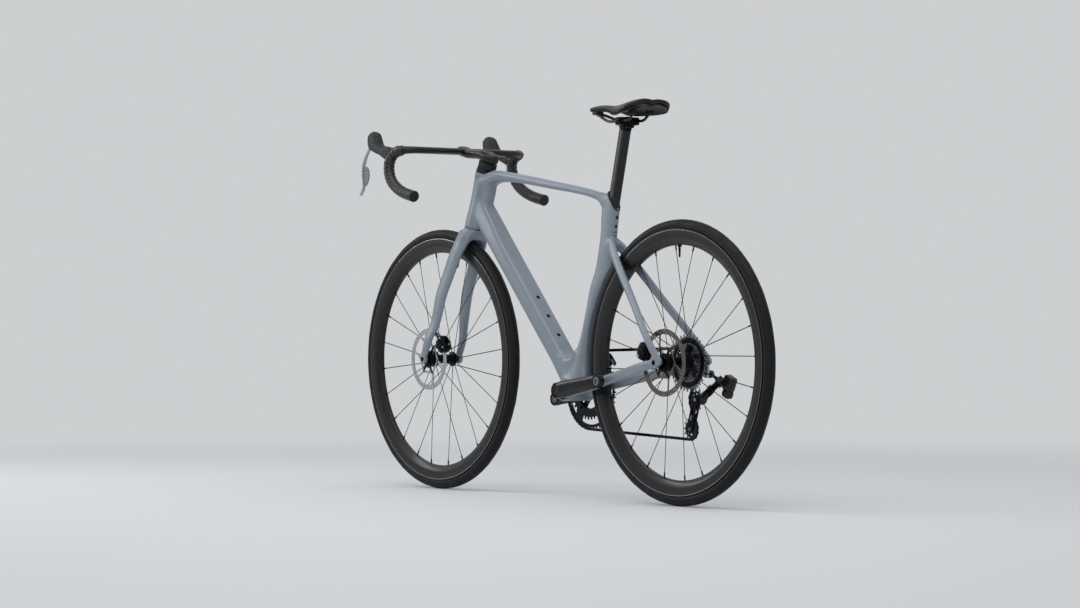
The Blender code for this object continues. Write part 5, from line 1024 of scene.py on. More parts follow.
def makeCups(look):
    face, lip = look["face"], look["face"] + look["lipHeight"]
    side = [(look["bore"], lip - 0.0003), (look["bore"] + 0.0003, lip), (look["radius"] - 0.0010, lip),
            (look["radius"] - 0.0007, lip - 0.0005), (look["radius"] - 0.0002, lip - 0.0005),
            (look["radius"] + 0.0001, lip), (look["lip"] - 0.0004, lip), (look["lip"], lip - 0.0004),
            (look["lip"], face), (look["radius"], face)]
    profile = side + [(radius, -height) for radius, height in reversed(side)]
    dress("bottomBracketCups", spunRing(profile, bracket, left, 72), blackAlloy,
          "frame", ["bottom_bracket"])


makeCups(cupLook)
print("frame fittings ready")


# Seat post: one flattened section all along

postLook = {"top": 0.652, "inside": 0.105}


def makePost(look):
    ends = [postSection(along) for along in (layout["seatTube"] - look["inside"], look["top"])]
    dress("seatPostTube", lofted(ends, 40, 56), mouldedCarbon, "seatpost", ["seatpost"])


makePost(postLook)


# Fork: crown and blades in one moulding, with the steerer inside the head tube

forkLook = {"bladeDepth": 45 * mm, "bladeWidth": 14 * mm, "tipDepth": 22 * mm, "tipWidth": 11 * mm,
            "hubWidth": 100 * mm, "eye": 12.5 * mm, "crown": 56 * mm, "halfRoom": 19.0 * mm,
            "axleBore": 6.3 * mm, "voxel": 2.0 * mm, "fillet": 60, "steerer": 14.3 * mm,
            "steererTop": headTop + 50 * mm, "wall": 2.8 * mm}


def forkBlade(look):
    deep, wide = look["bladeDepth"], look["bladeWidth"]
    tip = look["hubWidth"] / 2 + 0.0003 + look["tipWidth"] / 2
    plan = ((0.4081, 0.8946, 0.018, deep * 1.15, wide * 1.7),
            (0.3838, 0.8270, 0.028, deep * 1.12, wide * 1.5),
            (0.3216, 0.7297, 0.034, deep * 1.05, wide * 1.12), (0.2459, 0.5892, 0.037, deep, wide),
            (0.1730, 0.4486, 0.0405, deep * 0.94, wide), (0.1162, 0.2595, 0.0450, deep * 0.78, wide * 0.94),
            (0.0568, 0.1243, 0.0550, deep * 0.64, wide * 0.84),
            (0.0081, 0.0135, tip, look["tipDepth"], look["tipWidth"]))
    length = layout["forkLength"]
    sections = [(frontAxle + spot(-back * length + 0.14 * depth, aside, height * length),
                 spot(depth / 2, 0, 0.10 * depth), width / 2 * left, 2.4)
                for back, height, aside, depth, width in plan]
    return lofted(sections, 80, 32)


def makeFork(look):
    def level(along, front, rear, half):
        return steer(along, (front - rear) / 2), (front + rear) / 2 * steerForward, half * left, 2.4

    radius = frameLook["headLow"] - 0.001
    half = look["crown"] / 2
    crown = lofted([level(headLow - 0.0008, radius, radius + 0.003, radius),
                    level(headLow - 0.010, radius - 0.002, radius + 0.001, radius + 0.003),
                    level(headLow - 0.024, radius - 0.003, radius - 0.003, half + 0.010),
                    level(headLow - 0.040, radius - 0.005, radius - 0.008, half + 0.012)], 24, 44)
    inner = look["hubWidth"] / 2 + 0.0003
    eye = rod(frontAxle + inner * left, frontAxle + (inner + look["tipWidth"]) * left, look["eye"], 36)
    blade = forkBlade(look)
    space = wheelSpace(frontAxle, layout["wheelRadius"] + frameLook["tyreRoom"] + 0.002, look["halfRoom"])
    mesh = moulded([crown, blade, mirroredPart(blade), eye, mirroredPart(eye)], look, space)
    mesh = carve(mesh, plainBox(steer(headLow + 0.0145), (0.12, 0.12, 0.03), (steerForward, left, steerUp)),
                 rod(steer(headLow - 0.014), steer(headLow + 0.01), look["steerer"] + 0.00002, 40),
                 rod(frontAxle - 0.08 * left, frontAxle + 0.08 * left, look["axleBore"], 28))
    dress("forkPaintwork", mesh, framePaint, "steering", ["fork"], sharp=42)
    bore, low, high = look["steerer"] - look["wall"], headLow - 0.0138, look["steererTop"]
    steerer = spunRing([(look["steerer"], low), (look["steerer"], high), (bore, high), (bore, low)], steer(0),
                       steerUp, 40)
    dress("forkSteerer", steerer, mouldedCarbon, "steering")


makeFork(forkLook)
print("fork moulded")


# Wheels. Every turned shape is a profile of (radius, place across the wheel).

wheelLook = {
    "width": 28.5 * mm, "bead": 0.311, "tread": 0.339, "rimWidth": 29 * mm, "rimDepth": 38 * mm,
    "flange": 5.5 * mm, "steps": 192, "patches": 30, "patchLength": 25 * mm,
    "spokes": 24, "spokeWidth": 2.2 * mm, "spokeThick": 1.05 * mm, "nipple": 1.9 * mm,
}


def tyreArc(angle, look):
    # The casing is round: half width times cos, and as much again outwards times sin
    half = look["width"] / 2
    return np.stack([look["tread"] - half + half * np.sin(angle), half * np.cos(angle)], -1)


def makeTyre(prefix, axle, body, look):
    rise = np.radians(np.linspace(-38, 90, 22))
    side = np.vstack([[[look["bead"], 0.0104], [look["bead"] + 0.0030, 0.0112]], tyreArc(rise, look)])
    inside = np.vstack([[[look["tread"] - 0.0035, 0.0], [look["tread"] - 0.0100, 0.0100]],
                        [[look["bead"] + 0.006, 0.0092], [look["bead"], 0.0088]]])
    profile = np.vstack([side, (side * [1, -1])[-2::-1], (inside * [1, -1])[:0:-1], inside])
    casing = spunRing(profile, axle, left, look["steps"])
    dress(prefix + "TyreCasing", casing, tyreRubber, body, [prefix + "_tyre"], sharp=60)
    # Roughened patches on both shoulders: a small grid lifted 0.2 mm off the casing, edges sunk back
    step = turn / look["patches"]
    reach = look["patchLength"] / look["tread"] / 2
    across = np.radians(np.linspace(33, 62, 9))
    parts = []
    for flip, shift in ((1, 0.0), (-1, 0.5)):
        for index in range(look["patches"]):
            along = (index + shift) * step + np.linspace(-reach, reach, 8)
            lift = np.full((8, 9), 0.00022)
            lift[[0, -1]], lift[:, [0, -1]] = -0.0003, -0.0003
            half = look["width"] / 2 + lift
            radius = look["tread"] - look["width"] / 2 + half * np.sin(across)
            lean = along[:, None] + flip * 0.02 * (across - across.mean())[None] / 0.25
            grid = np.stack([radius * np.cos(lean), flip * half * np.cos(across), radius * np.sin(lean)], -1)
            parts.append((axle + grid.reshape(-1, 3), gridFaces(8, 9, wrapColumns=False)))
    mesh = rawMesh("patches", gathered(parts))
    patches = placed(prefix + "TreadPatches", mesh)
    work = bmesh.new()
    work.from_mesh(mesh)
    work.normal_update()
    wrong = [face for face in work.faces if face.normal.dot(face.calc_center_median() - Vector(axle)) < 0]
    bmesh.ops.reverse_faces(work, faces=wrong)
    work.to_mesh(mesh)
    work.free()
    mesh.materials.append(treadRubber)
    mesh.shade_smooth()
    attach(patches, body)


def makeRim(prefix, axle, body, finish, look):
    outer = look["bead"] + look["flange"]
    inner, half = outer - look["rimDepth"], look["rimWidth"] / 2
    wall = np.array([(inner, 0.0), (inner + 0.0004, 0.0048), (inner + 0.0065, 0.0096),
                     (inner + 0.0150, 0.0130), (inner + 0.0260, 0.0143)])
    curve = glide(np.linspace(0, 4, 18), np.arange(5), wall, soft=True)
    bead = look["bead"]
    flange = np.array([(outer - 0.0030, half - 0.00005), (outer - 0.0028, half - 0.0004),
                       (outer - 0.0022, half - 0.0004), (outer - 0.0020, half), (outer - 0.0006, half),
                       (outer, half - 0.0006), (outer, 0.0123), (outer - 0.0004, 0.0119),
                       (bead - 0.0003, 0.0113), (bead - 0.0010, 0.0090), (bead - 0.0048, 0.0060),
                       (bead - 0.0050, 0.0)])
    side = np.vstack([curve, flange])
    profile = np.vstack([side, (side * [1, -1])[-2:0:-1]])
    dress(prefix + "RimShell", spunRing(profile, axle, left, look["steps"]), finish, body,
          [prefix + "_rim"], sharp=50)
    # A thin pale metal line along each flange's edge: a painted highlight on the rim hook
    line = [(outer - 0.0029, half - 0.00042), (outer - 0.0021, half - 0.00042),
            (outer - 0.0021, half - 0.00020), (outer - 0.0029, half - 0.00020)]
    lines = [spunRing(line, axle, left, look["steps"]),
             spunRing([(radius, -y) for radius, y in line], axle, left, look["steps"])]
    dress(prefix + "RimHookHighlight", gathered(lines), brightAlloy, body)


def spokeParts(axle, look, flangeRadius, aside, first, lean):
    # Half of the spokes: round at both ends and flattened between, in from the flange to the rim
    half = look["spokes"] // 2
    end = look["bead"] + look["flange"] - look["rimDepth"] + 0.0006
    parts, nipples = [], []
    share = np.array([0.0, 0.06, 0.10, 0.16, 0.5, 0.90, 0.94, 1.0])
    wide = np.full(8, look["spokeWidth"] / 2)
    wide[2] *= 1.05
    thin = np.full(8, look["spokeThick"] / 2)
    for size in (wide, thin):
        size[[0, 1, -2, -1]] = 0.95 * mm
    angle = turn * np.arange(10) / 10
    for index in range(half):
        rimAngle = first + turn * index / half
        side = -1 if index % 2 else 1
        hubAngle = rimAngle + side * lean
        y = aside + (0.0016 * side if lean else 0.0)
        start = axle + spot(flangeRadius * math.cos(hubAngle), y, flangeRadius * math.sin(hubAngle))
        stop = axle + spot(end * math.cos(rimAngle), math.copysign(0.0018, aside), end * math.sin(rimAngle))
        way = unit(stop - start)
        inPlane = unit(np.cross(way, left))
        outOf = unit(np.cross(way, inPlane))
        line = start + share[:, None] * (stop - start)
        grid = (line[:, None] + (wide[:, None] * np.cos(angle))[..., None] * inPlane
                + (thin[:, None] * np.sin(angle))[..., None] * outOf)
        parts.append(closedGrid(grid))
        nipples.append(spun([(look["nipple"] * 0.7, -0.0125), (look["nipple"] * 0.95, -0.0118),
                             (look["nipple"], -0.0110), (look["nipple"], 0.0)], stop, way, 10))
    return parts, nipples


def makeHub(prefix, axle, body, profile, flanges, look):
    profile = softened(profile, 0.0009, 3)
    hub = spunRing(profile, axle, left, 80)
    dress(prefix + "HubShell", hub, blackAlloy, body, [prefix + "_hub_and_spokes"])
    spokes, nipples = [], []
    for radius, aside, first, lean in flanges:
        made, ends = spokeParts(axle, look, radius - 0.003, aside, first, lean)
        spokes += made
        nipples += ends
    dress(prefix + "Spokes", gathered(spokes), blackAlloy, body)
    dress(prefix + "Nipples", gathered(nipples), blackAlloy, body)


def makeValve(prefix, axle, body, angle):
    out = toward(angle)
    top = 0.2782
    profile = [(1e-5, top - 0.0290), (0.0016, top - 0.0290), (0.0024, top - 0.0275), (0.0025, top - 0.0180),
               (0.0021, top - 0.0175), (0.0021, top - 0.0165), (0.0029, top - 0.0160), (0.0029, top - 0.0045),
               (0.0035, top - 0.0042), (0.0052, top - 0.0038), (0.0055, top - 0.0030), (0.0055, top - 0.0012),
               (0.0050, top - 0.0004), (0.0030, top + 0.0006), (1e-5, top + 0.0006)]
    dress(prefix + "ValveStem", spun(profile, axle, out, 28), blackAlloy, body,
          [prefix + "_valve"])


# Brake discs: a slotted track on six arms from a hexagon, riveted to a dark spider
discShape = {"radius": 80 * mm, "track": 67.5 * mm, "hexagon": 41.0 * mm, "bar": 4.2 * mm, "thick": 1.8 * mm,
             "bore": 16.8 * mm, "lean": 0.30, "slotRows": ((76.3, 0.00), (71.6, 0.11)), "slots": 20,
             "slotLength": 4.8 * mm}


def capsule(centre, angle, length, width):
    cap = np.linspace(-math.pi / 2, math.pi / 2, 4)
    half = (length - width) / 2
    right = np.stack([half + width / 2 * np.cos(cap), width / 2 * np.sin(cap)], -1)
    points = np.vstack([right, -right])
    cosine, sine = math.cos(angle), math.sin(angle)
    return centre + points @ np.array([[cosine, sine], [-sine, cosine]])


def makeDisc(prefix, axle, body, finish, shape):
    centre = axle + discPlace[prefix] * left
    hexRadius, bar, track = shape["hexagon"], shape["bar"], shape["track"]
    corner = turn * np.arange(7) / 6 + 0.108
    outer = corner + shape["lean"] - 0.108
    outlines = [circle(shape["radius"], 120), softened(onCircle(hexRadius - bar, corner[:6]), 3 * mm)]
    for k in range(6):
        vertex, rim = onCircle(hexRadius, corner[k:k + 2]), onCircle(track, outer[k:k + 2])
        armA, armB = unit(rim[0] - vertex[0]), unit(rim[1] - vertex[1])
        sideA, sideB = np.array([-armA[1], armA[0]]), np.array([-armB[1], armB[0]])
        far = np.linspace(outer[k] + bar / 2 / track, outer[k + 1] - bar / 2 / track, 12)
        hexOut = unit(vertex[0] + vertex[1]) * 0.2 * mm
        ring = np.vstack([[vertex[0] + sideA * bar / 2 + armA * 0.6 * mm + hexOut], onCircle(track, far),
                          [vertex[1] - sideB * bar / 2 + armB * 0.6 * mm + hexOut]])
        radius = np.full(len(ring), 1e-5)
        radius[[0, -1, 1, -2]] = 2.2 * mm
        outlines.append(softened(ring, radius))
    for radius, shift in shape["slotRows"]:
        for index in range(shape["slots"]):
            angle = turn * index / shape["slots"] + shift
            outlines.append(capsule(onCircle(radius * mm, angle), angle + math.radians(118),
                                    shape["slotLength"], 1.8 * mm))
    dress(prefix + "DiscTrack", plate(outlines, shape["thick"], centre, 0.12 * mm), finish, body,
          [prefix + "_brake_rotor"])
    # The spider: a collar with six arms out to the hexagon's corners
    arm, outline = 4.4 * mm, []
    for k in range(6):
        tip = onCircle(1.0, corner[k])
        aside = np.array([-tip[1], tip[0]])
        outline += [tip * 0.0235 - aside * arm * 0.9, tip * (hexRadius - 0.5 * mm) - aside * arm * 0.62,
                    tip * (hexRadius + 1.2 * mm), tip * (hexRadius - 0.5 * mm) + aside * arm * 0.62,
                    tip * 0.0235 + aside * arm * 0.9]
    spider = plate([softened(np.array(outline), 1.4 * mm, 3), circle(shape["bore"], 48)], 1.3 * mm,
                   centre + 1.7 * mm * left, 0.15 * mm)
    collar = spunRing([(shape["bore"], 0.8 * mm), (shape["bore"], 4.6 * mm), (19.5 * mm, 4.6 * mm),
                       (20.5 * mm, 3.8 * mm), (22.8 * mm, 2.6 * mm), (22.8 * mm, 1.0 * mm)], centre, left, 60)
    dress(prefix + "DiscSpider", gathered([spider, collar]), blackAlloy, body)
    rivets = [spun([(1e-5, -1.4 * mm), (2.0 * mm, -1.4 * mm), (2.3 * mm, -1.1 * mm), (2.3 * mm, 2.5 * mm),
                    (2.0 * mm, 2.9 * mm), (1e-5, 3.0 * mm)],
                   centre + (hexRadius - bar * 0.5) * toward(a), left, 16)
              for a in corner[:6]]
    # Splined lock ring on the hub's end
    ring = lathe([(13.2 * mm, 4.7 * mm), (13.2 * mm, 7.0 * mm), (18.2 * mm, 7.0 * mm), (18.9 * mm, 6.3 * mm),
                  (18.9 * mm, 4.7 * mm)], centre, left, 64)
    onAxis = centre + ((ring - centre) @ left)[..., None] * left
    fromAxis = ring - onAxis
    fromAxis[2:4, ::2] *= 0.955
    ring = onAxis + fromAxis
    dress(prefix + "DiscRivets", gathered(rivets), boltSteel, body)
    dress(prefix + "DiscLockRing", closedGrid(ring, wrapRows=True), blackAlloy, body)


discPlace = {"front": 40 * mm, "rear": 47 * mm}
frontHub = [(0.0066, 0.0497), (0.0095, 0.0497), (0.0095, 0.0430), (0.0165, 0.0430), (0.0165, 0.0360),
            (0.0125, 0.0260), (0.0215, 0.0235), (0.0215, 0.0205), (0.0125, 0.0180), (0.0118, 0.0),
            (0.0125, -0.0310), (0.0195, -0.0335), (0.0195, -0.0365), (0.0095, -0.0400), (0.0095, -0.0497),
            (0.0066, -0.0497)]
rearHub = [(0.0066, 0.0704), (0.0100, 0.0704), (0.0100, 0.0500), (0.0165, 0.0500), (0.0165, 0.0430),
           (0.0145, 0.0340), (0.0215, 0.0315), (0.0215, 0.0285), (0.0145, 0.0260), (0.0135, 0.0065),
           (0.0145, -0.0130), (0.0235, -0.0165), (0.0235, -0.0215), (0.0116, -0.0230), (0.0116, -0.0692),
           (0.0066, -0.0692)]

for prefix, axle, hub, finish, valveAngle, flanges in (
        ("front", frontAxle, frontHub, frontDisc, 107,
         ((0.0215, 0.022, 0.16, 0.0), (0.0195, -0.035, 0.16 + turn / 24, 0.0))),
        ("rear", rearAxle, rearHub, rearDisc, 90,
         ((0.0215, 0.030, 0.20, 0.0), (0.0235, -0.019, 0.20 + turn / 24, math.radians(50))))):
    body = prefix + "_wheel"
    makeTyre(prefix, axle, body, wheelLook)
    makeRim(prefix, axle, body, rimFinish[prefix == "rear"], wheelLook)
    makeHub(prefix, axle, body, hub, flanges, wheelLook)
    makeValve(prefix, axle, body, math.radians(valveAngle))
    makeDisc(prefix, axle, body, finish, discShape)
print("wheels ready")


# Calipers: a rounded body over the disc with a pad slot, cooling ribs, two bolts and a hose boss

caliperLook = {"reach": 77 * mm, "slot": 11.0 * mm, "piston": 7.8 * mm, "fins": (-7.5 * mm, 0.0, 7.5 * mm)}
caliperPlan = (  # place along the disc's rim, half height, half width, power of the outline
               (-0.0210, 0.0090, 0.0085, 3.0), (-0.0195, 0.0125, 0.0120, 3.2), (-0.0120, 0.0160, 0.0145, 3.6),
               (0.0, 0.0170, 0.0150, 4.0), (0.0120, 0.0160, 0.0145, 3.6), (0.0195, 0.0125, 0.0120, 3.2),
               (0.0210, 0.0090, 0.0085, 3.0))


def makeCaliper(prefix, axle, degrees, body, look):
    out = toward(math.radians(degrees))
    along = -squareTo(out)
    axes = (along, left, out)
    centre = axle + out * look["reach"] + discPlace[prefix] * left
    piston = centre - 0.006 * out
    sections = [(centre + along * run, out * high, left * half, power)
                for run, high, half, power in caliperPlan]
    shell = newMesh("caliper", lofted(sections, 44, 56))
    tools = [plainBox(centre - out * 0.010, (0.062, look["slot"], 0.034), axes),
             plainBox(centre + out * 0.012, (0.016, look["slot"] - 0.001, 0.020), axes)]
    for side in (1, -1):
        for shift in look["fins"]:
            tools.append(plainBox(centre + side * 0.0152 * left + shift * along + 0.004 * out,
                                  (0.0022, 0.0028, 0.019), axes))
        tools.append(rod(piston + side * 0.0146 * left, piston + side * 0.0170 * left, look["piston"], 36))
    dress(prefix + "CaliperBody", carve(shell, *tools), blackAlloy, body,
          [prefix + "_brake_caliper"], bevel=0.0004)
    covers = [roundPlug(piston + side * 0.0142 * left, side * left, 0.0074, 0.0007, 0.2) for side in (1, -1)]
    dress(prefix + "CaliperPistonCaps", gathered(covers), blackAlloy, body)
    bolts = [boltHead(centre + shift * along + 0.0115 * left + 0.0095 * out, unit(out + 0.5 * left), 0.0030,
                      0.0022) for shift in (-0.0130, 0.0130)]
    bolts.append(boltHead(centre - 0.0085 * along + 0.0162 * out - 0.004 * left, out, 0.0026, 0.0010))
    bolts.append(spun([(1e-5, 0), (0.0030, 0), (0.0036, 0.0008), (0.0036, 0.0030), (0.0028, 0.0034),
                       (1e-5, 0.0034)], centre + 0.0120 * along + 0.0142 * left + 0.001 * out, left, 20))
    dress(prefix + "CaliperBolts", gathered(bolts), boltSteel, body)


makeCaliper("front", frontAxle, 150, "steering", caliperLook)
makeCaliper("rear", rearAxle, 20, "frame", caliperLook)


def makeAxle(prefix, centre, reach, body):
    # A through axle with a socket in its left end
    profile = [(1e-5, reach - 0.005), (0.0034, reach - 0.005), (0.0036, reach - 0.0003), (0.0039, reach),
               (0.0057, reach), (0.0060, reach - 0.0003), (0.0060, -reach + 0.0003), (0.0057, -reach),
               (1e-5, -reach)]
    dress(prefix + "ThroughAxle", spun(profile, centre, left, 36), blackAlloy, body,
          [prefix + "_axle"])


makeAxle("front", frontAxle, 0.061, "steering")
makeAxle("rear", rearAxle, 0.0795, "frame")
print("brakes ready")


# Head: cone, spacers and stem, all about the steering axis

cockpitLook = {
    "cover": 14 * mm, "spacers": 15 * mm, "clamp": 25 * mm, "spacerFront": 20.5 * mm, "spacerRear": 37 * mm,
    "stemWidth": 38 * mm, "cap": 15.5 * mm,
    "hoodWidth": 0.376, "dropWidth": 0.412, "topDepth": 38 * mm, "topThick": 17.5 * mm,
    "bar": 11.9 * mm, "tape": 15.0 * mm, "wrap": 12.5 * mm, "ridge": 1.9 * mm, "rings": 660, "hood": 31 * mm,
    "lever": 10.4 * mm, "leverBoss": 5.5 * mm, "pin": 2.0 * mm, "pinReach": 9.5 * mm,
}
coverTop = headTop + cockpitLook["cover"]
stemLow = coverTop + cockpitLook["spacers"]
steererTop = stemLow + cockpitLook["clamp"] - 0.004
barPlace = barCentre - steer(0)
barReach, barLevel = barPlace @ steerForward, barPlace @ steerUp


def makeHeadStack(look):
    bore = forkLook["steerer"] + 0.0006
    low = headTop + 0.0003
    cone = [(bore, low), (0.0216, low), (0.0220, low + 0.0004), (0.0220, low + 0.0040),
            (0.0216, low + 0.0052), (0.0199, coverTop - 0.0010), (0.0194, coverTop), (bore, coverTop)]
    dress("headsetCone", spunRing(cone, steer(0), steerUp, 72), blackNylon, "steering",
          ["headset_cover"])
    # Five thin spacers drawn out to the rear, with a fine groove between each pair
    first, last, count = coverTop + 0.0003, stemLow - 0.0003, 5
    height = (last - first) / count
    rows = []
    for index in range(count):
        start = first + index * height
        for at, inset in ((0.0, 0.0010), (0.0004, 0.0003), (0.0009, 0.0), (height - 0.0009, 0.0),
                          (height - 0.0004, 0.0003), (height, 0.0010)):
            rows.append((start + at, inset))
    cosine, sine = ellipseRing(2.3, 64)
    rows = np.array(rows)
    middle = (look["spacerFront"] - look["spacerRear"]) / 2
    long = (look["spacerFront"] + look["spacerRear"]) / 2 - rows[:, 1:2]
    wide = look["stemWidth"] / 2 - rows[:, 1:2]
    grid = (steer(0) + rows[:, 0, None, None] * steerUp + (middle + cosine * long)[..., None] * steerForward
            + (sine * wide)[..., None] * left)
    stack = carve(newMesh("spacers", closedGrid(grid)),
                  rod(steer(first - 0.01), steer(stemLow + 0.01), bore, 40))
    dress("spacerStack", stack, blackNylon, "steering", ["headset_spacers"])


def makeStem(look):
    middle = (stemLow + steererTop + 0.004) / 2
    high = steererTop + 0.004 - middle
    half, deep, thick = look["stemWidth"] / 2, look["topDepth"] / 2, look["topThick"] / 2
    rear = look["spacerRear"]

    def section(along, ahead, halfHeight, halfWidth):
        return steer(along, ahead), halfHeight * steerUp, halfWidth * left, 2.7

    body = newMesh("stem", lofted([
        section(middle, -rear, high * 0.80, half * 0.45),
        section(middle, -rear * 0.93, high * 0.93, half * 0.66),
        section(middle, -rear * 0.72, high, half * 0.86), section(middle, 0.0, high, half),
        section(middle, look["spacerFront"] * 0.9, high, half),
        section(mix(middle, barLevel, 0.35), barReach * 0.42, high * 0.92, half * 0.95),
        section(barLevel + 0.001, barReach - deep - 0.006, thick + 0.0032, half * 1.05),
        section(barLevel, barReach + deep * 0.6, thick + 0.0032, half * 1.05),
        section(barLevel, barReach + deep + 0.0034, thick * 0.55, half * 0.98)], 70, 56))
    room = lofted([(barCentre + y * left, spot(deep + 0.0003, 0, 0), spot(0, 0, thick + 0.0003), 2.4)
                   for y in (-0.04, 0.04)], 4, 40)
    bore = rod(steer(stemLow - 0.01), steer(steererTop + 0.0003), forkLook["steerer"] + 0.0006, 40)
    body = carve(body, bore,
                 rod(steer(steererTop - 0.002), steer(steererTop + 0.02), look["cap"] + 0.0006, 48), room)
    dress("stemBody", body, mouldedCarbon, "steering", ["stem"], bevel=0.0005)
    cap = spun([(1e-5, steererTop + 0.0006), (look["cap"], steererTop + 0.0006),
                (look["cap"], steererTop + 0.0032), (look["cap"] - 0.0006, steererTop + 0.0040),
                (0.0046, steererTop + 0.0040), (0.0043, steererTop + 0.0036), (0.0043, steererTop + 0.0022),
                (1e-5, steererTop + 0.0022)], steer(0), steerUp, 56)
    dress("stemTopCap", cap, blackAlloy, "steering", ["stem_top_cap"])
    bolts = [boltHead(steer(steererTop + 0.0021), steerUp, 0.0040, 0.0016)]
    for aside in (-0.0125, 0.0125):
        bolts.append(boltHead(barCentre + spot(0.004, aside, -thick - 0.0030), -up, 0.0024, 0.0012))
    dress("stemBolts", gathered(bolts), boltSteel, "steering")


# Handlebar: a flat wing that turns into a round drop
def barPlan(look):
    deep, thick, bar = look["topDepth"] / 2, look["topThick"] / 2, look["bar"]
    hood, end = look["hoodWidth"] / 2, look["dropWidth"] / 2
    x, z = barCentre[0], barCentre[2]
    wing = [((x, 0, z), deep, thick, 2.5), ((x, 0.060, z), deep, thick, 2.5),
            ((x + 0.002, 0.125, z), deep * 0.92, thick, 2.5),
            ((x + 0.006, hood - 0.026, z), deep * 0.80, thick * 1.05, 2.4),
            ((x + 0.019, hood - 0.006, z - 0.0010), deep * 0.70, thick * 1.2, 2.2)]
    drop = [(x + 0.037, hood + 0.001, z - 0.004), (x + 0.055, hood + 0.003, z - 0.013),
            (x + 0.064, hood + 0.006, z - 0.031), (x + 0.0615, hood + 0.009, z - 0.054),
            (x + 0.047, hood + 0.012, z - 0.077), (x + 0.021, hood + 0.014, z - 0.096),
            (x - 0.009, end - 0.002, z - 0.109), (x - 0.040, end - 0.001, z - 0.1175),
            (x - 0.067, end, z - 0.1230)]
    return wing + [(point, bar, bar, 2.0) for point in drop]


def barFrames(look, rings):
    # Smooth centre line, its length so far, two cross directions and the section's sizes
    plan = barPlan(look)
    rows = np.array([[*point, deep, thick, power] for point, deep, thick, power in plan])
    along = runAlong(rows[:, :3])
    at = np.linspace(0, along[-1], rings)
    line = glide(at, along, rows[:, :3], soft=True)
    sizes = glide(at, along, rows[:, 3:])
    way = units(np.gradient(line, axis=0))
    across, rise = carried(way, forward)
    return at, along, line, across, -rise, sizes, way


def makeBar(look):
    at, along, line, across, rise, sizes, way = barFrames(look, 150)
    a, b = ellipseRing(sizes[:, 2], 44)
    half = (line[:, None] + (a * sizes[:, :1])[..., None] * across[:, None]
            + (b * sizes[:, 1:2])[..., None] * rise[:, None])
    other = (half * spot(1, -1, 1))[:0:-1]
    dress("handlebarWing", closedGrid(np.concatenate([other, half])), mouldedCarbon, "steering",
          ["handlebar"])
    # Tape: overlapping turns. Along a helix, each wrap steps up by most of the ridge, then sinks back
    first = along[4]
    at, along, line, across, rise, sizes, way = barFrames(look, 1000)
    pick = np.linspace(np.searchsorted(at, first), len(at) - 1, look["rings"]).astype(int)
    angle = turn * np.arange(40) / 40
    run = at[pick][:, None] - first
    wrap = (run / look["wrap"] + angle[None] / turn) % 1.0
    ridge = look["ridge"] * np.clip(np.minimum(wrap / 0.22, 1.0) - 0.85 * wrap, 0, 1)
    ends = np.clip(np.minimum(run, run[-1] - run) / 0.0015, 0, 1)
    thick = (look["tape"] - look["bar"] - look["ridge"] + ridge) * (0.6 + 0.4 * ends)
    wide = sizes[pick]

    def skin(grow):
        # The bar's section at every ring, grown evenly
        aside = ((wide[:, :1] + grow) * np.cos(angle))[..., None] * across[pick][:, None]
        raised = ((wide[:, 1:2] + grow) * np.sin(angle))[..., None] * rise[pick][:, None]
        return line[pick][:, None] + aside + raised

    tape = closedGrid(np.concatenate([skin(thick), skin(0.0004)[::-2]]), wrapRows=True)
    end, endWay = line[-1], way[-1]
    rim = look["tape"] - 0.0002
    plug = spun([(1e-5, 0.0), (rim * 0.75, 0.0), (rim * 0.93, -0.0006),
                 (rim, -0.0016), (rim, -0.0030), (look["bar"], -0.0032),
                 (look["bar"] * 0.8, -0.0032), (1e-5, -0.0032)], end - 0.0002 * endWay, endWay, 40)
    dress("barTapeLeft", tape, tapeSkin, "steering", ["bar_tape_left"], sharp=70)
    dress("barTapeRight", mirroredPart(tape), tapeSkin, "steering", ["bar_tape_right"], sharp=70)
    dress("barEndPlugs", gathered([plug, mirroredPart(plug)]), blackNylon, "steering")


# Hoods, levers and paddles: the left side is made, then mirrored
leverPivot = barCentre + spot(0.1645, cockpitLook["hoodWidth"] / 2 - 0.0035, 0.014)


def makeHood(look):
    x, y, z = barCentre[0], look["hoodWidth"] / 2, barCentre[2]
    half = look["hood"] / 2
    plan = [((x + 0.050, z + 0.002), (x + 0.066, z - 0.028), 0.0115, y + 0.0030),
            ((x + 0.060, z + 0.006), (x + 0.076, z - 0.0265), 0.0128, y + 0.0025),
            ((x + 0.072, z + 0.010), (x + 0.088, z - 0.021), half * 0.86, y + 0.0020),
            ((x + 0.096, z + 0.013), (x + 0.112, z - 0.010), half * 0.96, y),
            ((x + 0.116, z + 0.021), (x + 0.142, z - 0.001), half, y - 0.0020),
            ((x + 0.124, z + 0.036), (x + 0.165, z + 0.009), half * 0.98, y - 0.0035),
            ((x + 0.133, z + 0.048), (x + 0.173, z + 0.030), half * 0.86, y - 0.0045),
            ((x + 0.143, z + 0.0520), (x + 0.1715, z + 0.0405), half * 0.72, y - 0.0048),
            ((x + 0.150, z + 0.0535), (x + 0.167, z + 0.046), half * 0.50, y - 0.0050)]
    hood = newMesh("hood", lofted(sideSections(plan, power=2.5), 90, 48, soft=True))
    bar = tube([point for point, *_ in barPlan(look)[3:10]], look["tape"] - 0.0002, 50, 28)
    slot = plainBox(leverPivot + spot(0.008, 0, -0.003), (0.032, look["lever"] + 0.0014, 0.026))
    return carve(hood, bar, slot, rod(leverPivot - 0.012 * left, leverPivot + 0.012 * left, 0.0023, 20))


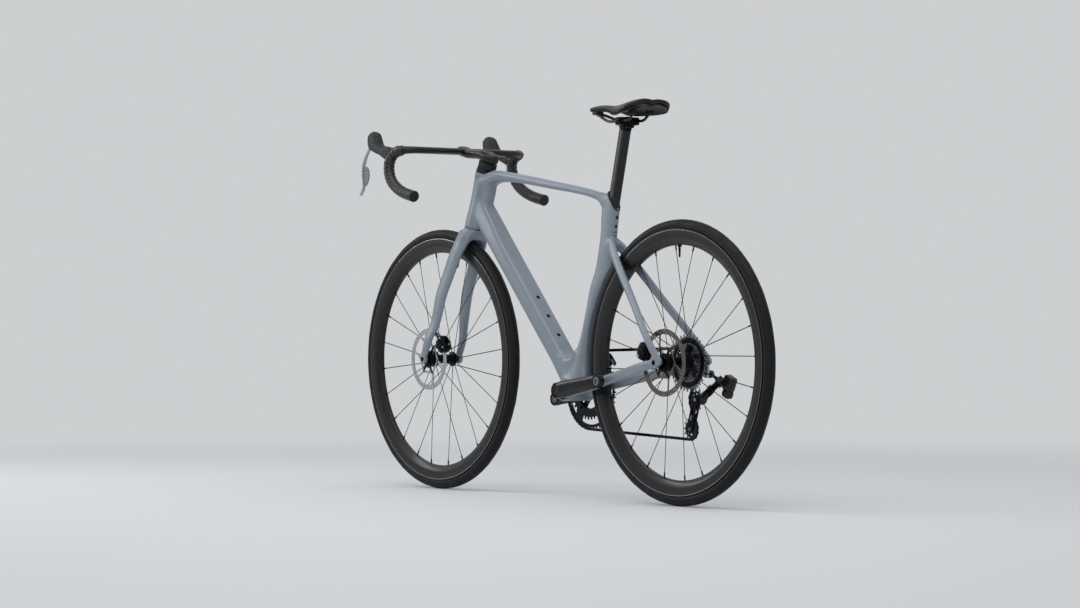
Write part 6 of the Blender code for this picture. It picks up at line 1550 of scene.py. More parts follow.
def makeLever(look):
    half = look["lever"] / 2
    plan = ((0.004, 0.004, 0.0032, half), (0.012, -0.008, 0.0034, half), (0.0255, -0.026, 0.0030, half * 1.1),
            (0.0360, -0.050, 0.0026, half * 1.15), (0.0370, -0.078, 0.0024, half * 1.15),
            (0.0350, -0.102, 0.0024, half * 1.05), (0.0400, -0.112, 0.0023, half),
            (0.0500, -0.124, 0.0021, half * 0.8))
    points = np.array([leverPivot + spot(x, 0, z) for x, z, _, _ in plan])
    way = units(np.gradient(points, axis=0))
    sections = [(point, squareTo(w) * thin, wide * left, 2.5)
                for point, w, (_, _, thin, wide) in zip(points, way, plan)]
    blade = lofted(sections, 80, 28, soft=True)
    boss = rod(leverPivot - half * left, leverPivot + half * left, look["leverBoss"], 32)
    reach = look["pinReach"] * left
    pin = rod(leverPivot - reach, leverPivot + reach, look["pin"], 20)
    return blade, boss, pin


def makePaddle():
    outline = np.array([(0.0305, -0.052), (0.0315, -0.078), (0.0300, -0.098), (0.0240, -0.102),
                        (0.0120, -0.088), (0.0080, -0.072), (0.0110, -0.058), (0.0200, -0.050)])
    return plate([softened(outline, 4.0 * mm, 5)], 2.8 * mm, leverPivot, 0.6 * mm)


def makeControls(look):
    hood = makeHood(look)
    mirror = hood.copy()
    mirror.transform(Matrix.Diagonal((1, -1, 1, 1)))
    mirror.flip_normals()
    for side, shape in (("left", hood), ("right", mirror)):
        dress("hood" + side.capitalize(), shape, hoodRubber, "steering", ["hood_" + side],
              sharp=55, bevel=0.0006)
    parts = [*makeLever(look), makePaddle()]
    for side in ("left", "right"):
        blade, boss, pin, paddle = parts if side == "left" else [mirroredPart(part) for part in parts]
        word, lever, shifter = side.capitalize(), "brake_lever_" + side, "shift_paddle_" + side
        dress("leverBlade" + word, blade, leverFinish, lever, [lever], sharp=85)
        dress("leverBoss" + word, boss, blackAlloy, lever, bevel=0.0005)
        dress("leverPin" + word, pin, boltSteel, lever)
        dress("shiftPaddle" + word, paddle, paddlePlastic, shifter, [shifter])


# Satin lever blade under a clear anodic skin, and its grey nylon paddle
leverFinish = plainFinish("clear_anodised_lever", {
    "colour": "#d3d5d8", "shade": "#b9bcc0", "patch": 8 * mm, "roughness": (0.40, 0.50),
    "grain": 0.5 * mm, "depth": 0.001 * mm}, Metallic=1.0)
paddlePlastic = plainFinish("grey_nylon_paddle", {
    "colour": "#5a5d61", "shade": "#6a6d71", "patch": 8 * mm, "roughness": (0.36, 0.46),
    "grain": 0.5 * mm, "depth": 0.005 * mm})
makeHeadStack(cockpitLook)
makeStem(cockpitLook)
makeBar(cockpitLook)
makeControls(cockpitLook)
print("cockpit ready")


# Saddle: thin pad on a moulded shell, two rails and the clamp on the post

saddleLook = {"noseReach": 130.3 * mm, "railLift": 21.4 * mm, "setback": 8.2 * mm,
              "padDepth": 9 * mm, "shell": 3.4 * mm, "rail": 3.5 * mm, "railHalf": 22 * mm}
saddlePlan = (  # along from the nose, half width, crown and edge above the rails, dip in the middle
              (0.000, 0.0070, 0.0370, 0.0350, 0.0000), (0.005, 0.0122, 0.0395, 0.0362, 0.0000),
              (0.016, 0.0165, 0.0415, 0.0372, 0.0000), (0.057, 0.0205, 0.0445, 0.0380, 0.0015),
              (0.090, 0.0245, 0.0422, 0.0345, 0.0035), (0.110, 0.0290, 0.0415, 0.0285, 0.0042),
              (0.145, 0.0440, 0.0430, 0.0255, 0.0055), (0.180, 0.0610, 0.0460, 0.0265, 0.0055),
              (0.209, 0.0690, 0.0490, 0.0300, 0.0050), (0.230, 0.0600, 0.0500, 0.0380, 0.0045),
              (0.238, 0.0500, 0.0490, 0.0415, 0.0035), (0.241, 0.0430, 0.0485, 0.0435, 0.0030))


def saddleRings(look, share, depth, rows):
    # Height falls from the crown with the 2.6th power of the way to the edge, and dips by a bell
    # curve over the middle channel. The depth goes down and about a third as much inwards, and is
    # least at the nose.
    inward = 0.35
    plan = np.array(saddlePlan)
    runs = np.linspace(0, plan[-1, 0], rows)
    depth = np.outer(0.55 + 0.45 * np.clip(runs / 0.11, 0, 1), depth)
    data = glide(runs, plan[:, 0], plan[:, 1:])
    half, top, edge, dip = (data[:, k:k + 1] for k in range(4))
    tip = post(postLook["top"])[0] + look["noseReach"]
    rails = post(postLook["top"])[2] + look["railLift"]
    sag = (top - edge) * np.abs(share) ** 2.6 + dip * np.exp(-(share * half / 0.013) ** 2)
    x = np.broadcast_to(tip - runs[:, None], sag.shape)
    return np.stack([x, share * (half - depth * inward), rails + top - sag - depth], -1)


def padGrid(look):
    # Across the top from edge to edge, round the lip and back underneath
    rows, lip = 120, 0.93
    top = np.sin(np.linspace(-math.pi / 2, math.pi / 2, 61)) * lip
    depth = look["padDepth"]
    roll = np.linspace(0, math.pi, 11)[1:-1]
    over = saddleRings(look, top, np.zeros(61), rows)
    side = saddleRings(look, lip + (1 - lip) * np.sin(roll), depth * (1 - np.cos(roll)) / 2, rows)
    under = saddleRings(look, top[::-1] * 0.995, np.full(61, depth), rows)
    roll = roll[::-1]
    other = saddleRings(look, -(lip + (1 - lip) * np.sin(roll)), depth * (1 - np.cos(roll)) / 2, rows)
    return np.concatenate([over, side, under, other], axis=1)


def makeSaddle(look):
    cover = dress("saddlePad", closedGrid(padGrid(look)), saddleSkin, "saddle",
                  ["saddle_cover"], sharp=60)
    steps = np.sin(np.linspace(-math.pi / 2, math.pi / 2, 41))
    depth = np.full(41, look["padDepth"] + 0.0009)
    high = saddleRings(look, steps, depth, 90)[1:-4]
    low = saddleRings(look, steps[::-1] * 0.985, depth + look["shell"], 90)[1:-4]
    dress("saddleShell", closedGrid(np.concatenate([high, low], axis=1)), blackNylon, "saddle",
          ["saddle_shell"], bevel=0.0006)
    head = post(postLook["top"])
    z = head[2] + look["railLift"]
    middle = head[0] - look["setback"]
    half = look["railHalf"]
    side = [(middle - 0.0555, half + 0.004, z + 0.019), (middle - 0.0465, half + 0.002, z + 0.009),
            (middle - 0.0355, half, z), (middle + 0.0420, half, z),
            (middle + 0.0640, half * 0.84, z + 0.0060), (middle + 0.0980, half * 0.46, z + 0.0190),
            (middle + 0.1180, half * 0.24, z + 0.0235)]
    path = side + [(x, -y, height) for x, y, height in side[::-1]]
    rails = tube(softened(path, 9 * mm, 6, closed=False), look["rail"], 220, 20, soft=False)
    dress("saddleRails", rails, railSteel, "saddle", ["saddle_rails"])
    # Rear cups and nose cup that hold the rails' ends
    cups = [block((middle - 0.0545, sign * (half + 0.004), z + 0.0180), (0.016, 0.015, 0.0115))
            for sign in (1, -1)]
    cups.append(block((middle + 0.1165, 0, z + 0.0275), (0.022, 0.019, 0.012)))
    dress("railCups", gathered(cups), blackNylon, "saddle")
    centre = spot(middle, 0, z)

    def level(height, long, wide):
        return centre + height * up, long * forward, wide * left, 4.2

    clamp = newMesh("clamp", lofted([
        (head + 0.0003 * postUp, 0.0175 * postForward, 0.010 * left, 2.6),
        (mix(head, centre, 0.45), 0.0165 * forward, 0.0150 * left, 2.9),
        level(-0.0085, 0.0165, 0.0290), level(0.0000, 0.0165, 0.0305), level(0.006, 0.0165, 0.0305),
        level(0.0085, 0.0150, 0.0295), level(0.009, 0.0140, 0.0285)], 40, 48))
    grooves = [rod(centre + spot(-0.03, y, 0.0004), centre + spot(0.03, y, 0.0004), look["rail"] + 0.0006, 32)
               for y in (half, -half)]
    gap = plainBox(centre + 0.0004 * up, (0.05, 0.08, 0.0012))
    dress("saddleClamp", carve(clamp, *grooves, gap), blackAlloy, "seatpost",
          ["saddle_clamp"], bevel=0.0004)
    dress("saddleClampBolt", boltHead(centre + 0.0088 * up, up, 0.0045, 0.0022), boltSteel,
          "seatpost")
    barrel = centre + spot(-0.0105, 0, -0.0130)
    dress("saddleClampBarrel", rod(barrel - 0.0100 * left, barrel + 0.0100 * left, 0.0040, 28), blackAlloy,
          "seatpost")


makeSaddle(saddleLook)
print("saddle ready")


# Chain path: four wheels, and the cage angle at which the chain is a whole number of links

chainLook = {"pitch": 12.7 * mm, "roller": 3.8 * mm, "pin": 1.8 * mm, "plate": 8.0 * mm, "waist": 0.80,
             "outerIn": 1.9 * mm, "outerOut": 2.5 * mm, "innerIn": 1.2 * mm, "innerOut": 1.8 * mm}
teeth = {"outer": 48, "inner": 35, "pulley": 12, "cog": 17}
cogTeeth = (10, 11, 12, 13, 14, 15, 17, 19, 21, 24, 28, 33)
ringY, ringGap, cogStep = -0.0465, 0.0070, 0.0036
guide = rearAxle + spot(-0.008, 0, -0.088)
cageLength = 0.0735


def pitchRadius(count):
    return chainLook["pitch"] / 2 / math.sin(math.pi / count)


def cogY(count):
    return -(0.0660 - cogStep * cogTeeth.index(count))


def pulleyPlaces(cageAngle):
    return guide, guide + cageLength * spot(math.sin(cageAngle), 0, -math.cos(cageAngle))


def chainWheels(cageAngle):
    # Each wheel as x, z, radius, sense of the wrap, teeth and y, in the order the chain meets them
    near, far = pulleyPlaces(cageAngle)
    y = cogY(teeth["cog"])
    return [(bracket[0], bracket[2], pitchRadius(teeth["outer"]), 1, teeth["outer"], ringY),
            (far[0], far[2], pitchRadius(teeth["pulley"]), 1, teeth["pulley"], y),
            (near[0], near[2], pitchRadius(teeth["pulley"]), -1, teeth["pulley"], y),
            (rearAxle[0], rearAxle[2], pitchRadius(teeth["cog"]), 1, teeth["cog"], y)]


def straightRun(a, b):
    # Leaves wheel a and arrives at wheel b, touching both
    run = spot(b[0] - a[0], b[1] - a[1])
    reach = a[2] * a[3] - b[2] * b[3]
    angle = math.atan2(run[1], run[0]) - math.atan2(reach, math.sqrt(run @ run - reach ** 2))
    side = spot(-math.sin(angle), math.cos(angle))
    return spot(a[0], a[1]) + side * a[2] * a[3], spot(b[0], b[1]) + side * b[2] * b[3]


def chainPieces(cageAngle):
    # Arcs and straight runs in turn, with their lengths in links
    wheels = chainWheels(cageAngle)
    runs = [straightRun(wheels[i], wheels[(i + 1) % 4]) for i in range(4)]
    pieces = []
    for i, wheel in enumerate(wheels):
        centre = spot(wheel[0], wheel[1])
        come, go = runs[i - 1][1] - centre, runs[i][0] - centre
        first = math.atan2(come[1], come[0])
        sweep = (first - math.atan2(go[1], go[0])) * wheel[3] % turn
        pieces.append(("arc", wheel, first, sweep * wheel[4] / turn))
        pieces.append(("run", runs[i], (wheel[5], wheels[(i + 1) % 4][5]),
                       np.linalg.norm(runs[i][1] - runs[i][0]) / chainLook["pitch"]))
    return pieces


def solveCage():
    def total(angle):
        return sum(piece[3] for piece in chainPieces(angle))

    middle = math.radians(17.0)
    goal = 2 * round(total(middle) / 2)
    low, high = middle - math.radians(14), middle + math.radians(14)
    rising = total(high) > total(low)
    for _ in range(60):
        middle = (low + high) / 2
        if (total(middle) < goal) == rising:
            low = middle
        else:
            high = middle
    return middle, goal


cageAngle, linkCount = solveCage()


def chainRollers():
    # Centre of every roller, and for each wheel the angle at which one of them sits
    rollers, phases = [], {}
    start = 0.0
    for kind, shape, detail, length in chainPieces(cageAngle):
        index = math.ceil(start - 1e-9)
        while index < start + length - 1e-9 and index < linkCount:
            share = index - start
            if kind == "arc":
                angle = detail - shape[3] * share * turn / shape[4]
                phases.setdefault((shape[4], round(shape[1], 4)), angle)
                rollers.append((shape[0] + shape[2] * math.cos(angle), shape[5],
                                shape[1] + shape[2] * math.sin(angle)))
            else:
                place = mix(shape[0], shape[1], share / length)
                rollers.append((place[0], mix(detail[0], detail[1], share / length), place[1]))
            index += 1
        start += length
    return np.array(rollers), phases


rollers, phases = chainRollers()


def makeChain(look):
    # One inner and one outer plate shape, with waists, set between every two rollers at once
    half, radius = look["pitch"] / 2, look["plate"] / 2
    bend = np.linspace(math.radians(-68), math.radians(68), 7)
    end = np.stack([half + radius * np.cos(bend), radius * np.sin(bend)], -1)
    waist = spot((half * 0.30, radius * look["waist"]), (-half * 0.30, radius * look["waist"]))
    outline = np.concatenate([end, waist, -end, -waist])
    count, corner = len(rollers), len(outline)
    there = np.roll(rollers, -1, axis=0)
    way = units(there - rollers)
    rise = units(np.stack([-way[:, 2], np.zeros(count), way[:, 0]], -1))
    middle = (rollers + there) / 2
    flatPlate = (middle[:, None] + outline[None, :, :1] * way[:, None] + outline[None, :, 1:] * rise[:, None])
    outer = (np.arange(count) % 2 == 0)[:, None, None]
    low = np.where(outer, look["outerIn"], look["innerIn"]) * left
    high = np.where(outer, look["outerOut"], look["innerOut"]) * left
    prism = gridFaces(2, corner)
    faces = prism + [list(range(corner)), list(range(corner, 2 * corner))]
    parts = []
    for side in (1, -1):
        both = np.stack([flatPlate + side * low, flatPlate + side * high], axis=1).reshape(count, -1, 3)
        parts += [(points, faces) for points in both]
    # Rollers between the plates and pin heads outside them
    angle = turn * np.arange(10) / 10
    disc = np.cos(angle)[:, None] * forward + np.sin(angle)[:, None] * up
    for size, reach in ((look["roller"], look["innerIn"]), (look["pin"], look["outerOut"] + 0.0002)):
        rim = rollers[:, None] + size * disc
        ends = np.stack([rim - reach * left, rim + reach * left], axis=1).reshape(count, -1, 3)
        drum = gridFaces(2, 10) + [list(range(10)), list(range(10, 20))]
        parts += [(points, drum) for points in ends]
    dress("chainLinks", gathered(parts), chainSteel, "frame", ["chain"], sharp=30)


# Heights and half widths of a tooth that the chain's rollers sit beside, and of one that it clears
meshingTooth = {"root": 4.4 * mm, "crown": 3.0 * mm, "valley": 3.0 * mm, "flat": 1.1 * mm}
looseTooth = dict(meshingTooth, valley=2.2 * mm, flat=1.9 * mm)
lowTooth = dict(looseTooth, crown=2.4 * mm)


def toothOutline(count, phase, look=meshingTooth):
    # Seven points for each tooth: three in the valley, one on each flank and two on the tip
    radius = pitchRadius(count)
    root, tip = radius - look["root"], radius + look["crown"]
    step = turn / count
    start = phase + step * np.arange(count)[:, None]
    bottom = math.asin(look["valley"] / root)
    flat = look["flat"]
    ways = np.array([-bottom, 0.0, bottom, bottom + 0.12 * step, step / 2 - flat / tip, step / 2 + flat / tip,
                     step - bottom - 0.12 * step])
    reach = np.array([root + 0.0004, root, root + 0.0004, mix(root, tip, 0.42), tip, tip,
                      mix(root, tip, 0.42)])
    return onCircle(reach, start + ways).reshape(-1, 2)


# Cassette: every cog is a plate, and the larger ones have windows
cassetteLook = {"thick": 1.6 * mm, "core": 15.8 * mm, "bore": 13.7 * mm, "arms": 6,
                "window": (22.2 * mm, 43.6 * mm), "lockRing": (12.8 * mm, 15.2 * mm),
                "freehub": (11.9 * mm, 13.4 * mm)}


def makeCassette(look):
    bore = circle(look["bore"], 48)
    bright, dark = [], []
    for index, count in enumerate(cogTeeth):
        meshing = count == teeth["cog"]
        phase = phases[count, round(rearAxle[2], 4)] if meshing else 0.13 * count
        centre = rearAxle + cogY(count) * left
        radius = pitchRadius(count)
        outline = toothOutline(count, phase, meshingTooth if meshing else lowTooth)
        openings = []
        if radius - 0.0135 > look["core"] + 0.006:
            # Arms lean forwards; the windows between them leave a rim of 8 mm under the teeth
            openings = [wedge(look["core"] + 0.0045, radius - 0.0120, turn * k / look["arms"] + 0.16,
                              turn * (k + 1) / look["arms"] - 0.16, 0.35, 6, 2 * mm)
                        for k in range(look["arms"])]
        bright.append(plate([outline, bore] + openings, look["thick"], centre, 0.2 * mm))
        if index < len(cogTeeth) - 1:
            low, high = cogY(count) + look["thick"] / 2, cogY(count) + cogStep - look["thick"] / 2
            dark.append(spunRing([(look["bore"], low), (look["core"], low), (look["core"], high),
                                  (look["bore"], high)], rearAxle, left, 48))
    # Inner face: a black dished ring between the largest cog's teeth and its arms
    large = pitchRadius(cogTeeth[-1])
    face = cogY(cogTeeth[-1]) + look["thick"] / 2
    profile = [(large - 0.0200, face + 0.0001), (large - 0.0075, face + 0.0001),
               (large - 0.0080, face + 0.0009), (large - 0.0100, face + 0.0013),
               (large - 0.0186, face + 0.0013), (large - 0.0196, face + 0.0009)]
    dark.append(spunRing(profile, rearAxle, left, 96))
    # Bright inner ring and six leaning arms of that face
    arms = [wedge(*look["window"], turn * k / look["arms"] + 0.10, turn * (k + 1) / look["arms"] - 0.10,
                  0.42, 8, 2 * mm) for k in range(look["arms"])]
    bright.append(plate([circle(large - 0.0203, 90), circle(0.0186, 48)] + arms, 1.2 * mm,
                        rearAxle + (face + 0.0007) * left, 0.2 * mm))
    dress("cassetteCogs", gathered(bright), cogSteel, "sprockets", ["cassette"], sharp=30)
    dress("cassetteSpacers", gathered(dark), darkCogSteel, "sprockets", sharp=30)
    # Lock ring on the outside face of the smallest cog
    out = cogY(cogTeeth[0]) - look["thick"] / 2
    near, far = look["lockRing"]
    ring = spunRing([(near, out), (far, out), (far, out - 0.0012), (far - 0.0008, out - 0.0018),
                     (near, out - 0.0018)], rearAxle, left, 60)
    dress("cassetteLockRing", ring, blackAlloy, "sprockets")
    near, far = look["freehub"]
    start, end = face + 0.0002, out + 0.0010
    freehub = spunRing([(near, start), (far, start), (far, end), (near, end)], rearAxle, left, 60)
    dress("freehubBody", freehub, blackAlloy, "sprockets", ["freehub_body"])


# Chainrings and cranks
crankLook = {"length": 175 * mm, "wide": 37 * mm, "eye": 17.0 * mm, "thick": 13.5 * mm, "stance": 146 * mm,
             "left": 171.6, "inside": 45.25 * mm, "outside": 65.5 * mm, "circle": 53.5 * mm, "bolt": 4.2 * mm,
             "spider": 4 * mm, "ring": 2 * mm, "pin": 88.5 * mm, "ringBore": 46.2 * mm,
             "window": (67 * mm, 85.5 * mm), "boss": 19 * mm, "cap": 13.5 * mm, "spindle": 14.5 * mm,
             "spindleBore": 11.8 * mm, "insert": 10 * mm, "thread": 6.8 * mm}


def spiderAngles(look):
    return [math.radians(look["left"] + 45 + 90 * index) for index in range(4)]


def makeRings(look):
    angles = spiderAngles(look)
    holes = [circle(look["bolt"] + 0.0003, 24, onCircle(look["circle"], angle)) for angle in angles]
    windows = [wedge(*look["window"], a + 0.18, a + math.pi / 2 - 0.18, 0.0, 14, 4 * mm) for a in angles]
    bore = circle(look["ringBore"], 72)
    outline = toothOutline(teeth["outer"], phases[teeth["outer"], round(bracket[2], 4)])
    outer = plate([outline, bore] + holes + windows, look["ring"], bracket + ringY * left, 0.25 * mm)
    # Shift pins on the inner face of the outer ring
    pins = []
    for x, z in onCircle(look["pin"], np.array(angles) + 0.5):
        foot = bracket + spot(x, ringY + 0.001, z)
        pins.append(rod(foot, foot + 0.0012 * left, 0.0020, 16))
    dress("outerChainring", outer, ringAlloy, "crankset", ["outer_chainring"], sharp=30)
    dress("shiftPins", gathered(pins), boltSteel, "crankset")
    inner = plate([toothOutline(teeth["inner"], 0.0, looseTooth), bore] + holes, look["ring"],
                  bracket + (ringY + ringGap) * left, 0.25 * mm)
    dress("innerChainring", inner, ringAlloy, "crankset", ["inner_chainring"], sharp=30)


def crankArm(look, side, angle):
    way = toward(angle)
    across = squareTo(way)
    inner = look["stance"] / 2 - look["thick"]
    plan = ((-0.010, 0.0520, 1.06, 1.15), (0.030, 0.0530, 1.12, 1.10), (0.090, 0.0565, 1.00, 1.0),
            (0.150, inner, 0.92, 0.96), (look["length"], inner, 0.90, 1.0))
    sections = [(bracket + way * run + side * (y + look["thick"] / 2) * left,
                 across * look["wide"] / 2 * wide,
                 side * look["thick"] / 2 * thick * left, 3.0) for run, y, wide, thick in plan]
    eye = bracket + way * look["length"]
    near, far = eye + side * inner * left, eye + side * (inner + look["thick"]) * left
    end = spun([(look["eye"] - 0.0006, 0), (look["eye"], 0.0006), (look["eye"], look["thick"] - 0.0006),
                (look["eye"] - 0.0006, look["thick"])], near, side * left, 64)
    arm = carve(newMesh("arm", lofted(sections, 60, 48)), end, operation="UNION")
    # A threaded insert lines the pedal hole
    thread, insert, thick = look["thread"], look["insert"], look["thick"]
    collar = spunRing([(thread, 0), (insert, 0), (insert, thick), (thread, thick)], near, side * left, 48)
    past = side * 0.008 * left
    return carve(arm, rod(near - past, far + past, insert, 48)), collar


def makeCranks(look):
    inside, outside = look["inside"], look["outside"]
    rightAngle = math.radians(look["left"]) + math.pi
    for word, side, angle in (("Left", 1, math.radians(look["left"])), ("Right", -1, rightAngle)):
        arm, collar = crankArm(look, side, angle)
        boss = spun([(look["boss"] - 0.0006, inside), (look["boss"], inside + 0.0006),
                     (look["boss"], outside - 0.0012), (look["boss"] - 0.0012, outside)],
                    bracket, side * left, 72)
        arm = carve(arm, boss, operation="UNION")
        if side == 1:
            bore = rod(bracket + (inside - 0.01) * left, bracket + (outside + 0.02) * left, 0.0151, 60)
            arm = carve(arm, bore)
        dress("crankArm" + word, arm, glossCrank, "crankset", ["crank_" + word.lower()],
              bevel=0.0006)
        dress("pedalThread" + word, collar, boltSteel, "crankset")
        if side == 1:
            cap = spun([(1e-5, outside - 0.0035), (look["cap"], outside - 0.0035),
                        (look["cap"], outside - 0.0012), (look["cap"] - 0.0010, outside - 0.0004),
                        (0.0090, outside - 0.0004), (0.0085, outside - 0.0018),
                        (1e-5, outside - 0.0018)], bracket, left, 60)
            dress("crankCap", cap, blackNylon, "crankset")
    radius, hollow, end = look["spindle"], look["spindleBore"], outside - 0.0045
    spindle = spunRing([(hollow, -0.0500), (radius, -0.0500), (radius, end), (hollow, end)],
                       bracket, left, 60)
    dress("crankSpindle", spindle, blackAlloy, "crankset")
    ringFace = -ringY + look["ring"] / 2 + 0.0003
    arms, bolts = [], []
    for angle in spiderAngles(look):
        tip = toward(angle)
        across = squareTo(tip)
        centre = bracket - (ringFace + look["spider"] / 2) * left
        arms.append(lofted([(centre + tip * reach, across * wide, look["spider"] / 2 * left, 4.0)
                            for reach, wide in ((0.010, 0.0125), (0.035, 0.0085), (0.054, 0.0080),
                                                (0.060, 0.0052))], 26, 32))
        bolt, face = bracket + tip * look["circle"], ringY + ringGap + look["ring"] / 2
        bolts.append(rod(bolt - (ringFace + 0.001) * left, bolt + (face + 0.0012) * left,
                         look["bolt"] - 0.0001, 28))
        bolts.append(boltHead(bolt + (face + 0.0008) * left, left, 0.0046, 0.0012, 0.5))
    dress("crankSpider", gathered(arms), glossCrank, "crankset", bevel=0.0004)
    dress("ringBolts", gathered(bolts), blackAlloy, "crankset")


# Rear derailleur
linkRoot = rearAxle + spot(-0.049, -0.085, -0.043)
linkFall, pinTilt = math.radians(30), math.radians(38)
linkWay = spot(math.cos(linkFall), 0, -math.sin(linkFall))
linkPin = spot(math.sin(linkFall) * math.cos(pinTilt), math.sin(pinTilt),
               math.cos(linkFall) * math.cos(pinTilt))
linkSide = np.cross(linkPin, linkWay)
hangerBolt = rearAxle + spot(-0.008, 0, -0.028)
linkLook = {"length": 38 * mm, "spread": 14 * mm, "wide": 13 * mm, "thick": 3.6 * mm, "ear": 2.4 * mm}


def linkPoint(along=0.0, across=0.0, sideways=0.0):
    return linkRoot + along * linkWay + across * linkPin + sideways * linkSide


def linkBlock(along, across, sideways, rounding=0.3):
    spans = [sorted(pair) for pair in (along, across, sideways)]
    centre = linkPoint(*(sum(pair) / 2 for pair in spans))
    return block(centre, [high - low for low, high in spans], (linkWay, linkPin, linkSide), 7.0, 28, rounding)


def linkDrum(along, sideways, radius, reach):
    return rod(linkPoint(along, -reach, sideways), linkPoint(along, reach, sideways), radius, 28)


def ears(look, base, toward):
    room = look["wide"] / 2 + 0.0006
    made = []
    for side in (1, -1):
        made.append(linkBlock((base + toward * 0.0042, base - toward * 0.0090),
                              (side * room, side * (room + look["ear"])),
                              (-0.0048, look["spread"] + 0.0048), 0.5))
    made.append(linkBlock((base - toward * 0.0052, base - toward * 0.0095),
                          (-room - look["ear"] * 0.9, room + look["ear"] * 0.9),
                          (-0.0046, look["spread"] + 0.0046), 0.4))
    pins = [linkDrum(base, sideways, 0.0018, room + look["ear"] + 0.0003)
            for sideways in (0.0, look["spread"])]
    return made, pins


def makeRearDerailleur(look):
    bolt = hangerBolt
    made, pins = ears(look, 0.0, 1)
    made.append(lofted([
        (bolt - 0.0845 * left, 0.0088 * forward, 0.0088 * up, 2.2),
        (bolt - 0.0880 * left, 0.0075 * forward, 0.0090 * up, 2.2),
        (linkPoint(-0.0050, look["wide"] / 2 + 0.0012, look["spread"] / 2), linkWay * 0.0055,
         linkSide * 0.0085, 3.0)], 18, 32))
    made.append(spun([(0.0088, -0.0812), (0.0095, -0.0818), (0.0095, -0.0918), (0.0088, -0.0930)],
                     bolt, left, 48))
    dress("derailleurKnuckle", gathered(made), glossPlastic, "frame",
          ["rear_derailleur_knuckle"], bevel=0.0003)
    pins.append(boltHead(bolt - 0.0928 * left, -left, 0.0062, 0.0016))
    dress("derailleurKnucklePins", gathered(pins), boltSteel, "frame")
    # The outer link is the deep shell that shields the inner one
    shells = {"outer": 0.0066, "inner": look["thick"] / 2}
    for word, sideways in (("outer", 0.0), ("inner", look["spread"])):
        body = newMesh("link", linkBlock((0.0015, look["length"] - 0.0015),
                                         (-look["wide"] / 2, look["wide"] / 2),
                                         (sideways - shells[word], sideways + look["thick"] / 2), 0.5))
        for along in (0.0, look["length"]):
            body = carve(body, linkDrum(along, sideways, 0.0038, look["wide"] / 2 + 0.0002),
                         operation="UNION")
        for along in (0.0, look["length"]):
            body = carve(body, linkDrum(along, sideways, 0.0021, look["wide"]))
        name = "derailleur_" + word + "_link"
        dress(word + "Link", body, glossPlastic if word == "outer" else blackAlloy, name,
              ["rear_" + name], bevel=0.0004)
    made, pins = ears(look, look["length"], -1)
    inner, outer = 0.0508, 0.0705
    made.append(spun([(0.0108, -inner), (0.0115, -inner - 0.0006), (0.0115, -outer + 0.0030),
                      (0.0098, -outer + 0.0006), (0.0088, -outer)], guide, left, 56))
    reach = linkPoint(look["length"] + 0.0075, 0, look["spread"] / 2)
    made.append(lofted([(guide - 0.0600 * left, 0.0105 * forward, 0.0105 * up, 2.6),
                        (mix(guide - 0.0600 * left, reach, 0.5), 0.0110 * forward, 0.0115 * up, 2.8),
                        (reach, linkPin * 0.0088, linkSide * 0.0110, 3.4)], 24, 32))
    dress("derailleurBody", gathered(made), glossPlastic, "derailleur_body",
          ["rear_derailleur_body"], bevel=0.0003)
    pins.append(boltHead(guide - (outer - 0.0002) * left, -left, 0.0048, 0.0012))
    dress("derailleurBodyPins", gathered(pins), boltSteel, "derailleur_body")


def tilted(centre, size, angle, power=6.0, rounding=0.35):
    ahead = toward(angle)
    return block(centre, size, (ahead, left, np.cross(ahead, left)), power, 40, rounding)


batteryLook = {"size": (0.034, 0.022, 0.036), "motor": (0.030, 0.020, 0.020), "latch": (0.012, 0.015, 0.003),
               "tilt": math.radians(25)}


def makeBattery(look):
    centre = linkRoot + spot(-0.0295, -0.0025, -0.0060)
    body = newMesh("battery", tilted(centre, look["size"], look["tilt"]))
    room = linkLook["wide"] / 2 + linkLook["ear"] + 0.0012
    space = plainBox(linkPoint(0.0049, 0, linkLook["spread"] / 2),
                     (0.0302, 2 * room, linkLook["spread"] + 0.0108), (linkWay, linkPin, linkSide))
    dress("derailleurBattery", carve(body, space), glossPlastic, "frame",
          ["derailleur_battery"], bevel=0.0004)
    # Motor housing under the battery
    housing = tilted(centre + spot(0.0055, 0.001, -0.0245), look["motor"], look["tilt"], 4.5, 0.45)
    dress("derailleurMotor", housing, glossPlastic, "frame")
    latch = tilted(centre + spot(-0.0100, 0, 0.0128), look["latch"], look["tilt"], 5.0, 0.4)
    dress("batteryLatch", latch, blackNylon, "frame")


cageLook = {"plate": 1.6 * mm, "gap": 3.1 * mm, "pulley": 2.0 * mm, "end": 10.5 * mm, "guard": 12.5 * mm,
            "bolt": 2.5 * mm, "head": 4.2 * mm, "bore": 2.8 * mm, "hole": 3.0 * mm, "holeCircle": 12.5 * mm}


def cageOutline(nearRadius, farRadius):
    near, far = pulleyPlaces(cageAngle)
    way = (far - near) / cageLength
    heading = math.atan2(way[2], way[0])
    outline = []
    for centre, radius, middle in ((near, nearRadius, heading + math.pi), (far, farRadius, heading)):
        angle = middle + np.linspace(math.radians(-78), math.radians(78), 15)
        outline.append(flatTo(centre) + onCircle(radius, angle))
    across = squareTo(way)
    # Two slots that lighten the plate, drawn between the pulleys
    windows = []
    for first, last in ((0.26, 0.47), (0.53, 0.74)):
        corners = [near + way * cageLength * share + across * side * 0.0042
                   for share, side in ((first, -1), (last, -1), (last, 1), (first, 1))]
        windows.append(softened([flatTo(corner) for corner in corners], 3 * mm, 5))
    return [np.concatenate(outline)] + windows


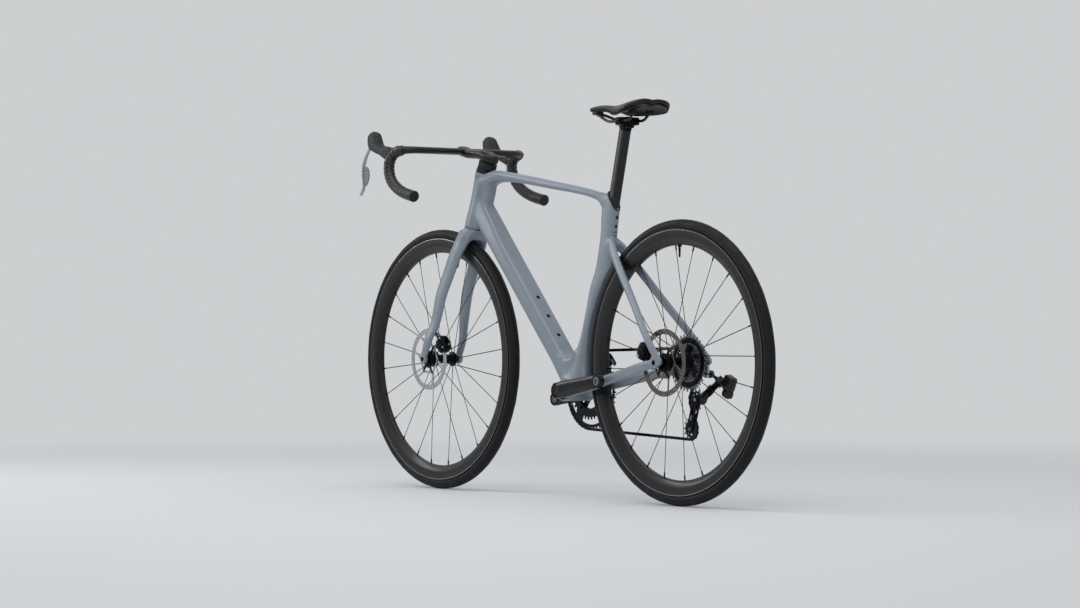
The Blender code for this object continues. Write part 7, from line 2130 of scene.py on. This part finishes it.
def makeCage(look):
    y = cogY(teeth["cog"])
    offset = look["gap"] + look["plate"] / 2
    near, far = pulleyPlaces(cageAngle)
    end = look["end"]
    outer = plate(cageOutline(look["guard"], end), look["plate"], (y - offset) * left, 0.3 * mm)
    inner = plate(cageOutline(end, end), look["plate"], (y + offset) * left, 0.3 * mm)
    dress("cagePlates", gathered([outer, inner]), blackAlloy, "derailleur_cage",
          ["derailleur_cage"], sharp=30)
    bolts = []
    for place in (near, far):
        bolts.append(rod(place + (y - look["gap"]) * left, place + (y + look["gap"]) * left,
                         look["bolt"], 28))
        face = place + (y + offset + look["plate"] / 2 - 0.0001) * left
        bolts.append(boltHead(face, left, look["head"], 0.0010))
    dress("pulleyBolts", gathered(bolts), boltSteel, "derailleur_cage")
    for word, place in (("guide", near), ("tension", far)):
        phase = phases[teeth["pulley"], round(float(place[2]), 4)]
        holes = [circle(look["hole"], 16, onCircle(look["holeCircle"], phase + turn * k / 6))
                 for k in range(6)]
        wheel = plate([toothOutline(teeth["pulley"], phase), circle(look["bore"], 32)] + holes,
                      look["pulley"], place + y * left, 0.3 * mm)
        dress(word + "Pulley", wheel, blackNylon, word + "_pulley",
              [word + "_pulley"], sharp=30)


# Front derailleur
frontLook = {"first": 80.0, "last": 145.0, "plate": 1.4 * mm, "offset": 5.3 * mm, "low": 90 * mm,
             "high": 113.5 * mm, "outerLow": 103 * mm, "outerHigh": 115 * mm}


def bandOutline(inner, outer, first, last, steps=18):
    angle = np.linspace(first, last, steps)
    return np.concatenate([onCircle(outer, angle), onCircle(inner, angle)[::-1]])


def makeFrontDerailleur(look):
    first, last = math.radians(look["first"]), math.radians(look["last"])
    # The chain stays on the big ring in every pose, so the outer plate is open where the chain runs
    # back to the sprockets: its lower edge stays over the chain and its tail begins under it
    over, under = np.linspace(first, math.radians(114), 18), np.linspace(math.radians(122), last, 18)
    low, high = look["outerLow"], look["outerHigh"]
    edge, tail = np.maximum(low, 0.1042 / np.sin(over)), np.minimum(high, 0.0915 / np.sin(under))
    plates = [(bandOutline(look["low"], look["high"], first, last), 0.0040, 1),
              (bandOutline(edge, high, over[0], over[-1]), 0.0004, -1),
              (bandOutline(low, tail, under[0], under[-1]), 0.0012, -1)]
    parts = []
    for outline, corner, side in plates:
        outline = softened(outline, np.where(np.isin(np.arange(36), (0, 17, 18, 35)), corner, 0.0001), 3)
        parts.append(plate([outline], look["plate"],
                           bracket + (ringY + side * look["offset"]) * left, 0.3 * mm))
    for share in (0.02, 0.16, 0.88):
        near, far = mix(first, last, share), mix(first, last, share + 0.10)
        parts.append(plate([bandOutline(0.1100, 0.1130, near, far, 6)], 0.0110,
                           bracket + ringY * left, 0.2 * mm))
    dress("frontCage", gathered(parts), darkSteel, "front_derailleur_cage",
          ["front_derailleur_cage"], sharp=30)
    centre = bracket + spot(-0.0366, -0.0385, 0.1385)
    body = tilted(centre, (0.040, 0.034, 0.030), math.radians(14), 5.0, 0.45)
    dress("frontDerailleurBody", body, glossPlastic, "frame", ["front_derailleur_body"])
    fixing = [boltHead(centre + spot(-0.0040, 0.0125, 0.0140), up, 0.0030, 0.0012),
              boltHead(centre + spot(0.006, -0.0165, 0.001), -left, 0.0028, 0.0012)]
    dress("frontDerailleurBolts", gathered(fixing), boltSteel, "frame")


def makeHanger():
    bolt = hangerBolt
    outline = np.array([(-0.009, 0.001), (-0.006, -0.007), (0, -0.0095), (0.006, -0.007), (0.009, 0),
                        (0.012, 0.016), (-0.008, 0.020)]) + spot(bolt[0], bolt[2])
    hanger = newMesh("hanger", plate([softened(outline, 2 * mm, 4)], 7.0 * mm, -0.0748 * left, 0.3 * mm))
    hanger = carve(hanger, rod(rearAxle - 0.1 * left, rearAxle, 0.0153, 80),
                   rod(bolt - 0.1 * left, bolt, 0.0042, 24))
    dress("derailleurHanger", hanger, brightAlloy, "frame", ["derailleur_hanger"])


makeChain(chainLook)
makeCassette(cassetteLook)
makeRings(crankLook)
makeCranks(crankLook)
makeRearDerailleur(linkLook)
makeBattery(batteryLook)
makeCage(cageLook)
makeFrontDerailleur(frontLook)
makeHanger()
print("drive ready")


# Nodes of the CAD frame that stay in sight keep their shape and get a real finish

leftNodes = ((boltSteel, ("headset_lower_bearing", "headset_upper_bearing")),
             (padCompound, ("front_brake_pad_left", "front_brake_pad_right", "rear_brake_pad_left",
                            "rear_brake_pad_right")))
for finish, names in leftNodes:
    for name in names:
        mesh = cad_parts[name].data
        for index in range(len(mesh.materials)):
            mesh.materials[index] = finish


# Floor, light and camera

stageLook = {"floor": "#d7d8d9", "wall": "#dcddde", "haze": "#cdcfd1", "clear": 1.2, "veiled": 4.5,
             "keyPower": 34.0, "fillPower": 13.0, "rimPower": 20.0, "sky": "#eef1f5", "world": 0.72,
             "floorRadius": 10.0, "bend": 2.5, "wallTop": 3.6}


def makeStage(look):
    material, tree, shader, place = startMaterial("pale_studio_paper", Roughness=0.82)
    fibre = addNode(tree, "TexNoise", {"Vector": place, "Scale": 260.0, "Detail": 3.0})
    colour = addNode(tree, "Mix", {0: fibre.outputs["Fac"], 6: hexColour(look["floor"]),
                                   7: hexColour(look["wall"])}, data_type="RGBA")
    tree.links.new(colour.outputs[2], shader.inputs["Base Color"])
    # Seen by the camera, the paper fades with the distance from the bike into an even pale tone
    flat = addNode(tree, "VectorMath", {0: place, 1: (1, 1, 0)}, operation="MULTIPLY")
    far = addNode(tree, "VectorMath", {0: flat.outputs[0]}, operation="LENGTH")
    fade = addNode(tree, "MapRange", {"Value": far.outputs["Value"], "From Min": look["clear"],
                                      "From Max": look["veiled"]}, interpolation_type="SMOOTHSTEP")
    seen = addNode(tree, "LightPath").outputs["Is Camera Ray"]
    share = addNode(tree, "Math", {0: fade.outputs["Result"], 1: seen}, operation="MULTIPLY")
    haze = addNode(tree, "Emission", {"Color": hexColour(look["haze"]), "Strength": 1.0})
    both = addNode(tree, "MixShader", {0: share.outputs[0], 1: shader.outputs[0], 2: haze.outputs[0]})
    tree.links.new(both.outputs[0], tree.nodes["Material Output"].inputs["Surface"])
    # A floor that curves up into a round backdrop on every side
    wide, bend, rise = look["floorRadius"], look["bend"], np.linspace(0.1, math.pi / 2, 10)
    radius = np.concatenate([np.linspace(0.001, wide, 8), wide + bend * np.sin(rise), [wide + bend]])
    height = np.concatenate([np.zeros(8), bend - bend * np.cos(rise), [look["wallTop"]]])
    points, faces = spun(np.stack([radius, height], -1), (0, 0, -0.0004), up, 96)
    mesh = rawMesh("studioFloor", (points, faces[:-1]))
    floor = placed("studioFloor", mesh)
    mesh.materials.append(material)
    mesh.shade_smooth()


def areaLight(name, place, aim, size, power):
    lamp = bpy.data.lights.new(name, "AREA")
    lamp.shape, lamp.size, lamp.size_y, lamp.energy = "RECTANGLE", size[0], size[1], power
    obj = placed(name, lamp)
    obj.location = place
    obj.rotation_euler = (Vector(aim) - Vector(place)).to_track_quat("-Z", "Y").to_euler()


makeStage(stageLook)
areaLight("overheadSoftbox", (-0.4, 0.8, 3.2), (0, 0, 0.5), (3.6, 2.2), stageLook["keyPower"])
areaLight("leftSoftbox", (-2.6, 2.6, 1.9), (0, 0, 0.6), (1.6, 2.0), stageLook["fillPower"])
areaLight("rearStrip", (2.6, 1.6, 1.8), (0.2, 0, 0.5), (0.6, 2.2), stageLook["rimPower"])

world = bpy.data.worlds.new("studio")
bpy.context.scene.world = world
world.use_nodes = True
background = world.node_tree.nodes["Background"]
background.inputs["Color"].default_value = hexColour(stageLook["sky"])
background.inputs["Strength"].default_value = stageLook["world"]

# The camera stands behind the bike and to its left, a little above the hubs
cameraLook = {"place": (-6.1622, 4.5969, 0.4262), "heading": 0.934544, "pitch": 0.007044, "lens": 102.80}
camera = bpy.data.cameras.new("photoCamera")
camera.sensor_width, camera.lens = 36.0, cameraLook["lens"]
camera.clip_end = 100.0
cameraObject = placed("photoCamera", camera)
heading, pitch = cameraLook["heading"], cameraLook["pitch"]
looking = Vector((math.sin(heading) * math.cos(pitch), -math.cos(heading) * math.cos(pitch), math.sin(pitch)))
cameraObject.location = cameraLook["place"]
cameraObject.rotation_euler = looking.to_track_quat("-Z", "Y").to_euler()
bpy.context.scene.camera = cameraObject
bpy.context.scene.view_settings.view_transform = "Standard"

print("stage, light and camera ready")
